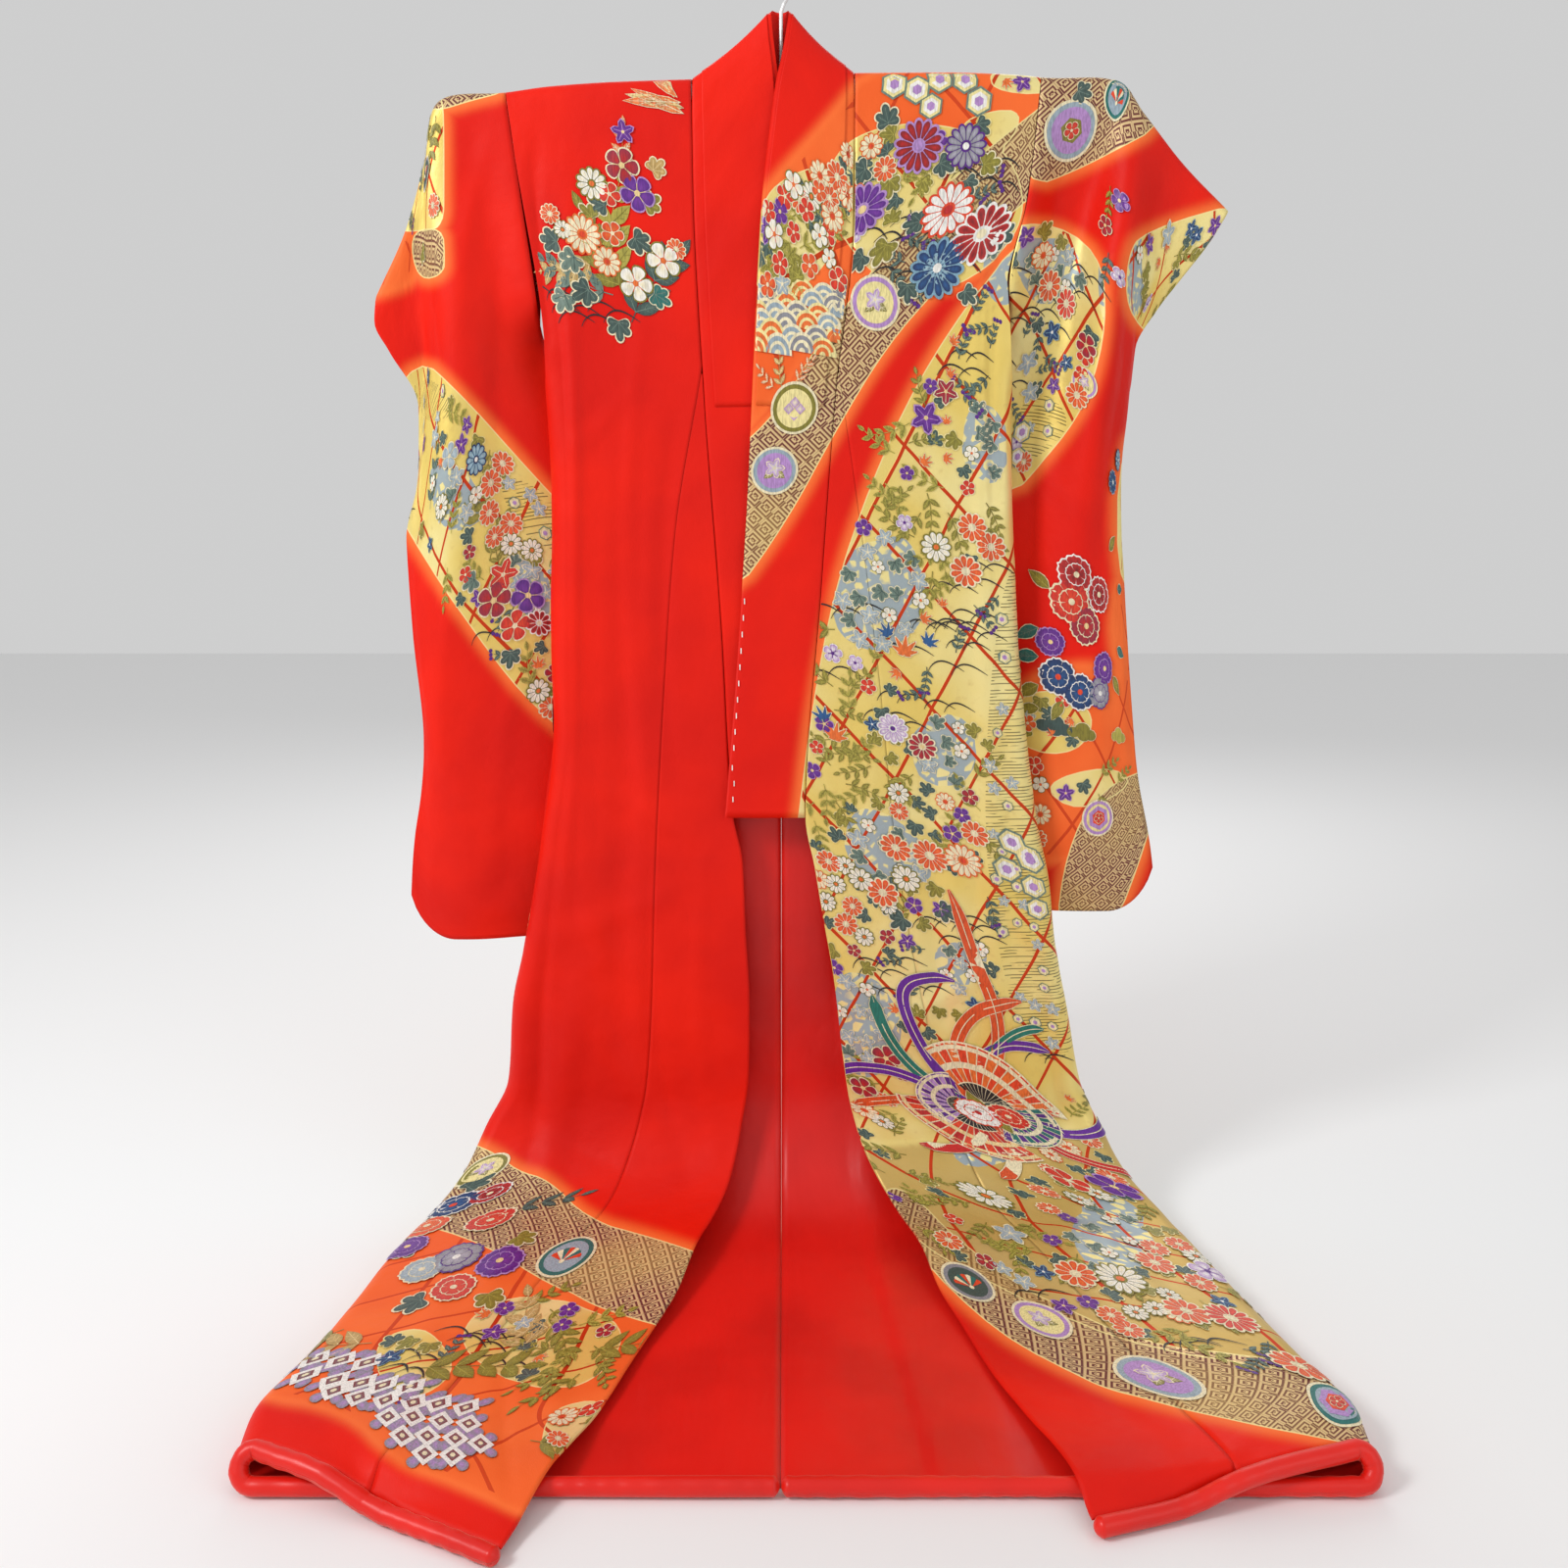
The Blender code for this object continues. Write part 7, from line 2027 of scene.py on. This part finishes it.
# given from the centre seam outwards
BACK_MOTIFS = {
    LEFT: motif_rows("""
        peony: 150 210 42 0.1 red, 190 242 36 0.5 snow, 118 250 34 0.9 orange;
        lobed: 96 214 30 3.2 slate, 204 200 30 -0.6 olive;
        mum: 222 282 26 0.3 violet;
        sprig: 130 300 90 1.4 olive;
        roundel flower: 84 350 36 0.2 pearl;
        roundel fan: 236 430 38 0 teal;
        peony: 96 540 44 0.2 indigo, 136 574 34 0.6 scarlet;
        lobed: 150 536 30 -0.4 slate;
        sprig: 110 610 90 2 light;
        mum: 222 640 34 0.1 plum;
        roundel hexagon: 170 730 40 0.3 rose;
        peony: 214 850 46 0 red, 254 888 38 0.7 violet;
        lobed: 176 884 34 2.6 olive;
        sprig: 250 930 110 1.7 olive;
        mum: 110 960 36 0.1 snow;
        peony: 110 1160 50 0.2 scarlet, 162 1196 42 0.8 indigo;
        lobed: 66 1190 36 2.4 slate;
        roundel fan: 250 1176 38 0 steel""", 800, LEFT),
    RIGHT: motif_rows("""
        mum: 128 176 38 0.1 violet, 170 206 42 0.5 scarlet, 120 240 36 0.9 blue, 186 258 34 0.9 snow;
        lobed: 84 204 30 3 slate, 206 176 30 -0.8 olive, 148 292 30 1.4 slate;
        sprig: 170 300 84 0.9 slate;
        roundel fan: 66 440 38 0 steel;
        mum: 196 470 30 0.2 orange, 232 500 26 0.2 cream;
        roundel hexagon: 226 690 40 0.3 rose;
        peony: 84 700 40 0.2 scarlet;
        sprig: 96 750 100 1.1 olive;
        mum: 70 900 38 0.3 orange, 112 930 32 0.3 cream;
        lobed: 60 950 32 2 slate;
        roundel flower: 190 1010 38 0.1 moss;
        peony: 60 1130 44 0.7 violet, 108 1166 40 0.2 snow;
        lobed: 130 1120 34 -0.5 olive;
        mum: 246 1150 38 0.1 red""", 800, RIGHT),
}


def sleeve_art(side, tag, surface):
    """Motifs of a sleeve: the front's own, and the same again on its back."""
    a, w = np.meshgrid(np.linspace(0.003, SLEEVE_WIDTH - 0.003, 60),
                       np.linspace(0.012, SLEEVE_DROP - 0.008, 170))
    spots = np.stack([a.ravel(), w.ravel()], -1)
    places = sleeve_drawn(side, spots[:, 0], spots[:, 1])
    art = Ornament()
    fields = zone_fields(SLEEVE_ZONES[side], places)
    behind = spots * [1.0, -1.0]
    scatter(art, spots, places, fields, 0.0205, 37 + side)
    scatter(art, behind, places, fields, 0.0225, 41 + side)
    for layer in (spots, behind):
        draw_rows(art, SLEEVE_MOTIFS[side], nearest_spot(layer, places))
    return lay_art(art, "motifs_sleeve_" + tag, surface)


def collar_art(side, tag):
    """Motifs of one side of the collar: wave scales, small flowers, the table's rows and white stitches."""
    v, mid, normals = collar_rows(side, COLLAR_END, COLLAR_SHARES)
    surface = collar_surface(side, v, mid, normals)
    art = Ornament()
    fine_v, fine_t = np.meshgrid(np.linspace(0.0, COLLAR_END - 0.004, 170), np.linspace(0.04, 0.96, 24),
                                 indexing="ij")
    spots = np.stack([fine_v.ravel(), fine_t.ravel()], -1)
    points, _ = surface(spots, 0 * spots, np.zeros(len(spots)))
    places = drawn(points)
    find = nearest_spot(spots, places)
    rows = 0
    for y in range(306, 372, 11):
        for k in range(5):
            x = 774 + 23 * k + 11.5 * (rows % 2) - 0.25 * (y - 306)
            spot = find((x, y))
            if ((places - (x, y)) ** 2).sum(1).min() < 60:
                tints = ((CREAM, MIST), (CREAM, GREY), (PALE_GOLD, TANGERINE))[(k + rows) % 3]
                wave_scale(art, spot, 0.0175, tints, 2 + 0.9 * rows)
        rows += 1
    scatter(art, spots, places, zone_fields(BODY_ZONES[side], places), 0.0150, 53)
    draw_rows(art, COLLAR_MOTIFS, find)
    for y in range(612, 832, 17):
        art.strip(find((752 - 0.02 * (y - 600), y)), [[0.0, -0.0035], [0.0006, 0.0035]], 0.0007, WHITE, 2)
    return lay_art(art, "motifs_collar_" + tag, surface)


def padded_roll(side, tag):
    """Padded hem: a round roll along its path, puckered by its stitches, closed to a point at both ends."""
    path = np.array(roll_path(side))
    along = np.concatenate([[0], np.cumsum(np.linalg.norm(np.diff(path, axis=0), axis=1))])
    t = np.linspace(0, along[-1], 420)
    centre = np.stack([np.interp(t, along, path[:, k]) for k in range(3)], -1)
    step = np.gradient(centre, axis=0)
    step /= np.linalg.norm(step, axis=1, keepdims=True)
    side_way = np.cross(step, [0.0, 0.0, 1.0])
    side_way /= np.linalg.norm(side_way, axis=1, keepdims=True)
    angle = np.linspace(0, 2 * np.pi, 24, endpoint=False)
    ridge = np.cos(angle + 0.6) ** 2
    gather = np.sin(t / 0.0042 + 2.4 * np.sin(t / 0.031))[:, None]
    pucker = 0.045 * gather * ridge + 0.035 * np.sin(t / 0.047)[:, None]
    closing = np.sqrt(np.clip(np.minimum(t, t[-1] - t) / 0.006, 0.02, 1.0))[:, None]
    radius = (ROLL_RADIUS - 0.0003) * (0.93 + pucker * 0.85) * closing
    outwards = np.cross(side_way, step)[:, None]
    round_it = np.cos(angle)[None, :, None] * side_way[:, None] + np.sin(angle)[None, :, None] * outwards
    ring = centre[:, None] + radius[..., None] * round_it
    verts = ring.reshape(-1, 3)
    count = len(angle)
    faces = grid_faces(len(t), count, False, True).tolist()
    faces += [list(range(count))[::-1], list(range((len(t) - 1) * count, len(t) * count))]
    a, b, c = (verts[faces[0][k]] for k in range(3))
    if np.cross(b - a, c - a) @ (a - centre[0]) < 0:
        faces = [f[::-1] for f in faces]
    uv = np.stack(np.broadcast_arrays(angle[None, :] * 0.011, t[:, None]), -1)
    obj = make_mesh("silk_hem_roll_" + tag, verts, faces, [roll_silk], None, uv.reshape(-1, 2))
    place_piece(obj, "hem_roll_" + tag)


for tag, side, slot in SIDES:
    art = body_art(side, tag)
    build_body(side, tag, [silk, under_silk])
    build_overlap(side, tag, [silk, under_silk])
    build_lining(side, tag, [under_silk, under_silk])
    build_sleeve(side, tag, [silk, under_silk])
    padded_roll(side, tag)

top, under, uv, fields = collar_band(COLLAR_END, COLLAR_SHARES, -COLLAR_HALF, COLLAR_HALF)
collar = wall("silk_collar", top, under, [silk, silk], uv, fields)
place_piece(collar, "collar")
collar_pieces = [collar_art(LEFT, "left")]
declare_cloth(0.5 * (top + under))
level = np.full(len(COVER_SHARES), COLLAR_WALL / 2 + SEAM)
top, under, uv, fields = collar_band(COVER_END, COVER_SHARES, level, level + COVER_WALL)
cover = wall("silk_over_collar", top, under, [silk, silk], uv, fields)
place_piece(cover, "over_collar")
declare_cloth(0.5 * (top + under))

# ------------------------------------------------------------------ hanger
bar_finish = hard_finish("moulded_bar", (0.80, 0.78, 0.74), 0.42, 0.0)
wire_finish = hard_finish("enamelled_wire", (0.82, 0.82, 0.81), 0.30, 0.15)
for node, finish in (("hanger_bar", bar_finish), ("hanger_boss", bar_finish), ("hanger_hook", wire_finish)):
    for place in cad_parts[node].material_slots:
        place.material = finish

# ------------------------------------------------------------------ floor, light and camera
FLOOR_HALF = 6.0
UNDER_HEM = FLOOR_Z - 0.0002
floor_mesh = bpy.data.meshes.new("floor")
floor_corners = [(x * FLOOR_HALF, y * FLOOR_HALF, UNDER_HEM) for x, y in ((-1, -1), (1, -1), (1, 1), (-1, 1))]
floor_mesh.from_pydata(floor_corners, [], [(0, 1, 2, 3)])
floor = bpy.data.objects.new("floor", floor_mesh)
bpy.context.scene.collection.objects.link(floor)
floor_mesh.materials.append(Paint("pale_floor").finish(Base_Color=(0.86, 0.86, 0.86), Roughness=0.9))

world = bpy.data.worlds.new("studio")
bpy.context.scene.world = world
world.use_nodes = True
world.node_tree.nodes["Background"].inputs["Color"].default_value = (1.0, 1.0, 1.0, 1.0)
world.node_tree.nodes["Background"].inputs["Strength"].default_value = 0.62


def soft_light(name, place, aim, size, power):
    """Square soft light at place, turned towards aim."""
    data = bpy.data.lights.new(name, "AREA")
    data.size, data.energy = size, power
    obj = bpy.data.objects.new(name, data)
    direction = np.asarray(aim, float) - np.asarray(place, float)
    obj.location = place
    obj.rotation_euler = (math.acos(-direction[2] / np.linalg.norm(direction)), 0.0,
                          math.atan2(direction[1], direction[0]) - math.pi / 2)
    bpy.context.scene.collection.objects.link(obj)


soft_light("key", (-2.4, -1.9, 1.1), (0.0, 0.0, -0.8), 0.9, 62.0)
soft_light("fill", (2.2, -2.4, 0.2), (0.0, 0.0, -0.8), 1.8, 10.0)
soft_light("back", (0.3, 2.4, 0.8), (0.0, 0.0, -0.7), 1.8, 26.0)

bpy.context.scene.view_settings.view_transform = "Standard"
eye = bpy.data.cameras.new("camera")
eye.lens, eye.sensor_width = 36.0, 36.0
camera = bpy.data.objects.new("camera", eye)
camera.location = CAMERA_AT.tolist()
camera.rotation_euler = (math.pi / 2 - CAMERA_DOWN, 0.0, 0.0)
bpy.context.scene.collection.objects.link(camera)
bpy.context.scene.camera = camera
